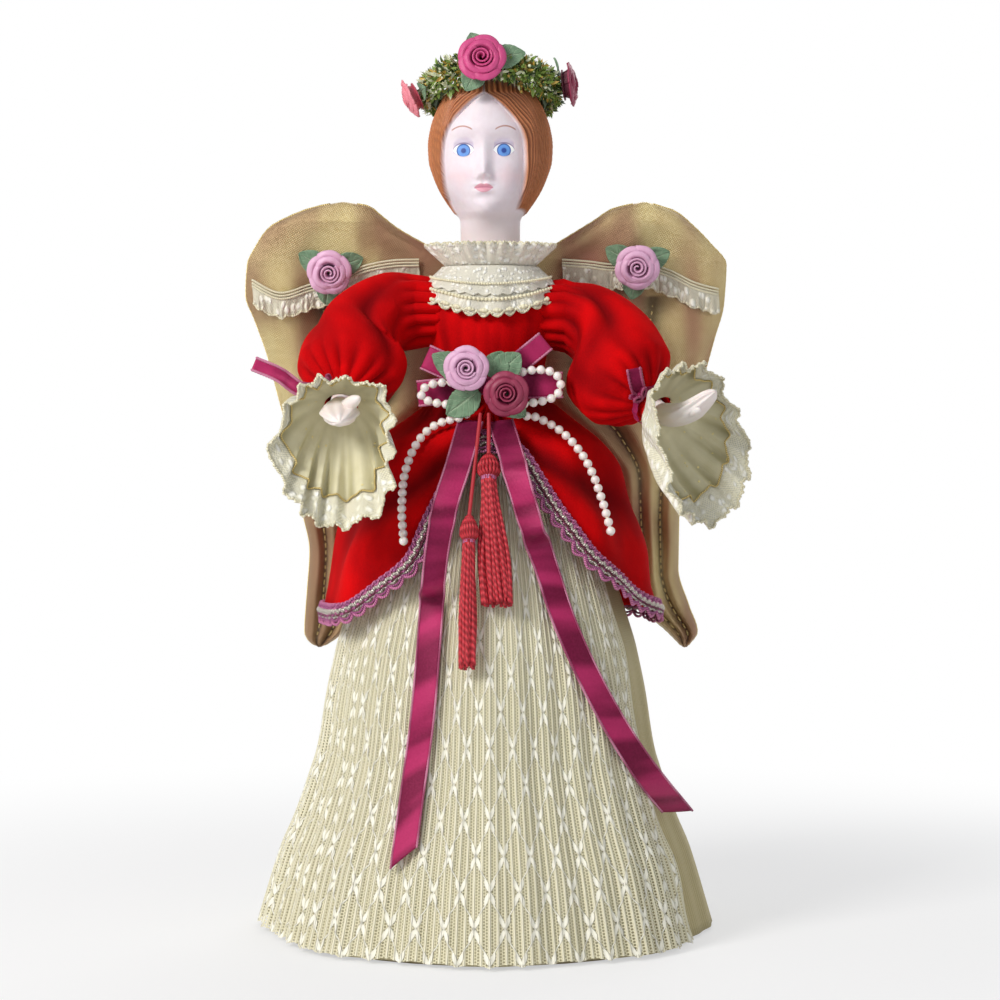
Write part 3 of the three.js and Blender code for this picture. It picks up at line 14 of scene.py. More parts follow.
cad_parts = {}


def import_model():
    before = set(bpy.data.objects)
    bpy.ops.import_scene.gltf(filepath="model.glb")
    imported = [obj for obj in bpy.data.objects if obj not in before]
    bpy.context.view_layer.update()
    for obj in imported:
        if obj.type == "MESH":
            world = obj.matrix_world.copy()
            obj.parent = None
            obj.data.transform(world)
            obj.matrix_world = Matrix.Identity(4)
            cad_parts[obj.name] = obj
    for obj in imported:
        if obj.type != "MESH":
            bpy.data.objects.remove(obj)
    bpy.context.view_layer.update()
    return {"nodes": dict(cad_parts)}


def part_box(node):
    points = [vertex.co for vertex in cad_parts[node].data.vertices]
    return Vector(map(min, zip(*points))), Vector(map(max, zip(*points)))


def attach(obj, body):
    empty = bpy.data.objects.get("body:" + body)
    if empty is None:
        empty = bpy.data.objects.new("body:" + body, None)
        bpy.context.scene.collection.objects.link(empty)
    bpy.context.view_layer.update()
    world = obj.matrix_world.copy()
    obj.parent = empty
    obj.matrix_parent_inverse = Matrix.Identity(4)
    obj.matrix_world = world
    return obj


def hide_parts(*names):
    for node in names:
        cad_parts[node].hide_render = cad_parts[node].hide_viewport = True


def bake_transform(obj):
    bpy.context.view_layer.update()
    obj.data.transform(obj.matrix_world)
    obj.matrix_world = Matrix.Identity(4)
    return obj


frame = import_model()

MM = 0.001
TURN = 2 * math.pi
QUARTER = math.pi / 2
SEED = 7

# Sizes that the pieces share with the frame
SEAM = 0.3
CLOTH = 0.5
VELVET = 0.8
LACE = 0.5
RIBBON = 0.5
CONE_HEIGHT = 165
CONE_TOP_RADIUS = 10.5


class Curve:
    """Smooth curve through (place, value) rows, without overshoot."""

    def __init__(self, *rows):
        self.at = np.array([row[0] for row in rows], float)
        self.value = np.array([row[1] for row in rows], float)
        slope = np.diff(self.value) / np.diff(self.at)
        product = slope[:-1] * slope[1:]
        total = np.where(product > 0, slope[:-1] + slope[1:], 1)
        inner = np.where(product > 0, 2 * product / total, 0)
        self.tangent = np.concatenate([[slope[0]], inner, [slope[-1]]])

    def __call__(self, place):
        x = np.clip(np.asarray(place, float), self.at[0], self.at[-1])
        i = np.clip(np.searchsorted(self.at, x, side="right") - 1, 0, len(self.at) - 2)
        step = self.at[i + 1] - self.at[i]
        t = (x - self.at[i]) / step
        rise = t * t * (3 - 2 * t)
        start = t * (1 - t) ** 2 * self.tangent[i] * step
        end = t * t * (t - 1) * self.tangent[i + 1] * step
        return self.value[i] * (1 - rise) + self.value[i + 1] * rise + start + end


def mix(a, b, t):
    return a + (b - a) * t


def ease(t):
    s = np.clip(t, 0, 1)
    return s * s * (3 - 2 * s)


def swell(value, centre, spread):
    """Gentle swelling about a place."""
    return np.exp(-(((value - centre) / spread) ** 2))


def polar(radius, bearing, z):
    """Points at a radius and bearing round the figure."""
    x = radius * np.sin(bearing)
    y = -radius * np.cos(bearing)
    return np.stack(np.broadcast_arrays(x, y, z), -1)


def grid(columns, rows):
    """Shares across and down a grid, each as an array of columns by rows."""
    return np.meshgrid(np.linspace(0, 1, columns + 1), np.linspace(0, 1, rows + 1), indexing="ij")


def ripple(x, y, size, seed=0):
    """Smooth wandering value between about -1 and 1, over places x and y."""
    chance = random.Random(SEED + seed)
    total = 0
    for _ in range(5):
        angle = chance.uniform(0, TURN)
        reach = chance.uniform(0.7, 1.4) * size
        phase = chance.uniform(0, TURN)
        total = total + np.sin((x * math.cos(angle) + y * math.sin(angle)) * TURN / reach + phase)
    return total / 2.6


class Route:
    """Centripetal Catmull-Rom curve through chosen places."""

    def __init__(self, places):
        self.places = np.array(places, float)
        first = 2 * self.places[0] - self.places[1]
        last = 2 * self.places[-1] - self.places[-2]
        self.padded = np.vstack([first, self.places, last])

    def point(self, t):
        """Place at a share of the spans, whatever their lengths."""
        spans = len(self.places) - 1
        k = min(int(t * spans), spans - 1)
        w = t * spans - k
        p = self.padded[k:k + 4]
        knots = [max(np.linalg.norm(p[i + 1] - p[i]) ** 0.5, 1e-4) for i in range(3)]
        start = (p[1] - p[0]) / knots[0] - (p[2] - p[0]) / (knots[0] + knots[1]) + (p[2] - p[1]) / knots[1]
        end = (p[2] - p[1]) / knots[1] - (p[3] - p[1]) / (knots[1] + knots[2]) + (p[3] - p[2]) / knots[2]
        start, end = start * knots[1], end * knots[1]
        cubic = 2 * p[1] - 2 * p[2] + start + end
        square = -3 * p[1] + 3 * p[2] - 2 * start - end
        return p[1] + start * w + square * w * w + cubic * w ** 3

    def tangent(self, t):
        low, high = max(t - 1e-3, 0), min(t + 1e-3, 1)
        step = self.point(high) - self.point(low)
        return step / np.linalg.norm(step)

    def spaced(self, count):
        """Count + 1 places at even lengths along the curve."""
        dense = np.array([self.point(t) for t in np.linspace(0, 1, 40 * len(self.places))])
        return spaced(dense, count)


def path_length(points):
    return float(np.linalg.norm(np.diff(points, axis=0), axis=1).sum())


def lengths_along(points):
    """Length from a line's first point to each of its points."""
    return np.concatenate([[0], np.cumsum(np.linalg.norm(np.diff(points, axis=0), axis=1))])


def spaced(points, count):
    """Count + 1 places at even lengths along a line of points."""
    along = lengths_along(points)
    wanted = np.linspace(0, along[-1], count + 1)
    return np.stack([np.interp(wanted, along, points[:, k]) for k in range(points.shape[1])], -1)


def unit(vectors):
    return vectors / np.maximum(np.linalg.norm(vectors, axis=-1, keepdims=True), 1e-9)


# Shapes

def linked(name, data):
    """New object in the scene."""
    obj = bpy.data.objects.new(name, data)
    bpy.context.scene.collection.objects.link(obj)
    return obj


def quads_over(columns, rows, wrap, height, pattern):
    """Point numbers and pattern places of the quads over a grid, which may join up both ways."""
    i, j = np.meshgrid(np.arange(columns), np.arange(rows), indexing="ij")
    corners = [(i, j), (i, j + 1), (i + 1, j + 1), (i + 1, j)]
    numbers = np.stack([(a % wrap) * height + b % height for a, b in corners], -1).reshape(-1, 4)
    places = np.stack([pattern[a, b] for a, b in corners], -2).reshape(-1, 2)
    return numbers.tolist(), places.tolist()


class Shape:
    """Points, faces and pattern places of one piece, gathered before its mesh is made."""

    def __init__(self):
        self.points = []
        self.faces = []
        self.pattern = []
        self.slots = []
        self.count = 0

    def add(self, points, faces, pattern, slot=0):
        """Faces hold point numbers, and pattern a place in millimetres for each of their corners."""
        self.points.append(np.asarray(points, float).reshape(-1, 3))
        self.faces += [[k + self.count for k in face] for face in faces]
        self.pattern += pattern
        self.slots += [slot] * len(faces)
        self.count += len(self.points[-1])

    def sheet(self, points, pattern=None, loop=False, slot=0, caps=False):
        """Quads over a grid of points. A loop joins its last column to its first, which lie together."""
        columns, rows = points.shape[0] - 1, points.shape[1] - 1
        if pattern is None:
            pattern = np.zeros(points.shape[:2] + (2,))
        pattern = np.broadcast_to(pattern, points.shape[:2] + (2,))
        kept = points[:-1] if loop else points
        wrap = columns if loop else columns + 1
        quads, places = quads_over(columns, rows, wrap, rows + 1, pattern)
        if caps:
            for row, backwards in ((0, False), (rows, True)):
                ring = [k * (rows + 1) + row for k in range(columns)]
                quads.append(ring[::-1] if backwards else ring)
                places += [pattern[0, row].tolist()] * len(ring)
        self.add(kept, quads, places, slot)

    def tube(self, line, radius, sides=6, slot=0, closed=False, flat=1.0, start=0.0):
        """Round tube along a line of points, with its ends closed unless it is a ring."""
        line = np.asarray(line, float)
        ahead = np.roll(line, -1, 0) - np.roll(line, 1, 0)
        if not closed:
            ahead[0], ahead[-1] = line[1] - line[0], line[-1] - line[-2]
        ahead = unit(ahead)
        side = np.cross(ahead[0], [0.0, 0.0, 1.0] if abs(ahead[0][2]) < 0.9 else [1.0, 0.0, 0.0])
        sides_at = []
        for direction in ahead:
            side = unit(side - direction * np.dot(side, direction))
            sides_at.append(side)
        side = np.array(sides_at)
        lift = np.cross(ahead, side)
        radius = np.broadcast_to(np.asarray(radius, float), (len(line),))
        angle = np.linspace(0, TURN, sides + 1)
        spokes = side[None] * np.cos(angle)[:, None, None]
        spokes = spokes + lift[None] * (flat * np.sin(angle))[:, None, None]
        points = line[None] + spokes * radius[None, :, None]
        steps = start + lengths_along(line)
        across = angle[:, None] / TURN * np.ones((1, len(line)))
        pattern = np.stack([across, np.broadcast_to(steps, across.shape)], -1)
        if closed:
            points = np.concatenate([points, points[:, :1]], 1)
            pattern = np.concatenate([pattern, pattern[:, -1:]], 1)
            quads, places = quads_over(sides, len(line), sides, len(line), pattern)
            self.add(points[:-1, :-1], quads, places, slot)
            return
        self.sheet(points, pattern, loop=True, slot=slot, caps=True)

    def stamp(self, template, centre, scale=1.0, turned=None, slot=0):
        """Copy of a template's points and faces about a place."""
        points, faces = template
        placed = points * scale
        if turned is not None:
            placed = placed @ np.asarray(turned, float).T
        places = [[0, 0]] * sum(len(face) for face in faces)
        self.add(placed + np.asarray(centre, float), faces, places, slot)

    def make(self, name, body, materials, replaces=(), wall=0, offset=-1.0, frame_at=None, bend=None):
        """Mesh object from the gathered shape, riding on a body. With bend, it is left unattached in its
        place, and the bend's places are not read.
        """
        points = np.concatenate(self.points)
        if frame_at is not None:
            turned = np.array(frame_at.to_3x3())
            points = points @ turned.T + np.array(frame_at.translation)
        mesh = bpy.data.meshes.new(name)
        mesh.from_pydata((points * MM).tolist(), [], self.faces)
        layer = mesh.uv_layers.new(name="pattern")
        layer.data.foreach_set("uv", np.array(self.pattern, float).ravel())
        mesh.polygons.foreach_set("material_index", self.slots)
        mesh.polygons.foreach_set("use_smooth", [True] * len(self.faces))
        mesh.validate()
        mesh.update()
        obj = linked(name, mesh)
        for material in materials if isinstance(materials, (list, tuple)) else [materials]:
            mesh.materials.append(material)
        if wall:
            thick = obj.modifiers.new("thickness", "SOLIDIFY")
            thick.thickness = wall * MM
            thick.offset = offset
            thick.use_even_offset = False
        if bend:
            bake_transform(obj)
        else:
            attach(obj, body)
        if replaces:
            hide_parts(*replaces)
        return obj


def sheet_piece(name, body, points, material, replaces=(), pattern=None, loop=True, **settings):
    """Piece that is one sheet over a grid of points."""
    shape = Shape()
    shape.sheet(points, pattern, loop=loop)
    return shape.make(name, body, material, replaces, **settings)


def paint(obj, name, values):
    """Give each point of a piece a value that its material reads."""
    layer = obj.data.attributes.new(name, "FLOAT", "POINT")
    layer.data.foreach_set("value", np.asarray(values, np.float32).ravel())


def ball_template(subdivisions):
    """Points and faces of a ball of radius 1."""
    ball = bmesh.new()
    bmesh.ops.create_icosphere(ball, subdivisions=subdivisions, radius=1)
    points = np.array([v.co[:] for v in ball.verts])
    faces = [[v.index for v in face.verts] for face in ball.faces]
    ball.free()
    return points, faces


BALL = ball_template(3)
SMALL_BALL = ball_template(2)


def cloth_facts(points):
    """Width, length and area that a cloth's grid of points was cut to, in metres."""
    across = np.linalg.norm(np.diff(points, axis=0), axis=-1).sum(0).max()
    down = np.linalg.norm(np.diff(points, axis=1), axis=-1).sum(1).max()
    a, b = points[1:, :-1] - points[:-1, :-1], points[:-1, 1:] - points[:-1, :-1]
    c, d = points[:-1, 1:] - points[1:, 1:], points[1:, :-1] - points[1:, 1:]
    area = np.linalg.norm(np.cross(a, b), axis=-1).sum() + np.linalg.norm(np.cross(c, d), axis=-1).sum()
    return across * MM, down * MM, area / 2 * MM * MM


def declare_cloth(points):
    width, length, area = cloth_facts(points)
    area = min(area, width * length)


# Materials

def linear(hexed):
    """Linear colour of a written sRGB one."""
    parts = [int(hexed[k:k + 2], 16) / 255 for k in (1, 3, 5)]
    return tuple(((p + 0.055) / 1.055) ** 2.4 if p > 0.04045 else p / 12.92 for p in parts) + (1.0,)


class Field:
    """A value in a material's nodes. Arithmetic on it adds Math nodes."""

    def __init__(self, tree, socket):
        self.tree = tree
        self.socket = socket

    def math(self, operation, *others):
        node = self.tree.nodes.new("ShaderNodeMath")
        node.operation = operation
        for entry, value in zip(node.inputs, (self, *others)):
            if isinstance(value, Field):
                self.tree.links.new(value.socket, entry)
            else:
                entry.default_value = value
        return Field(self.tree, node.outputs[0])

    def __add__(self, other):
        return self.math("ADD", other)

    def __radd__(self, other):
        return self.math("ADD", other)

    def __sub__(self, other):
        return self.math("SUBTRACT", other)

    def __rsub__(self, other):
        return self.math("MULTIPLY", -1.0).math("ADD", other)

    def __mul__(self, other):
        return self.math("MULTIPLY", other)

    def __rmul__(self, other):
        return self.math("MULTIPLY", other)

    def __truediv__(self, other):
        return self.math("DIVIDE", other)

    def abs(self):
        return self.math("ABSOLUTE")

    def sin(self):
        return self.math("SINE")

    def fract(self):
        return self.math("FRACT")

    def floor(self):
        return self.math("FLOOR")

    def root(self):
        return self.math("SQRT")

    def least(self, other):
        return self.math("MINIMUM", other)

    def most(self, other):
        return self.math("MAXIMUM", other)

    def over(self, low, high):
        """Rises smoothly from 0 at low to 1 at high."""
        node = self.tree.nodes.new("ShaderNodeMapRange")
        node.interpolation_type = "SMOOTHSTEP"
        self.tree.links.new(self.socket, node.inputs["Value"])
        node.inputs["From Min"].default_value = low
        node.inputs["From Max"].default_value = high
        return Field(self.tree, node.outputs["Result"])

    def under(self, low, high):
        """Falls smoothly from 1 at low to 0 at high."""
        return 1.0 - self.over(low, high)

    def from_whole(self):
        """Distance to the nearest whole number."""
        return ((self + 0.5).fract() - 0.5).abs()


class Finish:
    """A material being built: constants on its shader, and fields that colour it."""

    def __init__(self, name, **constants):
        self.material = bpy.data.materials.new(name)
        self.material.use_nodes = True
        self.tree = self.material.node_tree
        self.shader = self.tree.nodes["Principled BSDF"]
        for socket, value in constants.items():
            label = socket.replace("_", " ").title().replace("Ior", "IOR")
            self.shader.inputs[label].default_value = linear(value) if isinstance(value, str) else value

    def place(self):
        """Place on the piece along x, y and z, in millimetres."""
        coordinates = self.tree.nodes.new("ShaderNodeTexCoord")
        parts = self.tree.nodes.new("ShaderNodeSeparateXYZ")
        self.tree.links.new(coordinates.outputs["Object"], parts.inputs[0])
        return [Field(self.tree, socket) * 1000.0 for socket in parts.outputs]

    def pattern(self):
        """Place across and along the piece's own pattern."""
        layer = self.tree.nodes.new("ShaderNodeUVMap")
        layer.uv_map = "pattern"
        parts = self.tree.nodes.new("ShaderNodeSeparateXYZ")
        self.tree.links.new(layer.outputs[0], parts.inputs[0])
        return [Field(self.tree, socket) for socket in parts.outputs[:2]]

    def attribute(self, name):
        node = self.tree.nodes.new("ShaderNodeAttribute")
        node.attribute_name = name
        return Field(self.tree, node.outputs["Fac"])

    def texture(self, kind, size, stretch=(1, 1, 1), by_pattern=False, **settings):
        """Texture with features of about a size in millimetres."""
        if by_pattern:
            source = self.tree.nodes.new("ShaderNodeUVMap")
            source.uv_map = "pattern"
            scale = 1 / size
            start = source.outputs[0]
        else:
            source = self.tree.nodes.new("ShaderNodeTexCoord")
            scale = 1000 / size
            start = source.outputs["Object"]
        mapping = self.tree.nodes.new("ShaderNodeMapping")
        mapping.inputs["Scale"].default_value = stretch
        self.tree.links.new(start, mapping.inputs["Vector"])
        node = self.tree.nodes.new(kind)
        node.inputs["Scale"].default_value = scale
        for socket, value in settings.items():
            node.inputs[socket.replace("_", " ").title()].default_value = value
        self.tree.links.new(mapping.outputs[0], node.inputs["Vector"])
        return node

    def noise(self, size, stretch=(1, 1, 1), detail=2.0, by_pattern=False):
        node = self.texture("ShaderNodeTexNoise", size, stretch, by_pattern, detail=detail)
        return Field(self.tree, node.outputs[0])

    def cells(self, size):
        """Distance to the middle of the nearest cell of the piece's pattern, over the cell's size."""
        node = self.texture("ShaderNodeTexVoronoi", size, by_pattern=True)
        return Field(self.tree, node.outputs["Distance"])

    def tint(self, low, high, share):
        """Colour between two, by a field."""
        node = self.tree.nodes.new("ShaderNodeMix")
        node.data_type = "RGBA"
        self.tree.links.new(share.socket, node.inputs[0])
        for entry, colour in ((node.inputs[6], low), (node.inputs[7], high)):
            if isinstance(colour, str):
                entry.default_value = linear(colour)
            else:
                self.tree.links.new(colour, entry)
        return node.outputs[2]

    def colour(self, socket):
        self.tree.links.new(socket, self.shader.inputs["Base Color"])
        return self

    def drive(self, label, field):
        self.tree.links.new(field.socket, self.shader.inputs[label])
        return self

    def relief(self, height):
        """Bump from a height in millimetres."""
        node = self.tree.nodes.new("ShaderNodeBump")
        node.inputs["Strength"].default_value = 1
        node.inputs["Distance"].default_value = MM
        self.tree.links.new(height.socket, node.inputs["Height"])
        self.tree.links.new(node.outputs[0], self.shader.inputs["Normal"])
        return self


def board_finish():
    f = Finish("cone_board", roughness=0.9)
    fibre = f.noise(2.4, (1, 1, 0.2), 4)
    f.colour(f.tint("#9C8763", "#C9B68F", fibre)).relief(fibre * 0.12)
    return f.material


def muslin_finish():
    f = Finish("muslin", roughness=0.95)
    x, _, z = f.place()
    weave = ((x * 4).sin() + (z * 4).sin()) * 0.25 + 0.5
    f.colour(f.tint("#CFC6B0", "#EDE6D6", weave)).relief(weave * 0.08)
    return f.material


def steel_finish():
    f = Finish("steel_wire", metallic=0.9)
    wear = f.noise(1.2, (1, 1, 6), 3)
    f.colour(f.tint("#6F7276", "#A5A8AB", wear)).drive("Roughness", wear * 0.3 + 0.25)
    return f.material


def lining_finish():
    """Cream satin lining with a fine upright rib, with painted shade that turns it darker olive towards +X,
    the side where the skirt opens.
    """
    f = Finish("lining_satin", roughness=0.6, sheen_weight=0.2, sheen_tint="#E6D9A8")
    across, down = f.pattern()
    x, _, _ = f.place()
    rib = (across * TURN * 2).sin() * 0.5 + 0.5
    drift = f.noise(16, (1, 1, 0.4), 3)
    weft = (down * 9).sin() * 0.5 + 0.5
    shade = drift * 0.75 + rib * 0.25
    cream = f.tint("#B0A57C", "#E2D9B2", shade)
    # Painted shade: darker olive towards +X, the side turned from the key light.
    f.colour(f.tint(cream, f.tint("#85774A", "#C2B583", shade), x.over(30.0, 52.0)))
    f.relief(rib * 0.09 + weft * 0.04)
    return f.material


def skirt_lace_finish():
    """Ribbed net with a lattice of crossed leaves. Pattern: ribs across, millimetres down."""
    f = Finish("skirt_lace", roughness=0.85, sheen_weight=0.15)
    rib, down = f.pattern()
    third = rib * 3.0 + 0.5
    lane = third.floor()
    on_rib = rib.from_whole().under(0.07, 0.17)
    stagger = (lane * 0.5).fract()
    step = (down / 0.95 + stagger).fract() - 0.5
    beside = third.fract() - 0.5
    hole = (beside * beside * 6.4 + step * step * 7.2).under(0.55, 1.0)
    across = rib / RIBS_PER_MOTIF
    row = down / MOTIF_DROP
    nearest = (row + 0.5).floor()
    shifted = across + (nearest * 0.5).fract()
    aside = ((shifted + 0.5).fract() - 0.5).abs() * MOTIF_WIDTH
    rise = ((row - nearest) * MOTIF_DROP).abs()
    swollen = (rise - LEAF_MIDDLE) / LEAF_MIDDLE
    blade = (aside - rise * 0.27 - 0.35).abs() + swollen * swollen * 0.75
    leaf = blade.under(0.6, 0.85) * rise.under(LEAF_MIDDLE * 1.9, LEAF_MIDDLE * 2)
    sway = (row * math.pi + QUARTER).sin() * 0.25
    first = (across - 0.25 + sway).from_whole() * MOTIF_WIDTH
    second = (across + 0.25 - sway).from_whole() * MOTIF_WIDTH
    cordon = first.least(second).under(0.14, 0.32)
    raised = leaf.most(cordon)
    solid = raised.most(on_rib)
    f.drive("Alpha", 1.0 - hole * (1.0 - solid) * 0.95)
    soft = f.noise(9, (1, 1, 0.5), 2)
    ground = f.tint("#E4DDB9", "#FAF5DB", soft * 0.4 + on_rib * 0.6)
    f.colour(f.tint(ground, "#FFFCEB", raised))
    f.relief(raised * 0.6 + on_rib * 0.35)
    return f.material


def velvet_finish():
    """Red cotton velvet: a short pile with painted shade in its folds, read from the crease attribute, and
    brighter at its edges.
    """
    f = Finish("red_velvet", roughness=0.85, sheen_weight=0.3, sheen_roughness=0.35, sheen_tint="#FF1A14",
               specular_ior_level=0.08)
    crease = f.attribute("crease")
    pile = f.noise(0.45)
    nap = f.noise(15, (1, 1, 0.6), 2)
    cloth = f.tint("#9C0006", "#EA0408", nap.over(0.3, 0.7) * 0.6 + pile * 0.4)
    # Painted shade: the crease attribute darkens the velvet in its folds and hollows.
    f.colour(f.tint(cloth, "#4A0006", crease * 0.75)).relief(pile * 0.09)
    return f.material


def painted_eye(f, skin, x, z, front, side):
    """The skin's colour with one eye and its brow on it."""
    dx = x - (FACE_MIDDLE + side * EYE_APART)
    dz = z - EYE_HEIGHT
    lid = 1.0 - dx * dx / 11.2
    top = lid.most(0.0).root() * 2.35
    below = lid.most(0.0) * 2.0
    opening = (top - dz).over(0.0, 0.22) * (dz + below).over(0.0, 0.22) * lid.over(0.0, 0.04)
    shade = ((dz - top).abs().under(0.7, 2.4) * lid.over(0.0, 0.2)) * front
    skin = f.tint(skin, "#B4A6C8", shade * 0.5)
    skin = f.tint(skin, "#FFFFFF", opening * front)
    reach = (dx * dx + dz * dz).root()
    iris = reach.under(2.1, 2.32) * opening * front
    spokes = f.noise(0.5)
    inner = f.tint("#3B70C6", "#76ABEC", (spokes * 0.5 + reach * 0.25))
    inner = f.tint(inner, "#1F4894", reach.over(1.65, 2.1))
    inner = f.tint(inner, "#1C3F8E", reach.under(0.6, 1.0))
    skin = f.tint(skin, inner, iris)
    line = (dz - top).abs().under(0.1, 0.3) * lid.over(0.0, 0.05) * front
    skin = f.tint(skin, "#7D6A92", line * 0.75)
    under_line = (dz + below).abs().under(0.05, 0.2) * lid.over(0.0, 0.08) * front
    skin = f.tint(skin, "#C9B4C4", under_line * 0.5)
    bx = x - (FACE_MIDDLE + side * (EYE_APART + 0.5))
    arch = BROW_HEIGHT + 0.9 - bx * bx * 0.105
    stroke = (z - arch).abs().under(0.12, 0.36) * bx.abs().under(2.9, 3.5) * front
    return f.tint(skin, "#B07A68", stroke * 0.85)


def painted_mouth(f, skin, x, z, front):
    """The skin's colour with the lips on it."""
    dx = x - FACE_MIDDLE
    dz = z - LIP_HEIGHT
    wide = (1.0 - dx * dx / 10.2).most(0.0)
    bow = wide * 1.45 - (dx.abs().under(0.0, 1.0)) * 0.3
    mouth = (bow - dz).over(0.0, 0.35) * (dz + wide * 1.85).over(0.0, 0.35) * wide.over(0.0, 0.1) * front
    skin = f.tint(skin, "#DE93A6", mouth * 0.85)
    parting = (dz + dx * dx * 0.03).abs().under(0.08, 0.3) * wide.over(0.0, 0.25) * front
    return f.tint(skin, "#B0607A", parting * 0.6)


def bisque_finish():
    """Painted bisque: skin, moulded hair, eyes, brows, lips and a little blush, with painted shade on the
    neck below the chin and in the hair's grooves.
    """
    f = Finish("painted_bisque", subsurface_weight=0.08, subsurface_scale=0.004)
    hair = f.attribute("hair")
    groove = f.attribute("groove")
    x, y, z = f.place()
    front = y.under(-6.0, -3.0)
    grain = f.noise(1.6, detail=4)
    skin = f.tint("#E3D6DC", "#EEE4EB", grain)
    for side in (-1, 1):
        blush = ((x - FACE_MIDDLE - side * 7.6).abs() * 0.9 + (z - 240.5).abs()).under(0.5, 6.5)
        skin = f.tint(skin, "#F0BFC4", blush * front * 0.3)
    # Painted shade: warmer, darker skin below the chin.
    neck_shade = (z - 229.0).under(-10.0, 4.0)
    skin = f.tint(skin, "#E6D6D2", neck_shade * 0.6)
    for side in (-1, 1):
        skin = painted_eye(f, skin, x, z, front, side)
    skin = painted_mouth(f, skin, x, z, front)
    strand = f.noise(2.2, detail=3)
    # Painted shade: the hair darker in its moulded grooves and parting, lighter on the raised locks.
    locks = f.tint("#5E2812", "#CE8250", groove * 0.85 + strand * 0.2)
    f.colour(f.tint(skin, locks, hair))
    f.drive("Roughness", grain * 0.1 + 0.5)
    f.relief(grain * 0.012)
    return f.material


def hand_finish():
    f = Finish("plain_bisque", roughness=0.5, subsurface_weight=0.08, subsurface_scale=0.004)
    grain = f.noise(1.6, detail=4)
    drift = f.noise(7)
    f.colour(f.tint("#EBDAD2", "#FAF3F1", grain * 0.3 + drift * 0.7)).relief(grain * 0.02)
    return f.material


def lame_finish():
    """Gold lame shot with rose and bronze threads, with painted highlights in pale gold patches and painted
    shade along its quilting.
    """
    f = Finish("gold_lame", metallic=0.35, anisotropic=0.3)
    x, _, z = f.place()
    quilting = f.attribute("quilting")
    warp = ((x + z * 0.6) * 9.0).sin() * 0.5 + 0.5
    weft = ((z - x * 0.6) * 9.0).sin() * 0.5 + 0.5
    thread = warp * weft
    drift = f.noise(30, (1, 1, 0.4), 2)
    patch = f.noise(16, (1, 1, 0.35), 1)
    spark = f.noise(0.8, detail=1)
    grain = thread * 0.6 + spark * 0.7 - 0.1
    gold = f.tint("#6E5036", "#C4A07A", grain)
    rose = f.tint("#7C3A30", "#C88874", grain)
    glow = f.tint("#AE9650", "#FBF2C0", grain)
    cloth = f.tint(gold, rose, drift.over(0.38, 0.66) * 0.75)
    # Painted highlight: pale gold patches laid over the shot colours by a broad noise.
    cloth = f.tint(cloth, glow, patch.over(0.42, 0.72) * 0.85)
    # Painted shade: dark along the quilting seams, where the padding dips.
    f.colour(f.tint(cloth, "#24170C", quilting * 0.8))
    f.drive("Roughness", spark * 0.25 + 0.34)
    f.relief(thread * 0.12 + spark * 0.06)
    return f.material


def fine_lace_finish(name, pale, deep, hole_share=0.9):
    """Cream lace of small flowers on a net. Pattern: millimetres across and down."""
    f = Finish(name, roughness=0.85, sheen_weight=0.2)
    across, down = f.pattern()
    net = ((across * 5.2 + down * 3.1).sin().abs() * (across * 5.2 - down * 3.1).sin().abs())
    flower = f.cells(2.6)
    petals = f.noise(0.9, detail=3, by_pattern=True)
    open_net = flower.over(0.42, 0.52) * net.over(0.28, 0.5)
    f.drive("Alpha", 1.0 - open_net * hole_share)
    raised = flower.under(0.2, 0.46)
    f.colour(f.tint(deep, pale, raised * 0.55 + petals * 0.7))
    f.relief(raised * 0.4 + petals * 0.35)
    return f.material


def tulle_finish():
    """Cream tulle inside the cuffs, with painted shade turning it olive in its pleats' folds, and with gold
    dots.
    """
    f = Finish("cuff_tulle", roughness=0.6, sheen_weight=0.3, sheen_tint="#E9DFA8")
    across, down = f.pattern()
    crease = f.attribute("crease")
    thread = (across * 9.0).sin() * (down * 9.0).sin()
    dots = f.cells(4.2).under(0.08, 0.13)
    drift = f.noise(5, detail=3)
    ground = f.tint("#D2CAA0", "#FBF7DC", drift * 0.8 + thread * 0.15)
    # Painted shade: olive where the crease attribute marks the tulle's folds.
    ground = f.tint(ground, "#8C8450", crease * 0.75)
    f.colour(f.tint(ground, "#F3E7A6", dots))
    f.drive("Metallic", dots * 0.7)
    f.relief(thread * 0.05 + dots * 0.25)
    return f.material


def satin_finish(name, deep, bright, gleam, roughness=0.36):
    """Satin ribbon with a fine weft, and painted highlight and shade in broad patches along it."""
    f = Finish(name, roughness=roughness, sheen_weight=0.15, sheen_roughness=0.3, sheen_tint=gleam,
               specular_ior_level=0.55, specular_tint=gleam)
    _, along = f.pattern()
    weft = (along * 16.0).sin() * 0.5 + 0.5
    speck = f.noise(0.7)
    drift = f.noise(15, (0.25, 1, 1), 2, True).over(0.4, 0.62)
    # Painted highlight and shade: broad noise patches between the deep colour, standing for shade, and the
    # bright one, standing for light.
    f.colour(f.tint(deep, bright, drift * 0.75 + speck * 0.3)).relief(weft * 0.025 + speck * 0.06)
    return f.material


def petal_finish(name, deep, rim):
    """Ribbon rose with painted shade, darker towards each petal's foot deep in the bloom and lighter at its
    rim. Pattern: across a petal, and 0 at its foot to 1 at its rim.
    """
    f = Finish(name, roughness=0.5, sheen_weight=0.5, sheen_roughness=0.4, sheen_tint=rim)
    _, up = f.pattern()
    speck = f.noise(0.6, detail=3)
    pleat = f.noise(2.6)
    # Painted shade: the petal darkens towards its foot, deep in the bloom, and lightens towards its rim.
    f.colour(f.tint(deep, rim, up.over(0.1, 0.95) * 0.75 + speck * 0.15 + pleat * 0.15))
    f.relief(speck * 0.07 + pleat * 0.1)
    return f.material


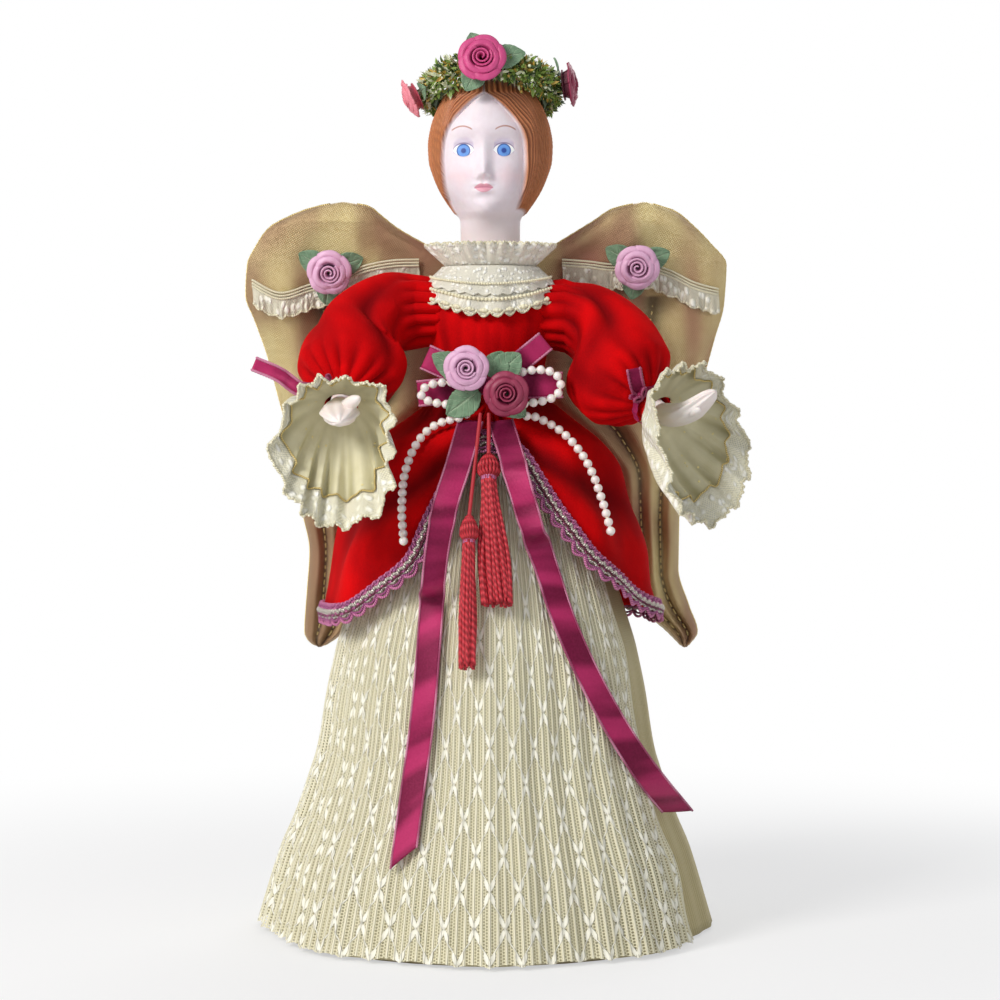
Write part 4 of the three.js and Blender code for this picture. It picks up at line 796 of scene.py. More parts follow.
def leaf_finish():
    """Stiffened green cloth. Pattern: -1 to 1 across the leaf and 0 to 1 along it."""
    f = Finish("leaf_cloth", roughness=0.75)
    across, along = f.pattern()
    rib = across.abs().under(0.03, 0.12)
    veins = ((along * 6.0 - across.abs() * 1.4).from_whole()).under(0.04, 0.12)
    mottle = f.noise(2.0, detail=4)
    ground = f.tint("#4B6B50", "#8FAE8C", mottle)
    f.colour(f.tint(ground, "#A9C2A0", rib.most(veins * 0.5) * 0.6))
    f.relief(mottle * 0.3 - rib * 0.25 - veins * 0.12)
    return f.material


def sprig_finish(name, deep, bright, roughness=0.6):
    f = Finish(name, roughness=roughness)
    speck = f.noise(0.8)
    f.colour(f.tint(deep, bright, speck)).relief(speck * 0.1)
    return f.material


def pearl_finish():
    f = Finish("pearl_bead", roughness=0.22, coat_weight=0.7, coat_roughness=0.12, subsurface_weight=0.15,
               subsurface_scale=0.002, sheen_weight=0.3, sheen_tint="#FFDFE6")
    cloud = f.noise(1.4)
    f.colour(f.tint("#EFE2DE", "#FCF6F0", cloud)).relief(cloud * 0.02)
    return f.material


def thread_finish(name, deep, bright, metallic=0.0, twist=1.5, roughness=0.6):
    """Twisted thread. Pattern: 0 to 1 round it and millimetres along it."""
    f = Finish(name, roughness=roughness, metallic=metallic, sheen_weight=0.3, sheen_tint=bright)
    around, along = f.pattern()
    ply = ((around * 2.0 + along * twist) * TURN).sin() * 0.5 + 0.5
    f.colour(f.tint(deep, bright, ply)).relief(ply * 0.16)
    return f.material


# Camera, at the photograph's straight view of the front

PIXEL = 0.3144
PHOTO_MIDDLE = (3.1, 138.3)
VIEW_DISTANCE = 880
VIEW_RISE = math.radians(2.2)
NEAR_PLANE = 22


def make_camera():
    lens = bpy.data.cameras.new("camera")
    lens.sensor_width = 36
    half = PIXEL * 1000 / 2
    lens.lens = lens.sensor_width / 2 * VIEW_DISTANCE / half
    camera = linked("camera", lens)
    aim = Vector((PHOTO_MIDDLE[0], -NEAR_PLANE, PHOTO_MIDDLE[1]))
    back = Vector((0, -math.cos(VIEW_RISE), math.sin(VIEW_RISE)))
    camera.location = (aim + back * VIEW_DISTANCE) * MM
    camera.rotation_euler = (-back).to_track_quat("-Z", "Y").to_euler()
    bpy.context.scene.camera = camera


make_camera()

# Motifs of the skirt's lace
RIBS = 180
MOTIFS = 48
RIBS_PER_MOTIF = RIBS / MOTIFS
MOTIF_WIDTH = 9.3
MOTIF_DROP = 11.0
LEAF_MIDDLE = 2.2

# Places on the face
FACE_MIDDLE = -2.05
EYE_APART = 6.4
EYE_HEIGHT = 248.5
BROW_HEIGHT = 255.2
LIP_HEIGHT = 236.9

BOARD = board_finish()
MUSLIN = muslin_finish()
STEEL = steel_finish()
LINING_SATIN = lining_finish()
SKIRT_LACE = skirt_lace_finish()
RED_VELVET = velvet_finish()
BISQUE = bisque_finish()
PLAIN_BISQUE = hand_finish()
LAME = lame_finish()
CREAM_LACE = fine_lace_finish("cream_lace", "#FFFDF2", "#DDD6B8", 0.85)
COLLAR_LACE = fine_lace_finish("collar_lace", "#FFFEF8", "#E4DEC8", 0.55)
CUFF_LACE = fine_lace_finish("cuff_lace", "#FFFEF6", "#D8D3B0", 0.3)
TULLE = tulle_finish()
WINE_SATIN = satin_finish("wine_satin", "#4A0622", "#B23062", "#E86A96")
PICOT = satin_finish("picot_edge", "#8A2E54", "#D08AA6", "#F0B0C8", 0.5)
PINK_PETAL = petal_finish("pink_petal", "#8E4276", "#E8B8D6")
WINE_PETAL = petal_finish("wine_petal", "#3A0416", "#962C4E")
ROSE_PETAL = petal_finish("rose_petal", "#7C0F40", "#D24A86")
CORAL_PETAL = petal_finish("coral_petal", "#A83348", "#EE8C9A")
LEAF_CLOTH = leaf_finish()
SPRIGS = [
    sprig_finish("green_sprig", "#4F6B26", "#9DB858"),
    sprig_finish("pale_sprig", "#B9C690", "#F4F4DE"),
    sprig_finish("gold_sprig", "#A87E26", "#EBCB6A", 0.35),
    sprig_finish("dark_sprig", "#1E3318", "#47652E"),
]
PEARL = pearl_finish()
CRIMSON = thread_finish("crimson_thread", "#8A0C1A", "#CE323E", twist=0.45)
GIMP_PINK = thread_finish("pink_gimp", "#8E3A68", "#E690BC", 0.1)
GIMP_MAUVE = thread_finish("mauve_gimp", "#6E2450", "#B8669A", 0.1)
GIMP_SILVER = thread_finish("silver_gimp", "#6E655E", "#E2DACE", 0.6, 1.5, 0.35)
GIMP_WINE = thread_finish("wine_gimp", "#2C0716", "#6E1A38", 0.1)
GOLD_THREAD = thread_finish("gold_thread", "#A98A45", "#F4E2A0", 0.5, 1.5, 0.35)
CREAM_THREAD = thread_finish("cream_thread", "#D8CFA6", "#FDF8E0")


# Cords: the pearl strands and the lower tassel's cord

PEARL_RADIUS = 1.4
PEARL_PITCH = 2.9
PEARL_THREAD = 0.45
RIGHT_PEARL_ROUTE = [
    (-5, -23.8, 174.8), (-9.5, -23.8, 175.2), (-14.5, -23.8, 175.2), (-19, -23.8, 174.4),
    (-21.6, -23.8, 172.4), (-21.2, -23.8, 170.4), (-18.6, -23.8, 169.2), (-14.8, -23.8, 168.5),
    (-10.6, -23.8, 168.1), (-7.6, -23.8, 167.4), (-7.2, -23.9, 165.6), (-9, -24.8, 164.4),
    (-13, -23.8, 163.4), (-17.2, -22.2, 161.8), (-20.8, -22.3, 159), (-23.6, -23.9, 155),
    (-25.6, -26.2, 150.4), (-26.9, -28.9, 145.2), (-27.3, -32.1, 139.9), (-27.3, -35.8, 134.2),
    (-26.9, -38.1, 129.8), (-26.5, -41.7, 125.3),
]
LEFT_PEARL_ROUTE = [
    (6, -23.8, 177.5), (10.5, -23.8, 178.6), (15, -23.8, 179.2), (19, -23.8, 178.6),
    (21.6, -23.8, 176.6), (22.1, -23.8, 173.8), (20.8, -23.8, 171.2), (18, -23.8, 169.8),
    (14.5, -23.8, 169), (11, -23.8, 168.6), (8.2, -23.8, 167.6), (8, -23.8, 165.8),
    (10, -23.2, 164.8), (14.2, -21.6, 164.4), (18.4, -20.9, 162.4), (22.2, -21.4, 160),
    (25.2, -22.1, 157.2), (28.2, -23.1, 153.6), (30.8, -24.4, 149.4), (32.7, -25.7, 145.2),
    (34.2, -27.3, 140.8), (35.6, -28.9, 136.4), (36.8, -30.3, 132), (37.9, -30.9, 127.6),
]


def curve_object(name, line, radius, body, material, replaces=()):
    """Round cord as a curve of one open spline."""
    data = bpy.data.curves.new(name, "CURVE")
    data.dimensions = "3D"
    data.bevel_depth = radius * MM
    data.bevel_resolution = 3
    data.use_fill_caps = True
    spline = data.splines.new("POLY")
    spline.points.add(len(line) - 1)
    for point, place in zip(spline.points, line):
        point.co = (*(np.asarray(place) * MM), 1)
    data.materials.append(material)
    obj = linked(name, data)
    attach(obj, body)
    if replaces:
        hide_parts(*replaces)
    return obj


def pearl_strand(name, places):
    route = Route(places)
    line = route.spaced(220)
    length = path_length(line)
    thread = curve_object(f"{name}_pearl_thread", line, PEARL_THREAD, "gown", CREAM_THREAD,
                          [f"{name}_pearl_strand"])
    beads = Shape()
    count = round(length / PEARL_PITCH)
    for spot in spaced(line, count * 2)[1::2]:
        beads.stamp(BALL, spot, PEARL_RADIUS)
    string = beads.make(f"{name}_pearls", "gown", PEARL)
    tuple(line[0] * MM)


pearl_strand("right", RIGHT_PEARL_ROUTE)
pearl_strand("left", LEFT_PEARL_ROUTE)

# Surfaces that the layers share

SKIRT_HEM_RADIUS = 73.4
SKIRT_HEM_LIFT = 0.8
SKIRT_TOP = CONE_HEIGHT - 0.5
SKIRT_FOLD = 1.6
SKIRT_FOLDS = 8
PLEATS = 36
OPEN_PLEATS = 5
OPENING = math.radians(62)
PLEAT_AT_HEM = 1.0
PLEAT_AT_WAIST = 0.35
LINING_GAP = 0.6
LACE_WAIST = CONE_TOP_RADIUS + SEAM * 2 + CLOTH + LINING_GAP + PLEAT_AT_WAIST + LACE
SKIRT_FLARE = Curve(
    (0, 1), (0.16, 0.868), (0.22, 0.79), (0.3, 0.72), (0.375, 0.668), (0.455, 0.642),
    (0.535, 0.594), (0.606, 0.54), (0.7, 0.46), (0.79, 0.37), (0.9, 0.205), (0.96, 0.092), (1, 0),
)
SKIRT_ROWS = np.array([0, 0.15, 0.34, 0.56, 0.8, 1])
BUST_HEIGHT = 47
BUST_HALF_WIDTH = 21.2
BUST_HALF_DEPTH = 13.6
BUST_WIDTH = Curve((0, 0.5), (0.13, 0.67), (0.32, 0.735), (0.53, 0.86), (0.7, 1), (0.85, 0.88), (1, 0.595))
BUST_DEPTH = Curve((0, 0.75), (0.13, 0.94), (0.32, 0.97), (0.53, 1), (0.7, 0.94), (0.85, 0.81), (1, 0.72))
BUST_TOP = CONE_HEIGHT + BUST_HEIGHT
PEPLUM_TOP = 170.5
PEPLUM_HEM = 101.5
PEPLUM_APEX = 158
PEPLUM_RADIUS = 53.2
PEPLUM_LIFT = 3.2
PEPLUM_FOLD = 1.5
PEPLUM_FOLDS = 10
PEPLUM_COLUMNS = 40
PEPLUM_FLARE = Curve(
    (0, 0), (0.035, 0.13), (0.11, 0.34), (0.2, 0.54), (0.33, 0.72), (0.48, 0.83), (0.62, 0.9),
    (0.82, 0.965), (1, 1),
)
RIGHT_HEM = Curve(
    (0, 1), (0.07, 0.97), (0.133, 0.6), (0.17, 0.33), (0.235, 0.19), (0.34, 0.03), (0.5, 0), (1, 0),
)
LEFT_HEM = Curve(
    (0, 1), (0.09, 0.93), (0.178, 0.55), (0.23, 0.34), (0.28, 0.24), (0.42, 0.05), (0.55, 0), (1, 0),
)
FRONT_REACH = math.pi * 0.62
FRONT_FULLNESS = 0.24
BRAID_WIDTH = 6
BRAID_WALL = 1.1
BRAID_CLEARANCE = 0.9


def skirt_radius(bearing, z):
    share = np.clip(z / SKIRT_TOP, 0, 1)
    flare = np.interp(share, SKIRT_ROWS, SKIRT_FLARE(SKIRT_ROWS)) * 0.5 + SKIRT_FLARE(share) * 0.5
    fold = SKIRT_FOLD * flare * np.sin(SKIRT_FOLDS * bearing + QUARTER)
    return mix(LACE_WAIST, SKIRT_HEM_RADIUS, flare) + fold


def pleat_at(z):
    return mix(PLEAT_AT_HEM, PLEAT_AT_WAIST, np.clip(z / SKIRT_TOP, 0, 1))


def lace_outer(bearing, z):
    return skirt_radius(bearing, z) + pleat_at(z)


def bust_radius(bearing, z):
    share = (z - CONE_HEIGHT) / BUST_HEIGHT
    across = BUST_HALF_WIDTH * BUST_WIDTH(share)
    deep = BUST_HALF_DEPTH * BUST_DEPTH(share)
    return across * deep / np.hypot(deep * np.sin(bearing), across * np.cos(bearing))


def bodice_radius(bearing, z):
    return bust_radius(bearing, z) + SEAM + VELVET


def turned(bearing):
    return np.arctan2(np.sin(bearing), np.cos(bearing))


def hem_height(bearing):
    b = turned(bearing)
    share = np.abs(b) / math.pi
    return mix(PEPLUM_HEM, PEPLUM_APEX, np.where(b < 0, RIGHT_HEM(share), LEFT_HEM(share)))


def peplum_radius(bearing, z):
    share = np.clip((PEPLUM_TOP - z) / (PEPLUM_TOP - PEPLUM_HEM), 0, 1)
    waist = bodice_radius(bearing, PEPLUM_TOP) + SEAM + VELVET
    full = mix(waist, PEPLUM_RADIUS, PEPLUM_FLARE(share))
    fullness = mix(FRONT_FULLNESS, 1, ease(np.abs(turned(bearing)) / FRONT_REACH))
    skirt = lace_outer(bearing, np.minimum(z, SKIRT_TOP)) + VELVET
    close = np.maximum(skirt + PEPLUM_LIFT * ease(share * PEPLUM_COLUMNS), waist)
    fold = PEPLUM_FOLD * fullness * ease(share * 3) * np.sin(PEPLUM_FOLDS * bearing)
    return mix(np.minimum(close, full), full, fullness) + fold


def depth_of(radius_at, x, z):
    """How far forward a surface reaches at a place seen from the front, and its bearing there."""
    bearing = np.zeros(np.broadcast(x, z).shape)
    for _ in range(8):
        bearing = np.arcsin(np.clip(x / radius_at(bearing, z), -1, 1))
    return radius_at(bearing, z) * np.cos(bearing), bearing


def trimmed_radius(bearing, z):
    return peplum_radius(bearing, z) + BRAID_CLEARANCE + BRAID_WALL


def front_depth(x, z):
    skirt, _ = depth_of(lace_outer, x, np.minimum(z, SKIRT_TOP))
    peplum, bearing = depth_of(trimmed_radius, x, np.minimum(z, PEPLUM_TOP))
    beside = BRAID_WIDTH / peplum
    hem = np.minimum.reduce([hem_height(bearing + step) for step in (-beside, 0, beside)])
    return np.where(z > hem - BRAID_WIDTH, np.maximum(skirt, peplum), skirt)


# Base cone and the pieces inside keep their shapes and get finishes

def refinish(node, material):
    obj = frame["nodes"][node]
    obj.data.materials.clear()
    obj.data.materials.append(material)


refinish("base_cone", BOARD)
refinish("stuffed_torso", MUSLIN)
for wire in ("shoulder_wire", "right_arm_wire", "left_arm_wire", "upper_wing_wire", "lower_wing_wire"):
    refinish(wire, STEEL)
refinish("wreath_wire", SPRIGS[3])


# Skirts

def skirt_lining():
    u, v = grid(288, 60)
    bearing = u * TURN
    z = mix(SKIRT_TOP, SKIRT_HEM_LIFT, v)
    drop = pleat_at(z) + LACE + LINING_GAP
    crease = 0.25 * v * np.sin(PLEATS * bearing) + 0.3 * v * ripple(u * 60, v * 6, 9, 3)
    radius = skirt_radius(bearing, z) - drop - 0.45 + crease
    points = polar(radius, bearing, z)
    pattern = np.stack([u * 140, v * 170], -1)
    cloth = sheet_piece("lining", "gown", points, LINING_SATIN, ["skirt_lining"], pattern, wall=CLOTH * 0.8)
    declare_cloth(points)


def lace_skirt():
    ribs = RIBS * (PLEATS - OPEN_PLEATS) / PLEATS
    start = OPENING + OPEN_PLEATS * TURN / PLEATS
    sweep = TURN * (PLEATS - OPEN_PLEATS) / PLEATS
    u, v = grid(round(ribs * 4), 84)
    bearing = start + sweep * u
    scallop = 0.9 * np.abs(np.sin(bearing * MOTIFS / 2))
    z = mix(SKIRT_TOP, SKIRT_HEM_LIFT + scallop, v)
    depth = pleat_at(z)
    pleat = depth * 0.6 * np.cos(PLEATS * bearing) + depth * 0.36 * np.cos(RIBS * bearing)
    edge = 0.8 * ease((np.minimum(u, 1 - u) * -60) + 1) * np.sin(v * 31)
    radius = skirt_radius(bearing, z) + pleat + edge * v
    points = polar(radius, bearing, z)
    down = np.concatenate([np.zeros((u.shape[0], 1)),
                           np.cumsum(np.linalg.norm(np.diff(points, axis=1), axis=-1), 1)], 1)
    pattern = np.stack([bearing * RIBS / TURN, down], -1)
    cloth = sheet_piece("lace_overskirt", "gown", points, SKIRT_LACE, ["lace_skirt"], pattern, loop=False)
    declare_cloth(points)


skirt_lining()
lace_skirt()


# Bodice

BODICE_GATHERS = 22


def bodice():
    u, v = grid(200, 60)
    bearing = u * TURN
    z = mix(CONE_HEIGHT + BUST_HEIGHT * 0.03, BUST_TOP, v)
    near_waist = (1 - ease(v * 2.2)) * 0.45 + 0.1
    gathers = near_waist * np.sin(BODICE_GATHERS * bearing + 0.8 * np.sin(5 * bearing))
    crease = 0.3 * ripple(bearing * 16, z, 17, 5) * np.sin(v * math.pi)
    points = polar(bodice_radius(bearing, z) + gathers * 0.6 + crease, bearing, z)
    cloth = sheet_piece("velvet_bodice", "gown", points, RED_VELVET, ["bodice"], wall=VELVET * 0.9)
    # Painted shade: darker in the hollows of the gathers, and in bands down both sides of the bodice where it
    # turns from the light.
    valley = np.clip(-gathers * 1.6 + 0.35 * swell(np.abs(turned(bearing)), 0.95, 0.22), 0, 1)
    paint(cloth, "crease", valley[:-1])
    declare_cloth(points)


bodice()


# Shoulder head

NECK_HEIGHT = 52
HEAD_HEIGHT = 112
HEAD_HALF_WIDTH = 19.6
HEAD_HALF_DEPTH = 19.4
HEAD_SET_BACK = 1.2
NAPE_FRONT = 230.5
NAPE_BACK = 228.5
LOCK_WIDTH = 1.5
HAIR_INSET = 1.5
# Share of the head's height, then its width, its depth in front and its depth behind
HEAD_ROWS = [
    (0, 0.52, 0.45, 0.55), (0.07, 0.487, 0.44, 0.55), (0.16, 0.49, 0.46, 0.57), (0.215, 0.59, 0.62, 0.7),
    (0.27, 0.71, 0.76, 0.84), (0.335, 0.83, 0.82, 0.96), (0.41, 0.925, 0.83, 1.05), (0.49, 0.99, 0.81, 1.12),
    (0.57, 1, 0.83, 1.14), (0.66, 0.965, 0.86, 1.1), (0.755, 0.87, 0.83, 0.98), (0.835, 0.73, 0.73, 0.82),
    (0.91, 0.54, 0.55, 0.61), (0.965, 0.3, 0.31, 0.34), (1, 0.09, 0.09, 0.09),
]
HEAD_WIDTH, HEAD_FRONT, HEAD_BACK = [Curve(*[(row[0], row[k]) for row in HEAD_ROWS]) for k in (1, 2, 3)]
FACE_HALF_WIDTH = Curve(
    (228, 9.8), (231, 11.2), (235, 12.4), (240, 13.2), (246, 13.6), (251, 13.3), (255, 12.2),
    (259, 9.6), (262.5, 6.2), (265.5, 2.8), (267.4, 0.2), (270, 0),
)
NOSE_LINE = Curve((73.4, 0), (75, 1.8), (76.5, 3.3), (78.6, 2.6), (82, 1.5), (85, 0.8), (88, 0.4), (92, 0))


def face_relief(x, height):
    """How far the face stands out, at a place from its middle and a height above the cone."""
    side = np.abs(x)
    nose = NOSE_LINE(height) * swell(x, 0, mix(2.2, 1.9, swell(height, 76, 2.2)))
    nostril = 0.95 * swell(side, 2.0, 0.85) * swell(height, 75.4, 1.1)
    socket = -1.35 * swell(side, 5.7, 3.3) * swell(height, 84.4, 3.0)
    eyeball = 0.95 * swell(side, EYE_APART, 2.4) * swell(height, 83.3, 2.1)
    lid = 0.3 * swell(height, 86.2, 0.55) * swell(side, EYE_APART, 2.9)
    brow = 0.75 * swell(height, 91, 3.4)
    upper_lip = 0.85 * swell(side, 0.9, 1.9) * swell(height, 72.9, 0.75)
    lower_lip = 0.95 * swell(x, 0, 2.2) * swell(height, 70.7, 0.85)
    parting = -0.3 * swell(x, 0, 2.6) * swell(height, 71.8, 0.35)
    groove = -0.25 * swell(x, 0, 0.6) * swell(height, 74.2, 0.8)
    hollow = -0.55 * swell(x, 0, 3.4) * swell(height, 68.3, 1.3)
    chin = 3.0 * swell(x, 0, 5.4) * swell(height, 64.2, 4.0)
    cheek = 0.55 * swell(side, 8.2, 4.0) * swell(height, 75, 5)
    upper = nose + nostril + socket + eyeball + lid + brow
    return upper + upper_lip + lower_lip + parting + groove + hollow + chin + cheek


def head_surface(bearing, z):
    """Points of the head, with how much of each is hair and how its locks are combed, which also gives the
    painted shade in the hair's grooves.
    """
    height = z - CONE_HEIGHT
    share = np.clip((height - NECK_HEIGHT) / (HEAD_HEIGHT - NECK_HEIGHT), 0, 1)
    across = HEAD_HALF_WIDTH * HEAD_WIDTH(share)
    deep = HEAD_HALF_DEPTH * np.where(np.cos(bearing) > 0, HEAD_FRONT(share), HEAD_BACK(share))
    on_plate = ease((height - BUST_HEIGHT) / (NECK_HEIGHT - BUST_HEIGHT))
    bust = polar(bust_radius(bearing, np.minimum(z, BUST_TOP)) - SEAM * ease((z - 205) / 7), bearing, z)
    x = across * np.sin(bearing)
    y = -deep * np.cos(bearing) + HEAD_SET_BACK
    front = ease(np.cos(bearing) * 2)
    aside = x - FACE_MIDDLE
    face_half = FACE_HALF_WIDTH(z)
    border = np.where(np.cos(bearing) > 0.12, np.abs(aside) - face_half, 6)
    around = np.abs(turned(bearing))
    nape = mix(NAPE_FRONT, NAPE_BACK, ease((around - 0.9) / 1.2))
    inside = np.minimum(border, z - nape)
    hair = ease((inside + 0.3) / 0.7)
    strand = mix(border, 15 * around + 0.25 * (z - 245), ease((around - 0.7) / 0.6))
    wave = strand * TURN / LOCK_WIDTH + 1.7 * ripple(x, z, 15, 8)
    groove = 0.5 + 0.5 * np.sin(wave) * (0.75 + 0.25 * np.sin(wave * 0.37 + 1.3))
    parted = swell(aside, 0, 0.7) * ease((z - 265) / 3)
    relief = face_relief(aside, height) * front
    within = np.maximum(face_half ** 2 - aside ** 2, 0) / (2 * np.maximum(face_half, 2))
    inset = HAIR_INSET * (1 - hair) * np.exp(-np.maximum(within, nape - z) / 3)
    out = polar(1, bearing, 0)
    lift = hair * (0.25 + 0.95 * (groove - 0.75)) - inset * ease((share - 0.16) / 0.1) - 0.6 * parted * hair
    head = np.stack([x, y - relief, z], -1) + out * lift[..., None]
    points = mix(bust, head, on_plate[..., None])
    return points, hair * ease((share - 0.15) / 0.03), groove * (1 - parted)


def shoulder_head():
    heights = np.concatenate([
        np.linspace(CONE_HEIGHT + BUST_HEIGHT * 0.85 + SEAM, 217, 14), np.linspace(217.8, 227, 12),
        np.linspace(227.4, 262, 118), np.linspace(262.5, CONE_HEIGHT + HEAD_HEIGHT, 44),
    ])
    t = np.linspace(0, TURN, 421)
    t, z = np.meshgrid(t, heights, indexing="ij")
    bearing = t - 0.5 * np.sin(t)
    points, hair, groove = head_surface(bearing, z)
    shape = Shape()
    shape.sheet(points, loop=True, caps=True)
    head = shape.make("bisque_head", "gown", BISQUE, ["shoulder_head"])
    paint(head, "hair", hair[:-1])
    # The groove value darkens the hair's grooves and parting in its material, as painted shade.
    paint(head, "groove", groove[:-1])


shoulder_head()


# Peplum

PEPLUM_GATHERS = 40


def drape(bearing, z):
    """Swags that run out and down from the bow, kept off the hem and the waist, and how much painted shade
    falls in each.
    """
    share = np.clip((PEPLUM_TOP - z) / (PEPLUM_TOP - PEPLUM_HEM), 0, 1)
    b = turned(bearing)
    angle = np.arctan2(share * 1.15 + 0.02, np.abs(b) + 0.02)
    reach = np.hypot(share * 1.15, b)
    swag = np.sin(angle * 15 + 2.2 * reach + np.where(b < 0, 0.6, 1.7))
    front = 1 - ease((np.abs(b) - 1.2) / 0.8)
    near_hem = ease((z - hem_height(bearing)) / 8)
    gather = ease(reach / 0.3)
    soft = ripple(b * 30, z, 34, 12)
    valley = (0.5 - 0.5 * swag) ** 1.5
    depth = near_hem * gather * (front * 3.2 * valley - 0.7 * soft + 0.2)
    # The second value is painted shade: in the swags' valleys at the front, and at random round the back.
    return depth, near_hem * gather * (front * valley + (1 - front) * 0.25 * (0.5 - 0.5 * soft))


def peplum():
    u, v = grid(360, 80)
    bearing = u * TURN
    z = mix(PEPLUM_TOP, hem_height(bearing), v)
    floor = lace_outer(bearing, np.minimum(z, SKIRT_TOP)) + 0.7
    depth, fold_shade = drape(bearing, z)
    radius = peplum_radius(bearing, z) - depth * ease(v * 6)
    waist = 0.5 * (1 - ease(v * 9)) * np.sin(PEPLUM_GATHERS * bearing)
    points = polar(np.where(v > 0.15, np.maximum(radius, floor), radius) + waist, bearing, z)
    cloth = sheet_piece("velvet_peplum", "gown", points, RED_VELVET, ["peplum"], wall=VELVET * 0.75)
    # Painted shade in the swags' valleys, read by the velvet as its crease attribute.
    paint(cloth, "crease", fold_shade[:-1])
    declare_cloth(points)


peplum()


# Braid along the peplum's hem

BRAID_PITCH = 5.4
BRAID_STEPS = 14


def hem_line():
    bearing = np.linspace(0, TURN, 1441)
    z = hem_height(bearing)
    return polar(peplum_radius(bearing, z), bearing, z)


def peplum_braid():
    line = hem_line()
    length = path_length(line)
    periods = round(length / BRAID_PITCH)
    steps = periods * BRAID_STEPS
    line = spaced(line, steps)[:-1]
    bearing = np.arctan2(line[:, 0], -line[:, 1])
    along = unit(np.roll(line, -1, 0) - np.roll(line, 1, 0))
    out = polar(1, bearing, 0)
    up = unit(np.cross(out, along))
    up = up * np.sign(up[:, 2:3])
    phase = np.arange(steps) / BRAID_STEPS * TURN

    def strand(across, lift):
        spot = line + up * np.broadcast_to(across, (steps,))[:, None]
        b = np.arctan2(spot[:, 0], -spot[:, 1])
        radius = peplum_radius(b, spot[:, 2]) + BRAID_CLEARANCE * 0.75 + lift
        return polar(radius, b, spot[:, 2])

    shape = Shape()
    shape.tube(strand(0.2 + 0 * phase, 0.25), 1.9, 8, 3, True, 0.22)
    for k, slot in ((0, 0), (1, 1)):
        turn_at = phase + k * math.pi
        shape.tube(strand(0.3 + 1.25 * np.sin(turn_at), 0.7 + 0.35 * np.cos(2 * turn_at + k * math.pi)),
                   0.5, 6, slot, True)
    twice = phase * 2
    opposite = twice + math.pi
    loop = np.abs(np.sin(phase / 2))
    cords = [
        (0.3 + 0.35 * np.sin(twice), 1.05 + 0.2 * np.cos(twice), 0.62, 2),
        (2.35 + 0.42 * np.sin(twice), 0.5 + 0.3 * np.cos(twice), 0.4, 0),
        (2.2 + 0.42 * np.sin(opposite), 0.5 + 0.3 * np.cos(opposite), 0.34, 1),
        (-1.7 - 2.1 * loop, 0.55 + 0.25 * np.sin(phase), 0.46, 0),
        (-1.5 - 1.15 * loop, 0.75 + 0.2 * np.cos(phase), 0.38, 1),
        (-1.35 + 0.3 * np.sin(twice), 0.8, 0.42, 2),
    ]
    for across, lift, radius, slot in cords:
        shape.tube(strand(across, lift), radius, 6, slot, True)
    shape.make("gimp_braid", "gown", [GIMP_PINK, GIMP_MAUVE, GIMP_SILVER, GIMP_WINE], ["peplum_braid"])


peplum_braid()


# Collar

COLLAR_TOP = BUST_TOP + SEAM
COLLAR_DROP = 14.6
COLLAR_SIDE_DROP = 7.6
COLLAR_LIFT = 3.4
COLLAR_SIDE_LIFT = 1.0
COLLAR_WAVES = 10
COLLAR_SCALLOPS = 26
RUFF_HEIGHT = 6.2
RUFF_FLARE = 6.4
RUFF_CLEARANCE = 1.6
RUFF_PICOTS = 90
RUFF_PICOT = 0.8


def collar_flat(bearing):
    return 1 - np.maximum(np.cos(bearing), 0) ** 1.2


def falling_point(bearing, v, out=0.0, scallop=0.0):
    z = COLLAR_TOP - v * (mix(COLLAR_DROP, COLLAR_SIDE_DROP, collar_flat(bearing)) + scallop)
    wave = 0.5 + 0.5 * np.sin(COLLAR_WAVES * bearing)
    lift = mix(COLLAR_LIFT, COLLAR_SIDE_LIFT, collar_flat(bearing)) * v * mix(0.55, 1, wave)
    return polar(bodice_radius(bearing, z) + SEAM * 2 + lift + out, bearing, z)


def ruff_point(bearing, v):
    wave = 0.5 + 0.5 * np.sin(COLLAR_WAVES * bearing)
    small = 0.8 * v * np.sin(COLLAR_WAVES * 3 * bearing + 1)
    flare = RUFF_FLARE * v * mix(0.7, 1, wave)
    radius = bust_radius(bearing, BUST_TOP) + RUFF_CLEARANCE + flare + small
    return polar(radius, bearing, COLLAR_TOP + SEAM + v * RUFF_HEIGHT)


def bead_row(shape, line, radius):
    """Small beads side by side along a closed line."""
    count = round(path_length(line) / (radius * 2.1))
    for spot in spaced(line, count)[:-1]:
        shape.stamp(SMALL_BALL, spot, radius)


def falling_ruffle():
    u, v = grid(360, 26)
    bearing = u * TURN
    scallop = 1.6 * np.abs(np.sin(bearing * COLLAR_SCALLOPS / 2)) * ease((v - 0.55) / 0.45)
    points = falling_point(bearing, v, 0.0, scallop)
    pattern = np.stack([bearing * 24, v * 15], -1)
    cloth = sheet_piece("falling_ruffle", "gown", points, COLLAR_LACE, ["collar_falling_ruffle"], pattern,
                        wall=LACE * 0.7, offset=1)
    second = falling_point(bearing, v * 0.62, 1.1, scallop * 0.7)
    upper = sheet_piece("upper_ruffle_layer", "gown", second, COLLAR_LACE, (), pattern,
                        wall=LACE * 0.6, offset=1)
    declare_cloth(points)


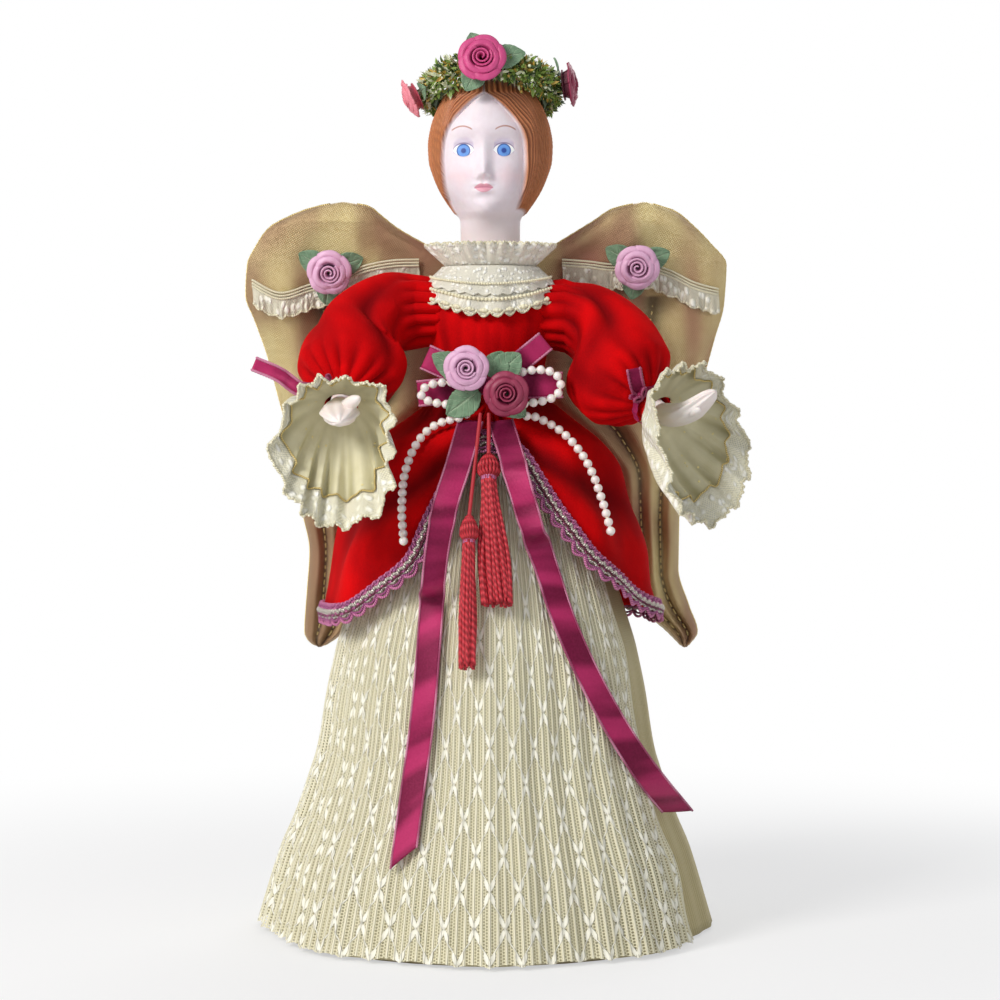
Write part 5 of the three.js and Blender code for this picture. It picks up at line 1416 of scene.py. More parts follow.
def collar_beading():
    beads = Shape()
    around = np.linspace(0, TURN, 721)
    bead_row(beads, falling_point(around, 0.74, 0.95), 0.62)
    bead_row(beads, falling_point(around, 0.4, 2.1), 0.42)
    for k in range(COLLAR_SCALLOPS):
        middle = (k + 0.5) / COLLAR_SCALLOPS * TURN
        for offset in (-0.045, 0.0, 0.045):
            low = falling_point(np.array(middle + offset), 0.93, 0.7, 0.9)
            beads.stamp(SMALL_BALL, low, 0.78 if offset == 0 else 0.55)
    edge_scallop = 1.7 * np.abs(np.sin(around * COLLAR_SCALLOPS / 2))
    fuzz = 0.12 * np.sin(around * 333) + 0.1 * np.sin(around * 217)
    beads.tube(falling_point(around[:-1], 1.0, 0.45 + fuzz[:-1], edge_scallop[:-1]), 0.42, 6, 0, True)
    beads.make("collar_beading", "gown", CREAM_THREAD)


def standing_ruffle():
    u, v = grid(360, 16)
    bearing = u * TURN
    stand = ruff_point(bearing, v)
    picot = RUFF_PICOT * np.abs(np.sin(bearing * RUFF_PICOTS / 2)) * ease((v - 0.7) / 0.3)
    stand[..., 2] += picot
    pattern = np.stack([bearing * 20, v * 9], -1)
    sheet_piece("standing_ruffle", "gown", stand, COLLAR_LACE, ["collar_standing_ruff"], pattern,
                wall=LACE * 0.6)
    edge = Shape()
    around = np.linspace(0, TURN, 1081)[:-1]
    top = ruff_point(around, np.ones_like(around))
    top[:, 2] += RUFF_PICOT * np.abs(np.sin(around * RUFF_PICOTS / 2)) + 0.05
    edge.tube(top, 0.32, 6, 0, True)
    edge.make("ruffle_picot", "gown", CREAM_THREAD)


falling_ruffle()
collar_beading()
standing_ruffle()


# Ribbon roses and leaves

ROSE_HEIGHT = 5
LEAF_WALL = 0.9
CALYX_WALL = 1.2


def facing(place, direction):
    """Frame that stands at a place and looks along a direction with its +Z."""
    turned_to = Vector((0, 0, 1)).rotation_difference(Vector(direction).normalized())
    return Matrix.Translation(Vector(place)) @ turned_to.to_matrix().to_4x4()


def petal(shape, centre, half, foot, rim, height, seed):
    """One petal leaning out from the bud, its rim rolled over. Pattern: across it, and 0 to 1 up it."""
    u, v = grid(22, 10)
    s = u * 2 - 1
    angle = centre + s * half
    roll = ease((v - 0.72) / 0.28)
    r = mix(foot, rim * (1 + 0.07 * np.cos(s * 2.2)), v ** 1.25) * (1 + 0.07 * s) + 0.5 * roll
    rise = np.sin(np.minimum(v / 0.8, 1) * QUARTER) * (1 - 0.12 * s * s)
    crinkle = 0.12 * ripple(angle * rim, v * 6, 3.4, seed) * v
    z = CALYX_WALL * 0.4 + height * rise - 0.8 * roll + crinkle
    shape.sheet(np.stack([r * np.cos(angle), r * np.sin(angle), z], -1), np.stack([s, v], -1))


def rose(name, body, frame_at, radius, material, replaces, seed=0):
    """A wound bud inside three and then five overlapping petals, on a shallow base."""
    shape = Shape()
    u, v = grid(110, 8)
    angle = u * 2.3 * TURN + seed
    lean = np.minimum(v / 0.8, 1) ** 1.6
    r = radius * mix(mix(0.04, 0.26, u), mix(0.07, 0.44, u ** 0.85), lean)
    rise = np.sin(np.minimum(v / 0.85, 1) * QUARTER)
    z = CALYX_WALL * 0.4 + ROSE_HEIGHT * mix(1.0, 0.86, u) * rise - 0.35 * ease((v - 0.85) / 0.15)
    shape.sheet(np.stack([r * np.cos(angle), r * np.sin(angle), z], -1), np.stack([u * 3, v], -1))
    for count, foot, rim, height, turned_by in ((3, 0.32, 0.62, 0.86, 0.4), (5, 0.5, 0.86, 0.7, 1.1)):
        for k in range(count):
            centre = k / count * TURN + turned_by + seed
            petal(shape, centre, math.pi / count * 1.28, foot * radius, rim * radius, ROSE_HEIGHT * height,
                  seed + k + count)
    base_u, base_v = grid(32, 3)
    base_angle = base_u * TURN
    base_r = radius * (0.08 + 0.6 * base_v)
    bowl = np.stack([base_r * np.cos(base_angle), base_r * np.sin(base_angle), 0.35 + 0.5 * base_v], -1)
    shape.sheet(bowl, np.zeros(bowl.shape[:2] + (2,)), loop=True)
    return shape.make(name, body, material, replaces, wall=0.42, offset=0, frame_at=frame_at)


def leaf_cluster(name, body, frame_at, blades, replaces, hub, seed=0):
    """Stiff cloth leaves with a raised rib and a nicked edge, spread from a small hub."""
    shape = Shape()
    outline = Curve((0, 0.2), (0.12, 0.62), (0.32, 0.95), (0.5, 1), (0.72, 0.8), (0.9, 0.42), (1, 0.06))
    for k, (angle_share, length, width) in enumerate(blades):
        angle = angle_share * TURN
        u, v = grid(34, 18)
        start = hub * 0.35
        nick = 1 + 0.1 * np.abs(((u * 9) % 1) - 0.5) * ease(u * 6)
        half = width / 2 * outline(u) * nick
        across = v * 2 - 1
        along = mix(start, length * 1.03, u)
        fold = 0.55 * np.abs(across) * outline(u) * (0.7 + 0.3 * u)
        crinkle = 0.22 * ripple(along, across * width, 5.5, seed + k) * np.abs(across) ** 0.5
        curl = 0.5 * np.sin(u * math.pi) - 0.55 * u ** 2
        place = np.stack([along, across * half, -0.35 + fold + crinkle + curl], -1)
        spin = np.array([[math.cos(angle), -math.sin(angle), 0], [math.sin(angle), math.cos(angle), 0],
                         [0, 0, 1]])
        shape.sheet(place @ spin.T, np.stack([across, u], -1))
    return shape.make(name, body, LEAF_CLOTH, replaces, wall=0.3, offset=0, frame_at=frame_at)


# Wreath

WREATH_HEIGHT = 266.2
WREATH_TILT = 5.6
WREATH_WIRE = 0.7
WREATH_BUSH = 2.9
BUSH_NEAR = 0.93
BUSH_LEAN = 0.5
SPRIG_COUNT = 4600
NOSE_HEIGHT = 76.5


def head_reach(bearing, z):
    """Distance from the middle line to the head's plain outline."""
    height = z - CONE_HEIGHT
    share = np.clip((height - NECK_HEIGHT) / (HEAD_HEIGHT - NECK_HEIGHT), 0, 1)
    deep = HEAD_HALF_DEPTH * (HEAD_FRONT(share) if math.cos(bearing) > 0 else HEAD_BACK(share))
    x = HEAD_HALF_WIDTH * HEAD_WIDTH(share) * math.sin(bearing)
    brow = 0.9 * swell(height, NOSE_HEIGHT + 3.4 * 3.6, 3.4 * 2) * ease(math.cos(bearing) * 2)
    return math.hypot(x, -deep * math.cos(bearing) - brow + HEAD_SET_BACK)


def bush_centre(bearing):
    z = WREATH_HEIGHT + WREATH_TILT * math.cos(bearing)
    wire = polar(head_reach(bearing, z - WREATH_WIRE) + SEAM + WREATH_WIRE * 1.5, bearing, z)
    step = WREATH_WIRE + SEAM + WREATH_BUSH * BUSH_NEAR
    out = step * BUSH_LEAN
    return wire + polar(out, bearing, math.sqrt(step * step - out * out))


SIDE_ROSE = 6.6
WREATH_ROSES = [
    ("front", -0.17, (-0.05, -0.97, 0.25), 7.8, ROSE_PETAL,
     [(0.03, 1.72, 1), (0.3, 1.36, 0.8), (0.66, 1.3, 1)]),
    ("right", -QUARTER * 1.02, (-0.9, -0.1, -0.42), SIDE_ROSE, CORAL_PETAL, [(0.78, 1.35, 0.9)]),
    ("left", QUARTER * 0.96, (0.95, -0.1, 0.1), SIDE_ROSE * 1.1, WINE_PETAL, [(0.42, 1.36, 0.82)]),
    ("back", math.pi, (0, 0.97, 0.25), SIDE_ROSE, CORAL_PETAL, []),
]


def sprigs():
    """Tiny leaves, buds and gold tips standing out of the wreath's ring."""
    chance = random.Random(SEED)
    shape = Shape()
    ring = np.array([bush_centre(b) for b in np.linspace(0, TURN, 97)])[:-1]
    shape.tube(ring, WREATH_BUSH * 0.55, 10, 3, True)
    blade = np.array([(-0.28, 0, 0), (0.28, 0, 0), (0.34, 0.9, 0.12), (-0.34, 0.9, 0.12), (0, 1.7, 0)])
    blade_faces = [[0, 1, 2, 3], [3, 2, 4]]
    for k in range(SPRIG_COUNT):
        bearing = chance.uniform(0, TURN)
        centre = bush_centre(bearing)
        radial = np.array([math.sin(bearing), -math.cos(bearing), 0])
        around = chance.uniform(-1.6, 2.9)
        out = radial * math.cos(around) + np.array([0, 0, math.sin(around)])
        puff = 1 + 0.5 * swell(abs(float(turned(bearing))), 0.85, 0.45)
        root = centre + out * WREATH_BUSH * chance.uniform(0.3, 1.25) * puff
        tilt = unit(out + np.array([chance.gauss(0, 0.55) for _ in range(3)]))
        side = unit(np.cross(tilt, [chance.gauss(0, 1) for _ in range(3)]))
        basis = np.stack([side, tilt, np.cross(side, tilt)], -1)
        pale = 0.32 if math.sin(bearing) < 0 else 0.12
        pick = chance.random()
        slot = 1 if pick < pale else 2 if pick < pale + 0.16 else 3 if pick > 0.82 else 0
        if k % 6 == 0:
            bud_size = chance.uniform(0.3, 0.55)
            shape.stamp(SMALL_BALL, root + out * 1.1, bud_size, slot=1 if slot == 3 else slot)
        else:
            shape.stamp((blade, blade_faces), root, chance.uniform(1.0, 1.7), basis, slot)
    return shape.make("wreath_sprigs", "gown", SPRIGS, ["wreath_greenery"])


def wreath():
    sprigs()
    for name, bearing, aim, radius, satin, blades in WREATH_ROSES:
        aim = unit(np.array(aim, float))
        back = LEAF_WALL / 2 if blades else 0
        seat = bush_centre(bearing) + aim * (WREATH_BUSH + SEAM + back)
        at = facing(seat, aim)
        if blades:
            sized = [(a, length * radius, width * radius) for a, length, width in blades]
            leaf_cluster(f"{name}_wreath_leaves", "gown", at, sized, [f"wreath_{name}_leaves"], radius / 2, 3)
        lifted = at @ Matrix.Translation((0, 0, back + SEAM if blades else 0))
        rose(f"{name}_wreath_rose", "gown", lifted, radius, satin, [f"wreath_{name}_rose"], seed=len(name))


wreath()


# Wings

WING_SPAN = 80.2
WING_LENGTH = 151.5
WING_LEAN = math.atan(0.22)
WING_ROOT_HEIGHT = 220
WING_ROOT_BACK = 16
WING_TIP = 86
WING_LOFT = 4.2
WING_EDGE = 0.7
WING_BASE = (WING_TIP - WING_ROOT_HEIGHT) / math.cos(WING_LEAN)
CHANNELS = Curve((0, 0), (0.08, 0.62), (0.18, 0.95), (0.333, 0.4), (0.5, 1), (0.667, 0.4), (0.82, 0.95),
                 (0.93, 0.6), (1, 0))
CROWN = Curve((0, 0), (0.08, 0.6), (0.18, 0.85), (0.333, 0.98), (0.5, 1), (0.667, 0.98), (0.82, 0.85),
              (0.93, 0.58), (1, 0))
CHANNEL_TOP = 0.8
CROWN_START = 0.86
QUILTING = (0.333, 0.667)
WINGS = Matrix.Translation((0, WING_ROOT_BACK, WING_ROOT_HEIGHT)) @ Matrix.Rotation(WING_LEAN, 4, "X")
WING_LACE_DEPTH = 6
WING_ROSE = 7.4
WING_LEAVES = (0.06, 0.42, 0.73)


class Wing:
    def __init__(self, name, side, outer, inner, lace, rose_at):
        self.name = name
        self.side = side
        self.outer = Curve(*outer)
        self.inner = Curve(*inner)
        self.lace = lace
        self.rose_at = rose_at

    def padding(self, across, up):
        plain = ease((up - CHANNEL_TOP) / (CROWN_START - CHANNEL_TOP))
        span = WING_SPAN * (self.outer(up) - self.inner(up))
        loft = WING_LOFT * np.sqrt(np.clip(span / (WING_SPAN * 0.4), 0, 1))
        loft = loft * np.sqrt(np.clip((1 - up) / 0.035, 0, 1) * np.clip(up / 0.02, 0, 1))
        return WING_EDGE + loft * mix(CHANNELS(across), CROWN(across), plain)

    def point(self, across, up, face, out=0.0):
        x = WING_SPAN * mix(self.inner(up), self.outer(up), across)
        y = face * (self.padding(across, up) + out)
        return np.stack(np.broadcast_arrays(self.side * x, y, WING_BASE + WING_LENGTH * up), -1)

    def front(self, span_share, up, out=0.0):
        inner = self.inner(up)
        across = np.clip((span_share - inner) / (self.outer(up) - inner), 0, 1)
        y = -self.padding(across, up) - out
        return np.stack(np.broadcast_arrays(self.side * WING_SPAN * span_share, y,
                                            WING_BASE + WING_LENGTH * up), -1)


RIGHT_WING = Wing(
    "right", -1,
    [(0, 0.729), (0.0135, 0.767), (0.034, 0.784), (0.128, 0.771), (0.226, 0.757), (0.311, 0.784),
     (0.405, 0.81), (0.5, 0.843), (0.581, 0.879), (0.672, 0.921), (0.743, 0.966), (0.797, 1),
     (0.864, 0.991), (0.905, 0.954), (0.944, 0.9), (0.973, 0.8), (0.991, 0.7), (1, 0.605)],
    [(0, 0.718), (0.0135, 0.673), (0.045, 0.607), (0.1, 0.569), (0.264, 0.549), (0.4, 0.524),
     (0.486, 0.399), (0.581, 0.175), (0.669, 0.1), (0.743, 0.0786), (0.851, 0.0786),
     (0.878, 0.15), (0.905, 0.254), (0.946, 0.387), (0.973, 0.45), (0.991, 0.495), (1, 0.59)],
    [(0.972, 0.825), (0.86, 0.8), (0.74, 0.815), (0.62, 0.832), (0.52, 0.857), (0.4, 0.87), (0.29, 0.872)],
    (0.651, 0.859),
)
LEFT_WING = Wing(
    "left", 1,
    [(0, 0.829), (0.035, 0.87), (0.095, 0.833), (0.184, 0.784), (0.29, 0.784), (0.405, 0.804),
     (0.524, 0.823), (0.628, 0.882), (0.703, 0.918), (0.778, 0.953), (0.864, 0.96),
     (0.912, 0.892), (0.949, 0.823), (0.98, 0.75), (1, 0.635)],
    [(0, 0.811), (0.041, 0.736), (0.081, 0.648), (0.12, 0.589), (0.264, 0.555), (0.4, 0.524),
     (0.486, 0.399), (0.581, 0.175), (0.669, 0.1), (0.743, 0.0786), (0.851, 0.0786),
     (0.895, 0.223), (0.959, 0.42), (0.986, 0.5), (1, 0.615)],
    [(0.93, 0.805), (0.83, 0.822), (0.72, 0.85), (0.6, 0.868), (0.5, 0.862), (0.4, 0.868), (0.29, 0.872)],
    (0.592, 0.872),
)


def off_quilting(across):
    """How far a place is from the nearer quilting seam, as a share of the wing's width."""
    return np.minimum(np.abs(across - QUILTING[0]), np.abs(across - QUILTING[1]))


def wing_pad(wing):
    body = f"{wing.name}_wing"
    v = np.concatenate([
        np.linspace(0, 0.06, 14)[:-1], np.linspace(0.06, 0.9, 130)[:-1], np.linspace(0.9, 1, 40),
    ])
    w = (1 - np.cos(np.linspace(0, math.pi, 61))) / 2
    sides = []
    for face in (-1, 1):
        across, up = np.meshgrid(w, v, indexing="ij")
        points = wing.point(across, up, face)
        inside = np.sin(across * math.pi) ** 0.5
        pucker = 0.3 * np.sin(up * 330 + 2 * ripple(across * 40, up * 90, 21, 4)) \
            * swell(off_quilting(across), 0, 0.06) * (up < CHANNEL_TOP)
        rumple = ripple(across * 45, up * 100, 17, 6 + wing.side) * (0.5 + ease((up - 0.7) / 0.2))
        rumple = rumple * inside * ease((1 - up) / 0.12)
        edge_pull = 0.22 * np.sin(up * 260) * swell(np.minimum(across, 1 - across), 0.05, 0.05)
        points[..., 1] += face * (pucker + rumple + edge_pull) * inside
        sides.append(points)
    ring = np.concatenate([sides[0], sides[1][::-1][1:]], 0)
    shape = Shape()
    shape.sheet(ring, loop=True, caps=True)
    pad = shape.make(f"{wing.name}_quilted_wing", body, LAME, [f"{wing.name}_wing"], frame_at=WINGS)
    across, up = np.meshgrid(np.concatenate([w, w[::-1][1:]]), v, indexing="ij")
    paint(pad, "quilting", (swell(off_quilting(across), 0, 0.045) * (up < CHANNEL_TOP))[:-1])


def wing_stitches(wing):
    """Stitches of the quilting, and the cord round the wing's edge."""
    seams = Shape()
    stitch = np.linspace(0.03, CHANNEL_TOP - 0.01, 46)
    for across in QUILTING:
        for face in (-1, 1):
            for low, high in zip(stitch[:-1], stitch[1:]):
                ends = np.linspace(low, mix(low, high, 0.66), 4)
                bow = np.array([0.04, 0.34, 0.34, 0.04])
                seams.tube(wing.point(across, ends, face, bow), 0.26, 5)
    edge = np.linspace(0.004, 0.996, 300)
    for across in (0.0, 1.0):
        line = wing.point(across, edge, 0)
        seams.tube(line, 0.35 + 0.06 * np.sin(np.arange(300) * 1.9), 6)
    seams.make(f"{wing.name}_wing_stitches", f"{wing.name}_wing", GOLD_THREAD, frame_at=WINGS)


def wing_lace(wing):
    body = f"{wing.name}_wing"
    line = Route([(a, b, 0) for a, b in wing.lace])
    places = np.array([line.point(t)[:2] for t in np.linspace(0, 1, 241)])
    drop = WING_LACE_DEPTH / WING_LENGTH

    def reach_at(k):
        spot = places[k]
        return min(wing.front(spot[0], spot[1] - drop * d)[1] for d in (0, 0.5, 1)) - SEAM * 2

    reach = np.array([reach_at(k) for k in range(len(places))])
    reach = np.minimum(reach, np.convolve(np.pad(reach, 4, mode="edge"), np.ones(9) / 9, "valid"))
    t = np.linspace(0, 1, 241)
    v = np.linspace(0, 1, 13)
    tt, vv = np.meshgrid(t, v, indexing="ij")
    wave = 0.5 + 0.5 * np.sin(tt * 7 * TURN)
    small = np.sin(tt * 28 * TURN + 1)
    scallop = 0.9 * np.abs(np.sin(tt * 14 * math.pi)) * ease((vv - 0.5) / 0.5)
    x = wing.side * WING_SPAN * places[:, 0][:, None] + 0.35 * vv * np.cos(tt * 7 * TURN)
    z = WING_BASE + WING_LENGTH * (places[:, 1][:, None] - drop * vv) - scallop
    y = reach[:, None] - 0.25 - (1.1 * wave + 0.2 * small) * ease(vv)
    points = np.stack([x, y, z], -1)
    along = lengths_along(points[:, 0])
    pattern = np.stack([np.broadcast_to(along[:, None], tt.shape) * 1.3, vv * WING_LACE_DEPTH], -1)
    sheet_piece(f"{wing.name}_wing_ruffle", body, points, CREAM_LACE, [f"{wing.name}_wing_lace"], pattern,
                loop=False, wall=0.35, frame_at=WINGS)
    cords = Shape()
    for height in (1.5, 0.5, -0.5):
        line = points[:, 0] + np.array([0, -0.2, height])
        line[:, 1] = np.minimum(line[:, 1], reach - 0.2)
        cords.tube(line, 0.36, 6)
    hem = points[:, -1] + np.array([0, -0.1, 0])
    cords.tube(hem, 0.34 + 0.1 * np.sin(np.arange(len(hem)) * 1.3), 6)
    cords.make(f"{wing.name}_lace_cords", body, CREAM_THREAD, frame_at=WINGS)
    return points


def dress_wing(wing):
    body = f"{wing.name}_wing"
    wing_pad(wing)
    wing_stitches(wing)
    lace = wing_lace(wing)
    seat = wing.front(*wing.rose_at)
    flat = lace.reshape(-1, 3)
    near = np.hypot(flat[:, 0] - seat[0], flat[:, 2] - seat[2]) < WING_ROSE * 0.98
    lowest = flat[near][:, 1].min() if near.any() else seat[1]
    seat[1] = min(seat[1], lowest) - SEAM - LEAF_WALL / 2
    at = WINGS @ facing(seat, (0, -1, 0))
    blades = [(share, WING_ROSE * 1.5, WING_ROSE) for share in WING_LEAVES]
    leaf_cluster(f"{wing.name}_wing_rose_leaves", body, at, blades, [f"{wing.name}_wing_leaves"],
                 WING_ROSE / 2, 11 + wing.side)
    lifted = at @ Matrix.Translation((0, 0, LEAF_WALL / 2 + SEAM))
    rose(f"{wing.name}_rose", body, lifted, WING_ROSE, PINK_PETAL, [f"{wing.name}_wing_rose"], seed=wing.side)


dress_wing(RIGHT_WING)
dress_wing(LEFT_WING)


# Velvet patch that holds the wings

def wing_patch():
    low, high = (np.array(corner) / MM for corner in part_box("wing_patch"))
    nodes = frame["nodes"]["wing_patch"].data.vertices
    corners = np.array([v.co[:] for v in nodes]) / MM
    bottom = corners[np.abs(corners[:, 2] - low[2]) < 0.1]
    top = corners[np.abs(corners[:, 2] - high[2]) < 0.1]
    u, v = grid(24, 24)
    x = mix(low[0], high[0], u)
    z = mix(low[2], high[2], v)
    back = mix(bottom[:, 1].max(), top[:, 1].max(), v)
    front = mix(bottom[:, 1].min(), top[:, 1].min(), v) + 0.4
    crown = 0.5 * np.sin(u * math.pi) * np.sin(v * math.pi) - 0.35
    shape = Shape()
    face = np.stack([x, back + crown, z], -1)
    hidden = np.stack([x, front, z], -1)
    ring = np.concatenate([face, hidden[::-1]], 0)
    ring = np.concatenate([ring, ring[:1]], 0)
    shape.sheet(ring, loop=True, caps=True)
    pad = shape.make("velvet_wing_patch", "gown", RED_VELVET, ["wing_patch"])


wing_patch()


# Arms

SHOULDER = np.array([23.4, 0, 198])
ARM_OUT = 22.6
ARM_FORWARD = 34
ARM_DROP = 29
SLEEVE_RADIUS = 18
SLEEVE_WRIST = 5.2
SLEEVE_FULL = Curve((0, 0.63), (0.2, 0.82), (0.42, 1), (0.57, 0.94), (0.67, 0.72), (0.75, 0.45), (0.82, 0.29),
                    (1, 0.29))
SHOULDER_SQUARE = 0.55
ARMHOLE_SHARE = 0.9
ARMHOLE_TUCK = 0.8
ARMHOLE_BEND = (17.5, 24.5)
TIE_BACK = 2.3
CUFF_TOP = 6.5
CUFF_BOTTOM = 34
CUFF_FLARE = Curve((0, 0), (0.12, 0.3), (0.35, 0.62), (0.65, 0.85), (1, 1))
CUFF_PLEATS = 14
CUFF_SCALLOPS = 24
HAND_WRIST = 3.4
HAND_LENGTH = 22
HAND_WIDTH = Curve((0, 1), (0.3, 1), (0.5, 1.5), (0.65, 1.75), (0.82, 1.35), (0.94, 0.85), (1, 0.4))
HAND_DEPTH = Curve((0, 1), (0.3, 1), (0.5, 1.1), (0.65, 1.0), (0.82, 0.75), (0.94, 0.55), (1, 0.3))
THUMB_WIDTH = Curve((0, 0.62), (0.4, 0.6), (0.75, 0.5), (1, 0.25))
ARMS = {
    "right": {
        "side": -1, "mouth": 17.5, "aim": (0.03, -0.72, -0.69), "tie_reach": 30,
        "route": [(0, 0, 0), (0.35, 0.06, 0.07), (0.75, 0.26, 0.41), (0.93, 0.59, 0.72), (0.98, 0.82, 0.9),
                  (1, 1, 1)],
        "palm": (0, -0.455, -0.145), "fingers": (-0.027, -0.955, -0.273), "thumb": (-0.29, -0.75, 0.073),
        "tie": [(-0.113, -0.153, 0.04), (-0.4, -0.28, 0.1), (-0.633, -0.217, 0.253), (-0.9, -0.167, 0.367)],
    },
    "left": {
        "side": 1, "mouth": 17.5 * 1.12, "aim": (0.62, -0.62, -0.48), "tie_reach": 15,
        "route": [(0, 0, 0.04), (0.32, 0.09, 0.19), (0.64, 0.3, 0.52), (0.9, 0.56, 0.83), (1.12, 0.72, 0.99),
                  (1.25, 0.84, 1.07)],
        "palm": (0.382, -0.427, -0.055), "fingers": (0.782, -0.827, 0.255), "thumb": (0.573, -0.8, 0),
        "tie": [(-0.2, -0.333, 0.173), (-0.333, -0.467, 0.44), (-0.4, -0.507, 0.767)],
    },
}


def round_ring(centre, axis, across, up, angle):
    """Points of a section about a place, square to an axis, at angles."""
    side = unit(np.cross([0.0, 0.0, 1.0], axis))
    lift = unit(np.cross(axis, side))
    return centre + side * (across * np.cos(angle))[:, None] + lift * (up * np.sin(angle))[:, None]


def armhole(ring, side):
    """Rings of cloth that carry a sleeve's first ring in to its seam on the bodice."""
    seam_ring = ring.copy()
    seam_ring[:, 1:] = mix(SHOULDER[1:], ring[:, 1:], ARMHOLE_SHARE)
    share = (seam_ring[:, 2] - CONE_HEIGHT) / BUST_HEIGHT
    across = BUST_HALF_WIDTH * BUST_WIDTH(share) + SEAM + VELVET
    deep = BUST_HALF_DEPTH * BUST_DEPTH(share) + SEAM + VELVET
    reach = across * np.sqrt(np.maximum(1 - (seam_ring[:, 1] / deep) ** 2, 0.04)) - ARMHOLE_TUCK
    seam_ring[:, 0] = side * np.minimum(reach, np.abs(ring[:, 0]) - ARMHOLE_TUCK)
    return [mix(seam_ring, ring, step) for step in (0, 0.25, 0.5, 0.75)]


def sleeve_folds(side, t, angle):
    """How far a sleeve is drawn in at a ring, and how much painted shade falls in its folds there."""
    sweep_x, sweep_y = 9 * np.cos(angle), 9 * np.sin(angle)
    wander = ripple(sweep_x, sweep_y + t * 40, 34, 21 + side)
    along = (0.5 - 0.5 * np.sin(5 * angle + 1.6 * wander + 3.0 * t)) ** 2
    slanting = (0.5 - 0.5 * np.sin(3 * angle - 7.5 * t + 1.3 * wander + side)) ** 3
    middle = math.sin(math.pi * min(t / 0.74, 1)) ** 0.6
    valley = middle * (0.65 * along + 0.5 * slanting)
    gather = 0.75 * float(swell(t, 0, 0.1) + swell(t, 0.7, 0.09))
    ruche = gather * np.sin(15 * angle + 1.2 * np.sin(3 * angle))
    return 0.7 + 2.7 * valley - ruche, np.clip(valley + 0.7 * np.maximum(-ruche, 0), 0, 1)


def sleeve(name, arm, route, shoulder):
    straight = np.array([arm["side"], 0.0, 0.0])
    angle = np.linspace(0, TURN, 161)
    rings = []
    crease_shades = []
    for t in np.linspace(0, 1, 111):
        axis = unit(mix(straight, route.tangent(t), ease(t / SHOULDER_SQUARE)))
        drawn, crease = sleeve_folds(arm["side"], t, angle)
        radius = SLEEVE_RADIUS * SLEEVE_FULL(t) - drawn
        rings.append(round_ring(route.point(t), axis, radius, radius, angle))
        crease_shades.append(crease)
    points = np.stack(rings, 1) + shoulder + np.array([arm["side"] * SEAM, 0, 0])
    lead = armhole(points[:, 0], arm["side"])
    points = np.concatenate([np.stack(lead, 1), points], 1)
    crease_shades = [crease_shades[0]] * len(lead) + crease_shades
    bend = [np.array([arm["side"] * reach, 0, shoulder[2]]) * MM for reach in ARMHOLE_BEND]
    cloth = sheet_piece(f"{name}_velvet_sleeve", f"{name}_arm", points, RED_VELVET, [f"{name}_sleeve"],
                        wall=VELVET * 0.75, bend=bend)
    # Painted shade in the sleeve's folds and gathers.
    paint(cloth, "crease", np.stack(crease_shades, 1)[:-1])
    declare_cloth(points)


def cuff_point(arm, wrist, u, v, out=0.0):
    axis = unit(np.array([arm["side"] * arm["aim"][0], arm["aim"][1], arm["aim"][2]], float))
    sideways = unit(np.cross([0.0, 0.0, 1.0], axis))
    upward = unit(np.cross(axis, sideways))
    angle = u * TURN
    fold = u * CUFF_PLEATS * TURN + 1.3 * np.sin(u * 3 * TURN)
    scallop = 0.9 * np.abs(np.sin(u * CUFF_SCALLOPS * math.pi)) * ease((v - 0.6) / 0.4)
    ragged = 0.35 * np.sin(u * 71 * TURN) * ease((v - 0.85) / 0.15)
    length = mix(CUFF_BOTTOM, CUFF_TOP, ease(0.5 + 0.5 * np.sin(angle))) - 1.2 + scallop + ragged
    spread = ease(v * 1.3)
    pleat = spread * (1.3 * np.cos(fold) + 0.4 * np.cos(2 * fold + 1) + np.sin(u * 3 * TURN + arm["side"]))
    pleat = pleat + ease((v - 0.72) / 0.28) * (1.1 + 0.9 * np.sin(u * 5 * TURN + 2 * arm["side"]))
    radius = mix(SLEEVE_WRIST + LACE, arm["mouth"] - 0.6, CUFF_FLARE(v)) + pleat + out
    along = 1.8 + length * v
    return wrist + axis * along[..., None] + sideways * (radius * np.cos(angle))[..., None] \
        + upward * (radius * np.sin(angle))[..., None]


def cuff(name, arm, wrist):
    u, v = grid(336, 40)
    mouth = arm["mouth"] * TURN
    pattern = np.stack([u * mouth, v * 30], -1)
    outer = cuff_point(arm, wrist, u, v)
    lace = sheet_piece(f"{name}_cuff_lace", f"{name}_arm", outer, CUFF_LACE, [f"{name}_lace_cuff"], pattern,
                       wall=0.25)
    inner = cuff_point(arm, wrist, u, v * 0.72, -0.5)
    tulle = sheet_piece(f"{name}_cuff_tulle", f"{name}_arm", inner, TULLE, (), pattern, wall=0.2)
    # Painted shade: olive in the folds of the tulle's pleats, growing towards the cuff's mouth.
    paint(tulle, "crease", (v * (0.5 + 0.5 * np.cos(u * CUFF_PLEATS * TURN)) ** 2)[:-1])
    edge = Shape()
    around = np.linspace(0, 1, 841)[:-1]
    rim = cuff_point(arm, wrist, around, np.ones_like(around), -0.1)
    edge.tube(rim, 0.4 + 0.14 * np.sin(np.arange(840) * 1.15), 6, 0, True)
    inside = cuff_point(arm, wrist, around, np.full_like(around, 0.73), -0.75)
    edge.tube(inside, 0.3, 5, 1, True)
    trim = edge.make(f"{name}_cuff_edge", f"{name}_arm", [CREAM_THREAD, GOLD_THREAD])
    declare_cloth(outer)
    declare_cloth(inner)


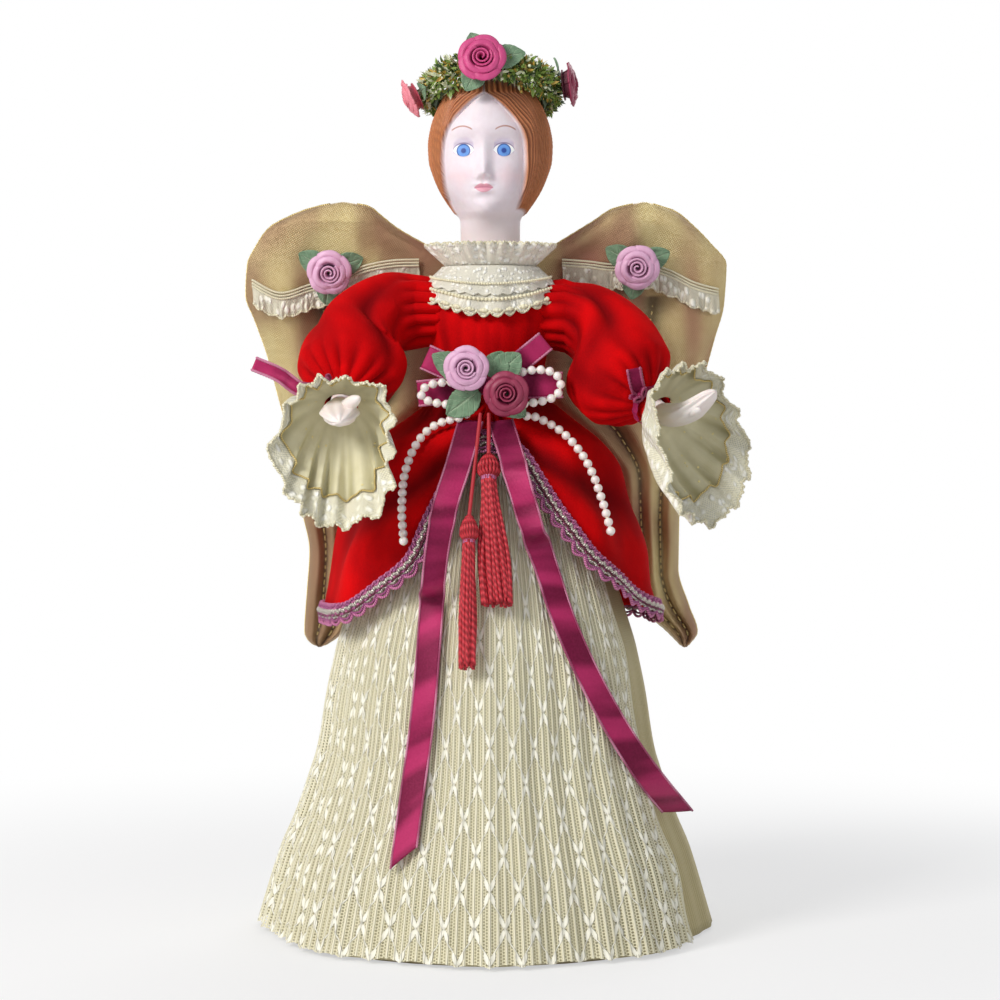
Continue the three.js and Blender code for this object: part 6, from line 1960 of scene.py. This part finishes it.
def hand(name, arm, wrist, forearm):
    def reach(place):
        return wrist + np.array([arm["side"] * place[0], place[1], place[2]]) * HAND_LENGTH

    stub = wrist - forearm * HAND_WRIST
    mouth = wrist + forearm * HAND_WRIST
    route = Route([stub, mouth, reach(arm["palm"]), reach(arm["fingers"])])
    angle = np.linspace(0, TURN, 65)
    rings = []
    for t in np.concatenate([np.linspace(0, 0.9, 40), np.linspace(0.915, 1, 12)]):
        width = HAND_WRIST * HAND_WIDTH(t)
        depth = HAND_WRIST * HAND_DEPTH(t)
        knuckle = ease((t - 0.55) / 0.2) * 0.09 * np.cos(angle * 8) * (np.sin(angle) > -0.9)
        closing = math.sqrt(max(1 - ((t - 0.93) / 0.075) ** 2, 0.02)) if t > 0.93 else 1
        rings.append(round_ring(route.point(t), route.tangent(t), width * (1 + knuckle) * closing,
                                depth * (1 + knuckle) * closing, angle))
    shape = Shape()
    shape.sheet(np.stack(rings, 1), loop=True, caps=True)
    thumb = Route([route.point(0.5), reach(arm["thumb"])])
    rings = []
    for t in np.linspace(0, 1, 22):
        radius = HAND_WRIST * THUMB_WIDTH(t)
        closing = math.sqrt(max(1 - ((t - 0.86) / 0.145) ** 2, 0.02)) if t > 0.86 else 1
        swollen = 1 + 0.12 * swell(t, 0.62, 0.16)
        rings.append(round_ring(thumb.point(t), thumb.tangent(t), radius * closing * swollen,
                                radius * closing * swollen, np.linspace(0, TURN, 33)))
    shape.sheet(np.stack(rings, 1), loop=True, caps=True)
    shape.make(f"{name}_bisque_hand", f"{name}_arm", PLAIN_BISQUE, [f"{name}_hand"])


def ribbon(shape, at, side, out, width, wave=0.0):
    """Satin ribbon along stations, with a stitched picot on both edges."""
    across = np.linspace(-0.5, 0.5, 9)
    along = lengths_along(at)
    width = np.broadcast_to(width, (len(at),))
    sway = wave * np.sin(along / 9.0)
    points = at[None] + side[None] * (across[:, None] * width[None])[..., None] \
        + out[None] * (sway * (1 - 4 * across[:, None] ** 2))[..., None]
    pattern = np.stack([across[:, None] * width[None], np.broadcast_to(along, points.shape[:2])], -1)
    shape.sheet(points, pattern)
    for edge in (0, -1):
        line = spaced(points[edge], max(int(along[-1] / 0.3), 8))
        beads = 0.24 + 0.1 * np.sin(np.arange(len(line)) * 2.1)
        shape.tube(line, beads, 5, 1)


def tie_band(shape, forearm, middle, inside):
    """The part of a tie that is gathered round the wrist."""
    angle = np.linspace(0, TURN, 73)
    spokes = round_ring(np.zeros(3), forearm, np.ones_like(angle), np.ones_like(angle), angle)
    lanes = np.linspace(-1.25, 1.25, 7)
    band = middle + spokes[:, None] * (inside + 0.45 + 0.18 * np.sin(angle * 13))[:, None, None] \
        + forearm * lanes[None, :, None]
    shape.sheet(band, np.stack(np.broadcast_arrays(lanes[None, :], (angle * inside)[:, None]), -1), loop=True)


def tie_loops(shape, forearm, middle, root):
    """Two short loops of a tie, and the knot between them."""
    knot = middle + root * 1.02
    for lean in (-0.9, 0.9):
        loop_dir = unit(np.cross(forearm, unit(root)) * lean + unit(root) * 0.55)
        theta = np.linspace(0.05, TURN - 0.05, 31)
        reach = 3.1 * (0.5 - 0.5 * np.cos(theta))
        line = knot + loop_dir * reach[:, None] + unit(root) * (0.9 * np.sin(theta))[:, None]
        ahead = unit(np.gradient(line, axis=0))
        across = np.broadcast_to(forearm, ahead.shape)
        across = unit(across - ahead * (ahead * across).sum(-1, keepdims=True))
        ribbon(shape, line, across, unit(np.cross(across, ahead)), 2.4)
    shape.stamp(SMALL_BALL, knot + unit(root) * 0.35, 1.15)


def wrist_ribbon(name, arm, wrist, forearm):
    inside = SLEEVE_WRIST + SEAM * 2
    middle = wrist - forearm * TIE_BACK
    shape = Shape()
    tie_band(shape, forearm, middle, inside)
    places = [middle + np.array(place) * arm["tie_reach"] for place in arm["tie"]]
    root = places[0] - middle
    root = root - forearm * np.dot(root, forearm)
    root = root / np.linalg.norm(root) * (inside + 0.7)
    places[0] = middle + root
    route = Route(places)
    at = route.spaced(48)
    ahead = unit(np.gradient(at, axis=0))
    side = unit(np.cross(ahead, [0.0, 1.0, 0.0]))
    out = unit(np.cross(side, ahead))
    neck = mix(1.6, 4.0, ease(np.linspace(0, 3, 49)))
    ribbon(shape, at, side, out, neck, wave=0.5)
    tie_loops(shape, forearm, middle, root)
    shape.make(f"{name}_satin_tie", f"{name}_arm", [WINE_SATIN, PICOT], [f"{name}_wrist_ribbon"], wall=0.22)


def dress_arm(name):
    arm = ARMS[name]
    shoulder = SHOULDER * np.array([arm["side"], 1, 1])
    local = [np.array([arm["side"] * ARM_OUT * out, -ARM_FORWARD * forward, -ARM_DROP * down])
             for out, forward, down in arm["route"]]
    forearm = unit(local[-1] - local[-2])
    wrist = shoulder + local[-1]
    sleeve(name, arm, Route(local), shoulder)
    cuff(name, arm, wrist)
    hand(name, arm, wrist, forearm)
    wrist_ribbon(name, arm, wrist, forearm)


dress_arm("right")
dress_arm("left")


# Waist bow, ribbon tails and corsage

BOW_HEIGHT = 174
BOW_DEPTH = 2.2
BOW_WIDTH = 7.6
BOW_REACH = 23
KNOT_HALF = 4.2
BOW_LOOPS = [(-0.88, 0.4, 1), (-0.99, -0.1, 1), (0.76, 0.62, 0.82), (0.99, 0.02, 1)]
TAIL_WIDTH = 7.6
TAIL_LIFT = 1.65
TAIL_TOP = 163
TAIL_DROP = 135
RIGHT_TAIL = [(-0.045, 0), (-0.073, 0.1), (-0.104, 0.2), (-0.126, 0.33), (-0.138, 0.5), (-0.15, 0.65),
              (-0.172, 0.82), (-0.196, 1)]
LEFT_TAIL = [(0.024, 0), (0.055, 0.1), (0.09, 0.22), (0.13, 0.34), (0.175, 0.47), (0.245, 0.62), (0.34, 0.78),
             (0.452, 0.93)]
WAIST_FRONT = float(front_depth(np.array(0.0), np.array(BOW_HEIGHT - KNOT_HALF)))
BOW_FRONT = WAIST_FRONT + SEAM + BOW_DEPTH * 2
CORSAGE_BACK = BOW_FRONT + SEAM * 2 + PEARL_RADIUS * 2
CORSAGE_FRONT = CORSAGE_BACK + LEAF_WALL
WAIST_ROSE = 7.2
CORSAGE_MIDDLE = (-1.1, 174.2)
WAIST_LEAVES = [(0.417, 1, 1), (0.12, 0.74, 1), (0.18, 0.6, 0.9), (0.6, 0.79, 1), (0.894, 0.79, 0.9)]


def bow():
    shape = Shape()
    centre = np.array([0, SEAM + BOW_DEPTH - BOW_FRONT, BOW_HEIGHT])
    theta = np.linspace(0, TURN, 65)
    for k, (across, up, width_share) in enumerate(BOW_LOOPS):
        reach = BOW_REACH * math.hypot(across, up)
        along = unit(np.array([across, 0.0, up]))
        side = np.array([-along[2], 0, along[0]])
        far = reach * mix(0.04, 1, 0.5 - 0.5 * np.cos(theta))
        deep = (BOW_DEPTH - RIBBON) * np.sin(theta) * mix(0.35, 1, far / reach)
        half_share = mix(0.45, 1, ease(2 * far / reach))
        at = centre + along * far[:, None] + np.array([0, 1, 0]) * deep[:, None]
        outward = np.stack([0 * theta, np.sin(theta), 0 * theta], -1)
        out = unit(outward - along * (0.35 * np.cos(theta))[:, None])
        crease = 0.28 * np.sin(theta * 3 + k)
        ribbon(shape, at + out * crease[:, None] * 0.5, np.broadcast_to(side, at.shape), out,
               BOW_WIDTH * width_share * half_share)
    angle = np.linspace(0, TURN, 49)
    shares = np.linspace(-1, 1, 13)
    knot = []
    for s in shares:
        radius = 3.3 * math.sqrt(max(1 - (s * 0.93) ** 2, 0.03)) + 0.12 * np.sin(angle * 9)
        knot.append(np.stack([radius * np.cos(angle), np.full_like(angle, -BOW_FRONT + 1.1 - s * 1.6),
                              BOW_HEIGHT + radius * np.sin(angle)], -1))
    shape.sheet(np.stack(knot, 1), loop=True, caps=True)
    shape.make("satin_bow", "gown", [WINE_SATIN, PICOT], ["waist_bow"], wall=0.3, offset=0)


LAY_SAMPLES = 5
LAY_PASSES = 5
BAND_TILT = 0.5
TAIL_RINGS = 24


def smooth_line(places, t):
    """Uniform Catmull-Rom through flat places, at a share of its spans."""
    spans = len(places) - 1
    k = min(int(t * spans), spans - 1)
    w = t * spans - k
    p = [places[max(k - 1, 0)], places[k], places[k + 1], places[min(k + 2, spans)]]
    start, end = (p[2] - p[0]) * 0.5, (p[3] - p[1]) * 0.5
    return (2 * p[1] - 2 * p[2] + start + end) * w ** 3 + (-3 * p[1] + 3 * p[2] - 2 * start - end) * w * w \
        + start * w + p[1]


def band_rest(x, z, width):
    """How far forward a band lies at a place, and how it tilts across its width."""
    half = width / 2
    slope = np.clip((front_depth(x + half, z) - front_depth(x - half, z)) / width, -BAND_TILT, BAND_TILT)
    reach = [front_depth(x + dx, z) - slope * dx for dx in (-half, -half / 2, 0, half / 2, half)]
    return np.max(reach, axis=0), slope


def laid_stations(places, count, lift, width):
    """Stations of a band laid on the dressed front, from places seen from the front."""
    flat = np.array(places, float)
    dense = np.array([smooth_line(flat, t) for t in np.linspace(0, 1, 400)])
    route = spaced(dense, count * LAY_SAMPLES)
    depth, slope = band_rest(route[:, 0], route[:, 1], width)
    stops = depth[::LAY_SAMPLES].copy()
    for _ in range(LAY_PASSES):
        for k, wanted in enumerate(depth):
            i = min(k // LAY_SAMPLES, count - 1)
            t = k / LAY_SAMPLES - i
            short = max(wanted - mix(stops[i], stops[i + 1], t), 0)
            stops[i] += short * (1 - t)
            stops[i + 1] += short * t
    spots = route[::LAY_SAMPLES]
    at = np.stack([spots[:, 0], -(stops + lift), spots[:, 1]], -1)
    along = unit(np.gradient(at, axis=0))
    side = np.stack([np.ones(len(at)), -slope[::LAY_SAMPLES], np.zeros(len(at))], -1)
    side = unit(side - along * (side * along).sum(-1, keepdims=True))
    out = unit(np.cross(side, along))
    out = out * -np.sign(out[:, 1:2])
    return at, side, out


def ribbon_tail(name, shares):
    places = [(across * TAIL_DROP, TAIL_TOP - down * TAIL_DROP) for across, down in shares]
    stations = laid_stations(places, TAIL_RINGS, TAIL_LIFT, TAIL_WIDTH)
    fine = [Route(line) for line in stations]
    steps = np.linspace(0, 1, 193)
    at = np.array([fine[0].point(t) for t in steps])
    side = unit(np.array([fine[1].point(t) for t in steps]))
    out = unit(np.array([fine[2].point(t) for t in steps]))
    across = np.linspace(-0.5, 0.5, 13)
    length = path_length(at)
    along = np.linspace(0, length, len(at))
    slant = 1 if name == "right" else -1
    shape = Shape()
    rows = []
    for share in across:
        cut = mix(1.0, 1.0 - 7.0 / length, 0.5 + slant * share)
        here = steps * cut
        rows.append(np.stack([np.interp(here, steps, (at + side * share * TAIL_WIDTH)[:, k])
                              for k in range(3)], -1))
    points = np.array(rows)
    bulge = 0.22 * (1 - 4 * across[:, None] ** 2) + 0.1 * np.sin(along / 6.5)[None]
    points = points + out[None] * (0.25 + bulge)[..., None]
    pattern = np.stack(np.broadcast_arrays(across[:, None] * TAIL_WIDTH, along[None]), -1)
    shape.sheet(points, pattern)
    for edge in (0, -1):
        line = spaced(points[edge], int(length / 0.3))
        shape.tube(line, 0.25 + 0.1 * np.sin(np.arange(len(line)) * 2.1), 5, 1)
    shape.make(f"{name}_satin_tail", "gown", [WINE_SATIN, PICOT], [f"{name}_ribbon_tail"],
               wall=0.25, offset=0)


def corsage():
    at = facing((CORSAGE_MIDDLE[0], -(CORSAGE_BACK + LEAF_WALL / 2), CORSAGE_MIDDLE[1]), (0, -1, 0))
    blades = [(angle, length * 19, width * 9) for angle, length, width in WAIST_LEAVES]
    leaf_cluster("corsage_leaves", "gown", at, blades, ["waist_leaves"], 8.3, 31)
    roses = (("pink", -7.4, 179.5, PINK_PETAL), ("burgundy", 5.1, 171.6, WINE_PETAL))
    for name, across, height, satin in roses:
        seat = facing((across, -(CORSAGE_FRONT + LEAF_WALL / 2 + SEAM), height), (0, -1, 0))
        rose(f"{name}_corsage_rose", "gown", seat, WAIST_ROSE, satin, [f"{name}_waist_rose"], seed=len(name))


bow()
ribbon_tail("right", RIGHT_TAIL)
ribbon_tail("left", LEFT_TAIL)
corsage()


# Tassels

TASSEL_LEAN = math.atan(0.48)
TASSEL_HANG = (26.3, 165.5)
TASSEL_CORD = 0.6
TASSEL_HEAD = 7.4
TASSEL_THICK = 4
HEAD_STRANDS = 18
HEAD_WHIPPING = 5
GOLDEN_ANGLE = 2.39996
TASSELS = {
    "upper": {"hang": -0.4, "head": (-0.4, 14.4), "radius": 3.4, "tip": (2.4, 62.7), "tuck": 5.6, "half": 5.6,
              "strands": 34},
    "lower": {"hang": -3, "head": (-6.4, 35.3), "radius": 2.6, "tip": (-6.9, 81.9), "tuck": 8.9, "half": 3,
              "strands": 20},
}


def tassel_place(across, down, out=0.0):
    """Place in the leaning plane that a tassel hangs in."""
    lean, fall = math.sin(TASSEL_LEAN), math.cos(TASSEL_LEAN)
    return np.stack(np.broadcast_arrays(across, -TASSEL_HANG[0] - down * lean - out * fall,
                                        TASSEL_HANG[1] - down * fall + out * lean), -1)


def tucked(facts, below):
    """How far a tassel is tucked back, at a length below the top of its head."""
    return facts["tuck"] * below / (facts["tip"][1] - facts["head"][1])


def tassel_head(shape, facts):
    """Strands over the head, the whipping under it and the bead on top."""
    head_x, head_down = facts["head"]
    for k in range(HEAD_STRANDS):
        angle = k / HEAD_STRANDS * TURN
        s = np.linspace(0.02, 1, 14)
        bulge = facts["radius"] * (0.25 + 0.72 * np.sin(np.minimum(s * 1.25, 1) * math.pi * 0.62) ** 0.9) \
            * (1 - 0.42 * ease((s - 0.7) / 0.3))
        tuck = tucked(facts, s * TASSEL_HEAD)
        shape.tube(tassel_place(head_x + bulge * math.cos(angle), head_down + s * TASSEL_HEAD,
                                bulge * math.sin(angle) - tuck), 0.52, 6)
    for k in range(HEAD_WHIPPING):
        angle = np.linspace(0, TURN, 29)[:-1]
        r = facts["radius"] * 0.66
        tuck = tucked(facts, TASSEL_HEAD)
        shape.tube(tassel_place(head_x + r * np.cos(angle), head_down + TASSEL_HEAD - 1.1 + k * 0.42,
                                r * np.sin(angle) - tuck), 0.3, 5, 1, True)
    shape.stamp(SMALL_BALL, tassel_place(head_x, head_down + 0.6), 1.5)


def tassel_fringe(shape, facts, chance):
    head_x, head_down = facts["head"]
    tip_x, tip_down = facts["tip"]
    for k in range(facts["strands"]):
        ring = 0.42 + 0.58 * math.sqrt((k + 0.5) / facts["strands"])
        angle = k * GOLDEN_ANGLE
        s = np.linspace(0, 1, 26)
        spread = ease(s * 1.3)
        half = mix(facts["radius"] * 0.62, facts["half"] - 0.5, spread) * ring
        thick = mix(facts["radius"] * 0.62, TASSEL_THICK / 2 - 0.5, spread) * ring
        sway = 0.35 * np.sin(s * chance.uniform(4, 8) + chance.uniform(0, TURN)) * s
        down = head_down + TASSEL_HEAD + s * (tip_down - head_down - TASSEL_HEAD - chance.uniform(0, 2.6))
        across = mix(head_x, tip_x, s) + half * math.cos(angle) + sway
        strand = tassel_place(across, down, thick * math.sin(angle) - tucked(facts, down - head_down))
        shape.tube(strand, 0.62, 6, start=chance.uniform(0, 4))


def tassel(name):
    facts = TASSELS[name]
    body = f"{name}_tassel"
    head_x, head_down = facts["head"]
    top = tassel_place(facts["hang"], 0)
    head_top = tassel_place(head_x, head_down - SEAM)
    line = spaced(np.array([top, head_top]), 24)
    cord = curve_object(f"{name}_silk_cord", line, TASSEL_CORD, body, CRIMSON, [f"{name}_tassel_cord"])
    shape = Shape()
    tassel_head(shape, facts)
    tassel_fringe(shape, facts, random.Random(SEED + len(name)))
    fringe = shape.make(f"{name}_silk_tassel", body, [CRIMSON, GIMP_PINK], [f"{name}_tassel"])
    if name == "lower":
        tuple(line[0] * MM)


tassel("upper")
tassel("lower")


# Floor and light

def seen_directly(tree):
    """1 for rays that look at the backdrop, 0 for those that carry its light."""
    path = tree.nodes.new("ShaderNodeLightPath")
    seen = Field(tree, path.outputs["Is Camera Ray"]).most(Field(tree, path.outputs["Is Glossy Ray"]))
    return seen.most(Field(tree, path.outputs["Is Transmission Ray"]))


def floor():
    f = bpy.data.materials.new("pale_floor")
    f.use_nodes = True
    tree = f.node_tree
    tree.nodes.clear()
    output = tree.nodes.new("ShaderNodeOutputMaterial")
    matt = tree.nodes.new("ShaderNodeBsdfDiffuse")
    matt.inputs["Color"].default_value = (0.86, 0.86, 0.86, 1)
    glow = tree.nodes.new("ShaderNodeEmission")
    glow.inputs["Strength"].default_value = 1.0
    spot = tree.nodes.new("ShaderNodeTexCoord")
    parts = tree.nodes.new("ShaderNodeSeparateXYZ")
    tree.links.new(spot.outputs["Object"], parts.inputs[0])
    x, y = (Field(tree, socket) for socket in parts.outputs[:2])
    far = (x * x + y * y).root().over(0.14, 0.42)
    share = (far * 0.45 + 0.55) * seen_directly(tree)
    blend = tree.nodes.new("ShaderNodeMixShader")
    tree.links.new(share.socket, blend.inputs[0])
    tree.links.new(matt.outputs[0], blend.inputs[1])
    tree.links.new(glow.outputs[0], blend.inputs[2])
    tree.links.new(blend.outputs[0], output.inputs["Surface"])
    mesh = bpy.data.meshes.new("floor")
    half = 3.0
    corners = [(-half, -half, 0), (half, -half, 0), (half, half, 0), (-half, half, 0)]
    mesh.from_pydata(corners, [], [[0, 1, 2, 3]])
    mesh.materials.append(f)
    obj = linked("floor", mesh)
    obj.location.z = -0.0002


def world():
    sky = bpy.data.worlds.new("studio")
    bpy.context.scene.world = sky
    sky.use_nodes = True
    tree = sky.node_tree
    tree.nodes.clear()
    output = tree.nodes.new("ShaderNodeOutputWorld")
    lit = tree.nodes.new("ShaderNodeBackground")
    lit.inputs["Color"].default_value = (0.93, 0.95, 1.0, 1)
    lit.inputs["Strength"].default_value = 0.36
    white = tree.nodes.new("ShaderNodeBackground")
    white.inputs["Strength"].default_value = 1.0
    white.inputs["Color"].default_value = (1, 1, 1, 1)
    blend = tree.nodes.new("ShaderNodeMixShader")
    tree.links.new(seen_directly(tree).socket, blend.inputs[0])
    tree.links.new(lit.outputs[0], blend.inputs[1])
    tree.links.new(white.outputs[0], blend.inputs[2])
    tree.links.new(blend.outputs[0], output.inputs["Surface"])


def lamp(name, place, aim, size, power, tone=(1, 1, 1)):
    data = bpy.data.lights.new(name, "AREA")
    data.energy = power
    data.size = size
    data.color = tone
    obj = linked(name, data)
    obj.location = place
    obj.rotation_euler = (Vector(aim) - Vector(place)).to_track_quat("-Z", "Y").to_euler()


floor()
world()
MIDDLE = (0, 0, 0.14)
lamp("key", (-0.8, -0.75, 0.8), MIDDLE, 0.4, 12, (1, 0.98, 0.95))
lamp("fill", (0.9, -0.9, 0.4), MIDDLE, 0.9, 1.6, (0.96, 0.98, 1))
lamp("back", (0.3, 1.0, 0.7), MIDDLE, 0.8, 5)

bpy.context.scene.view_settings.view_transform = "Standard"
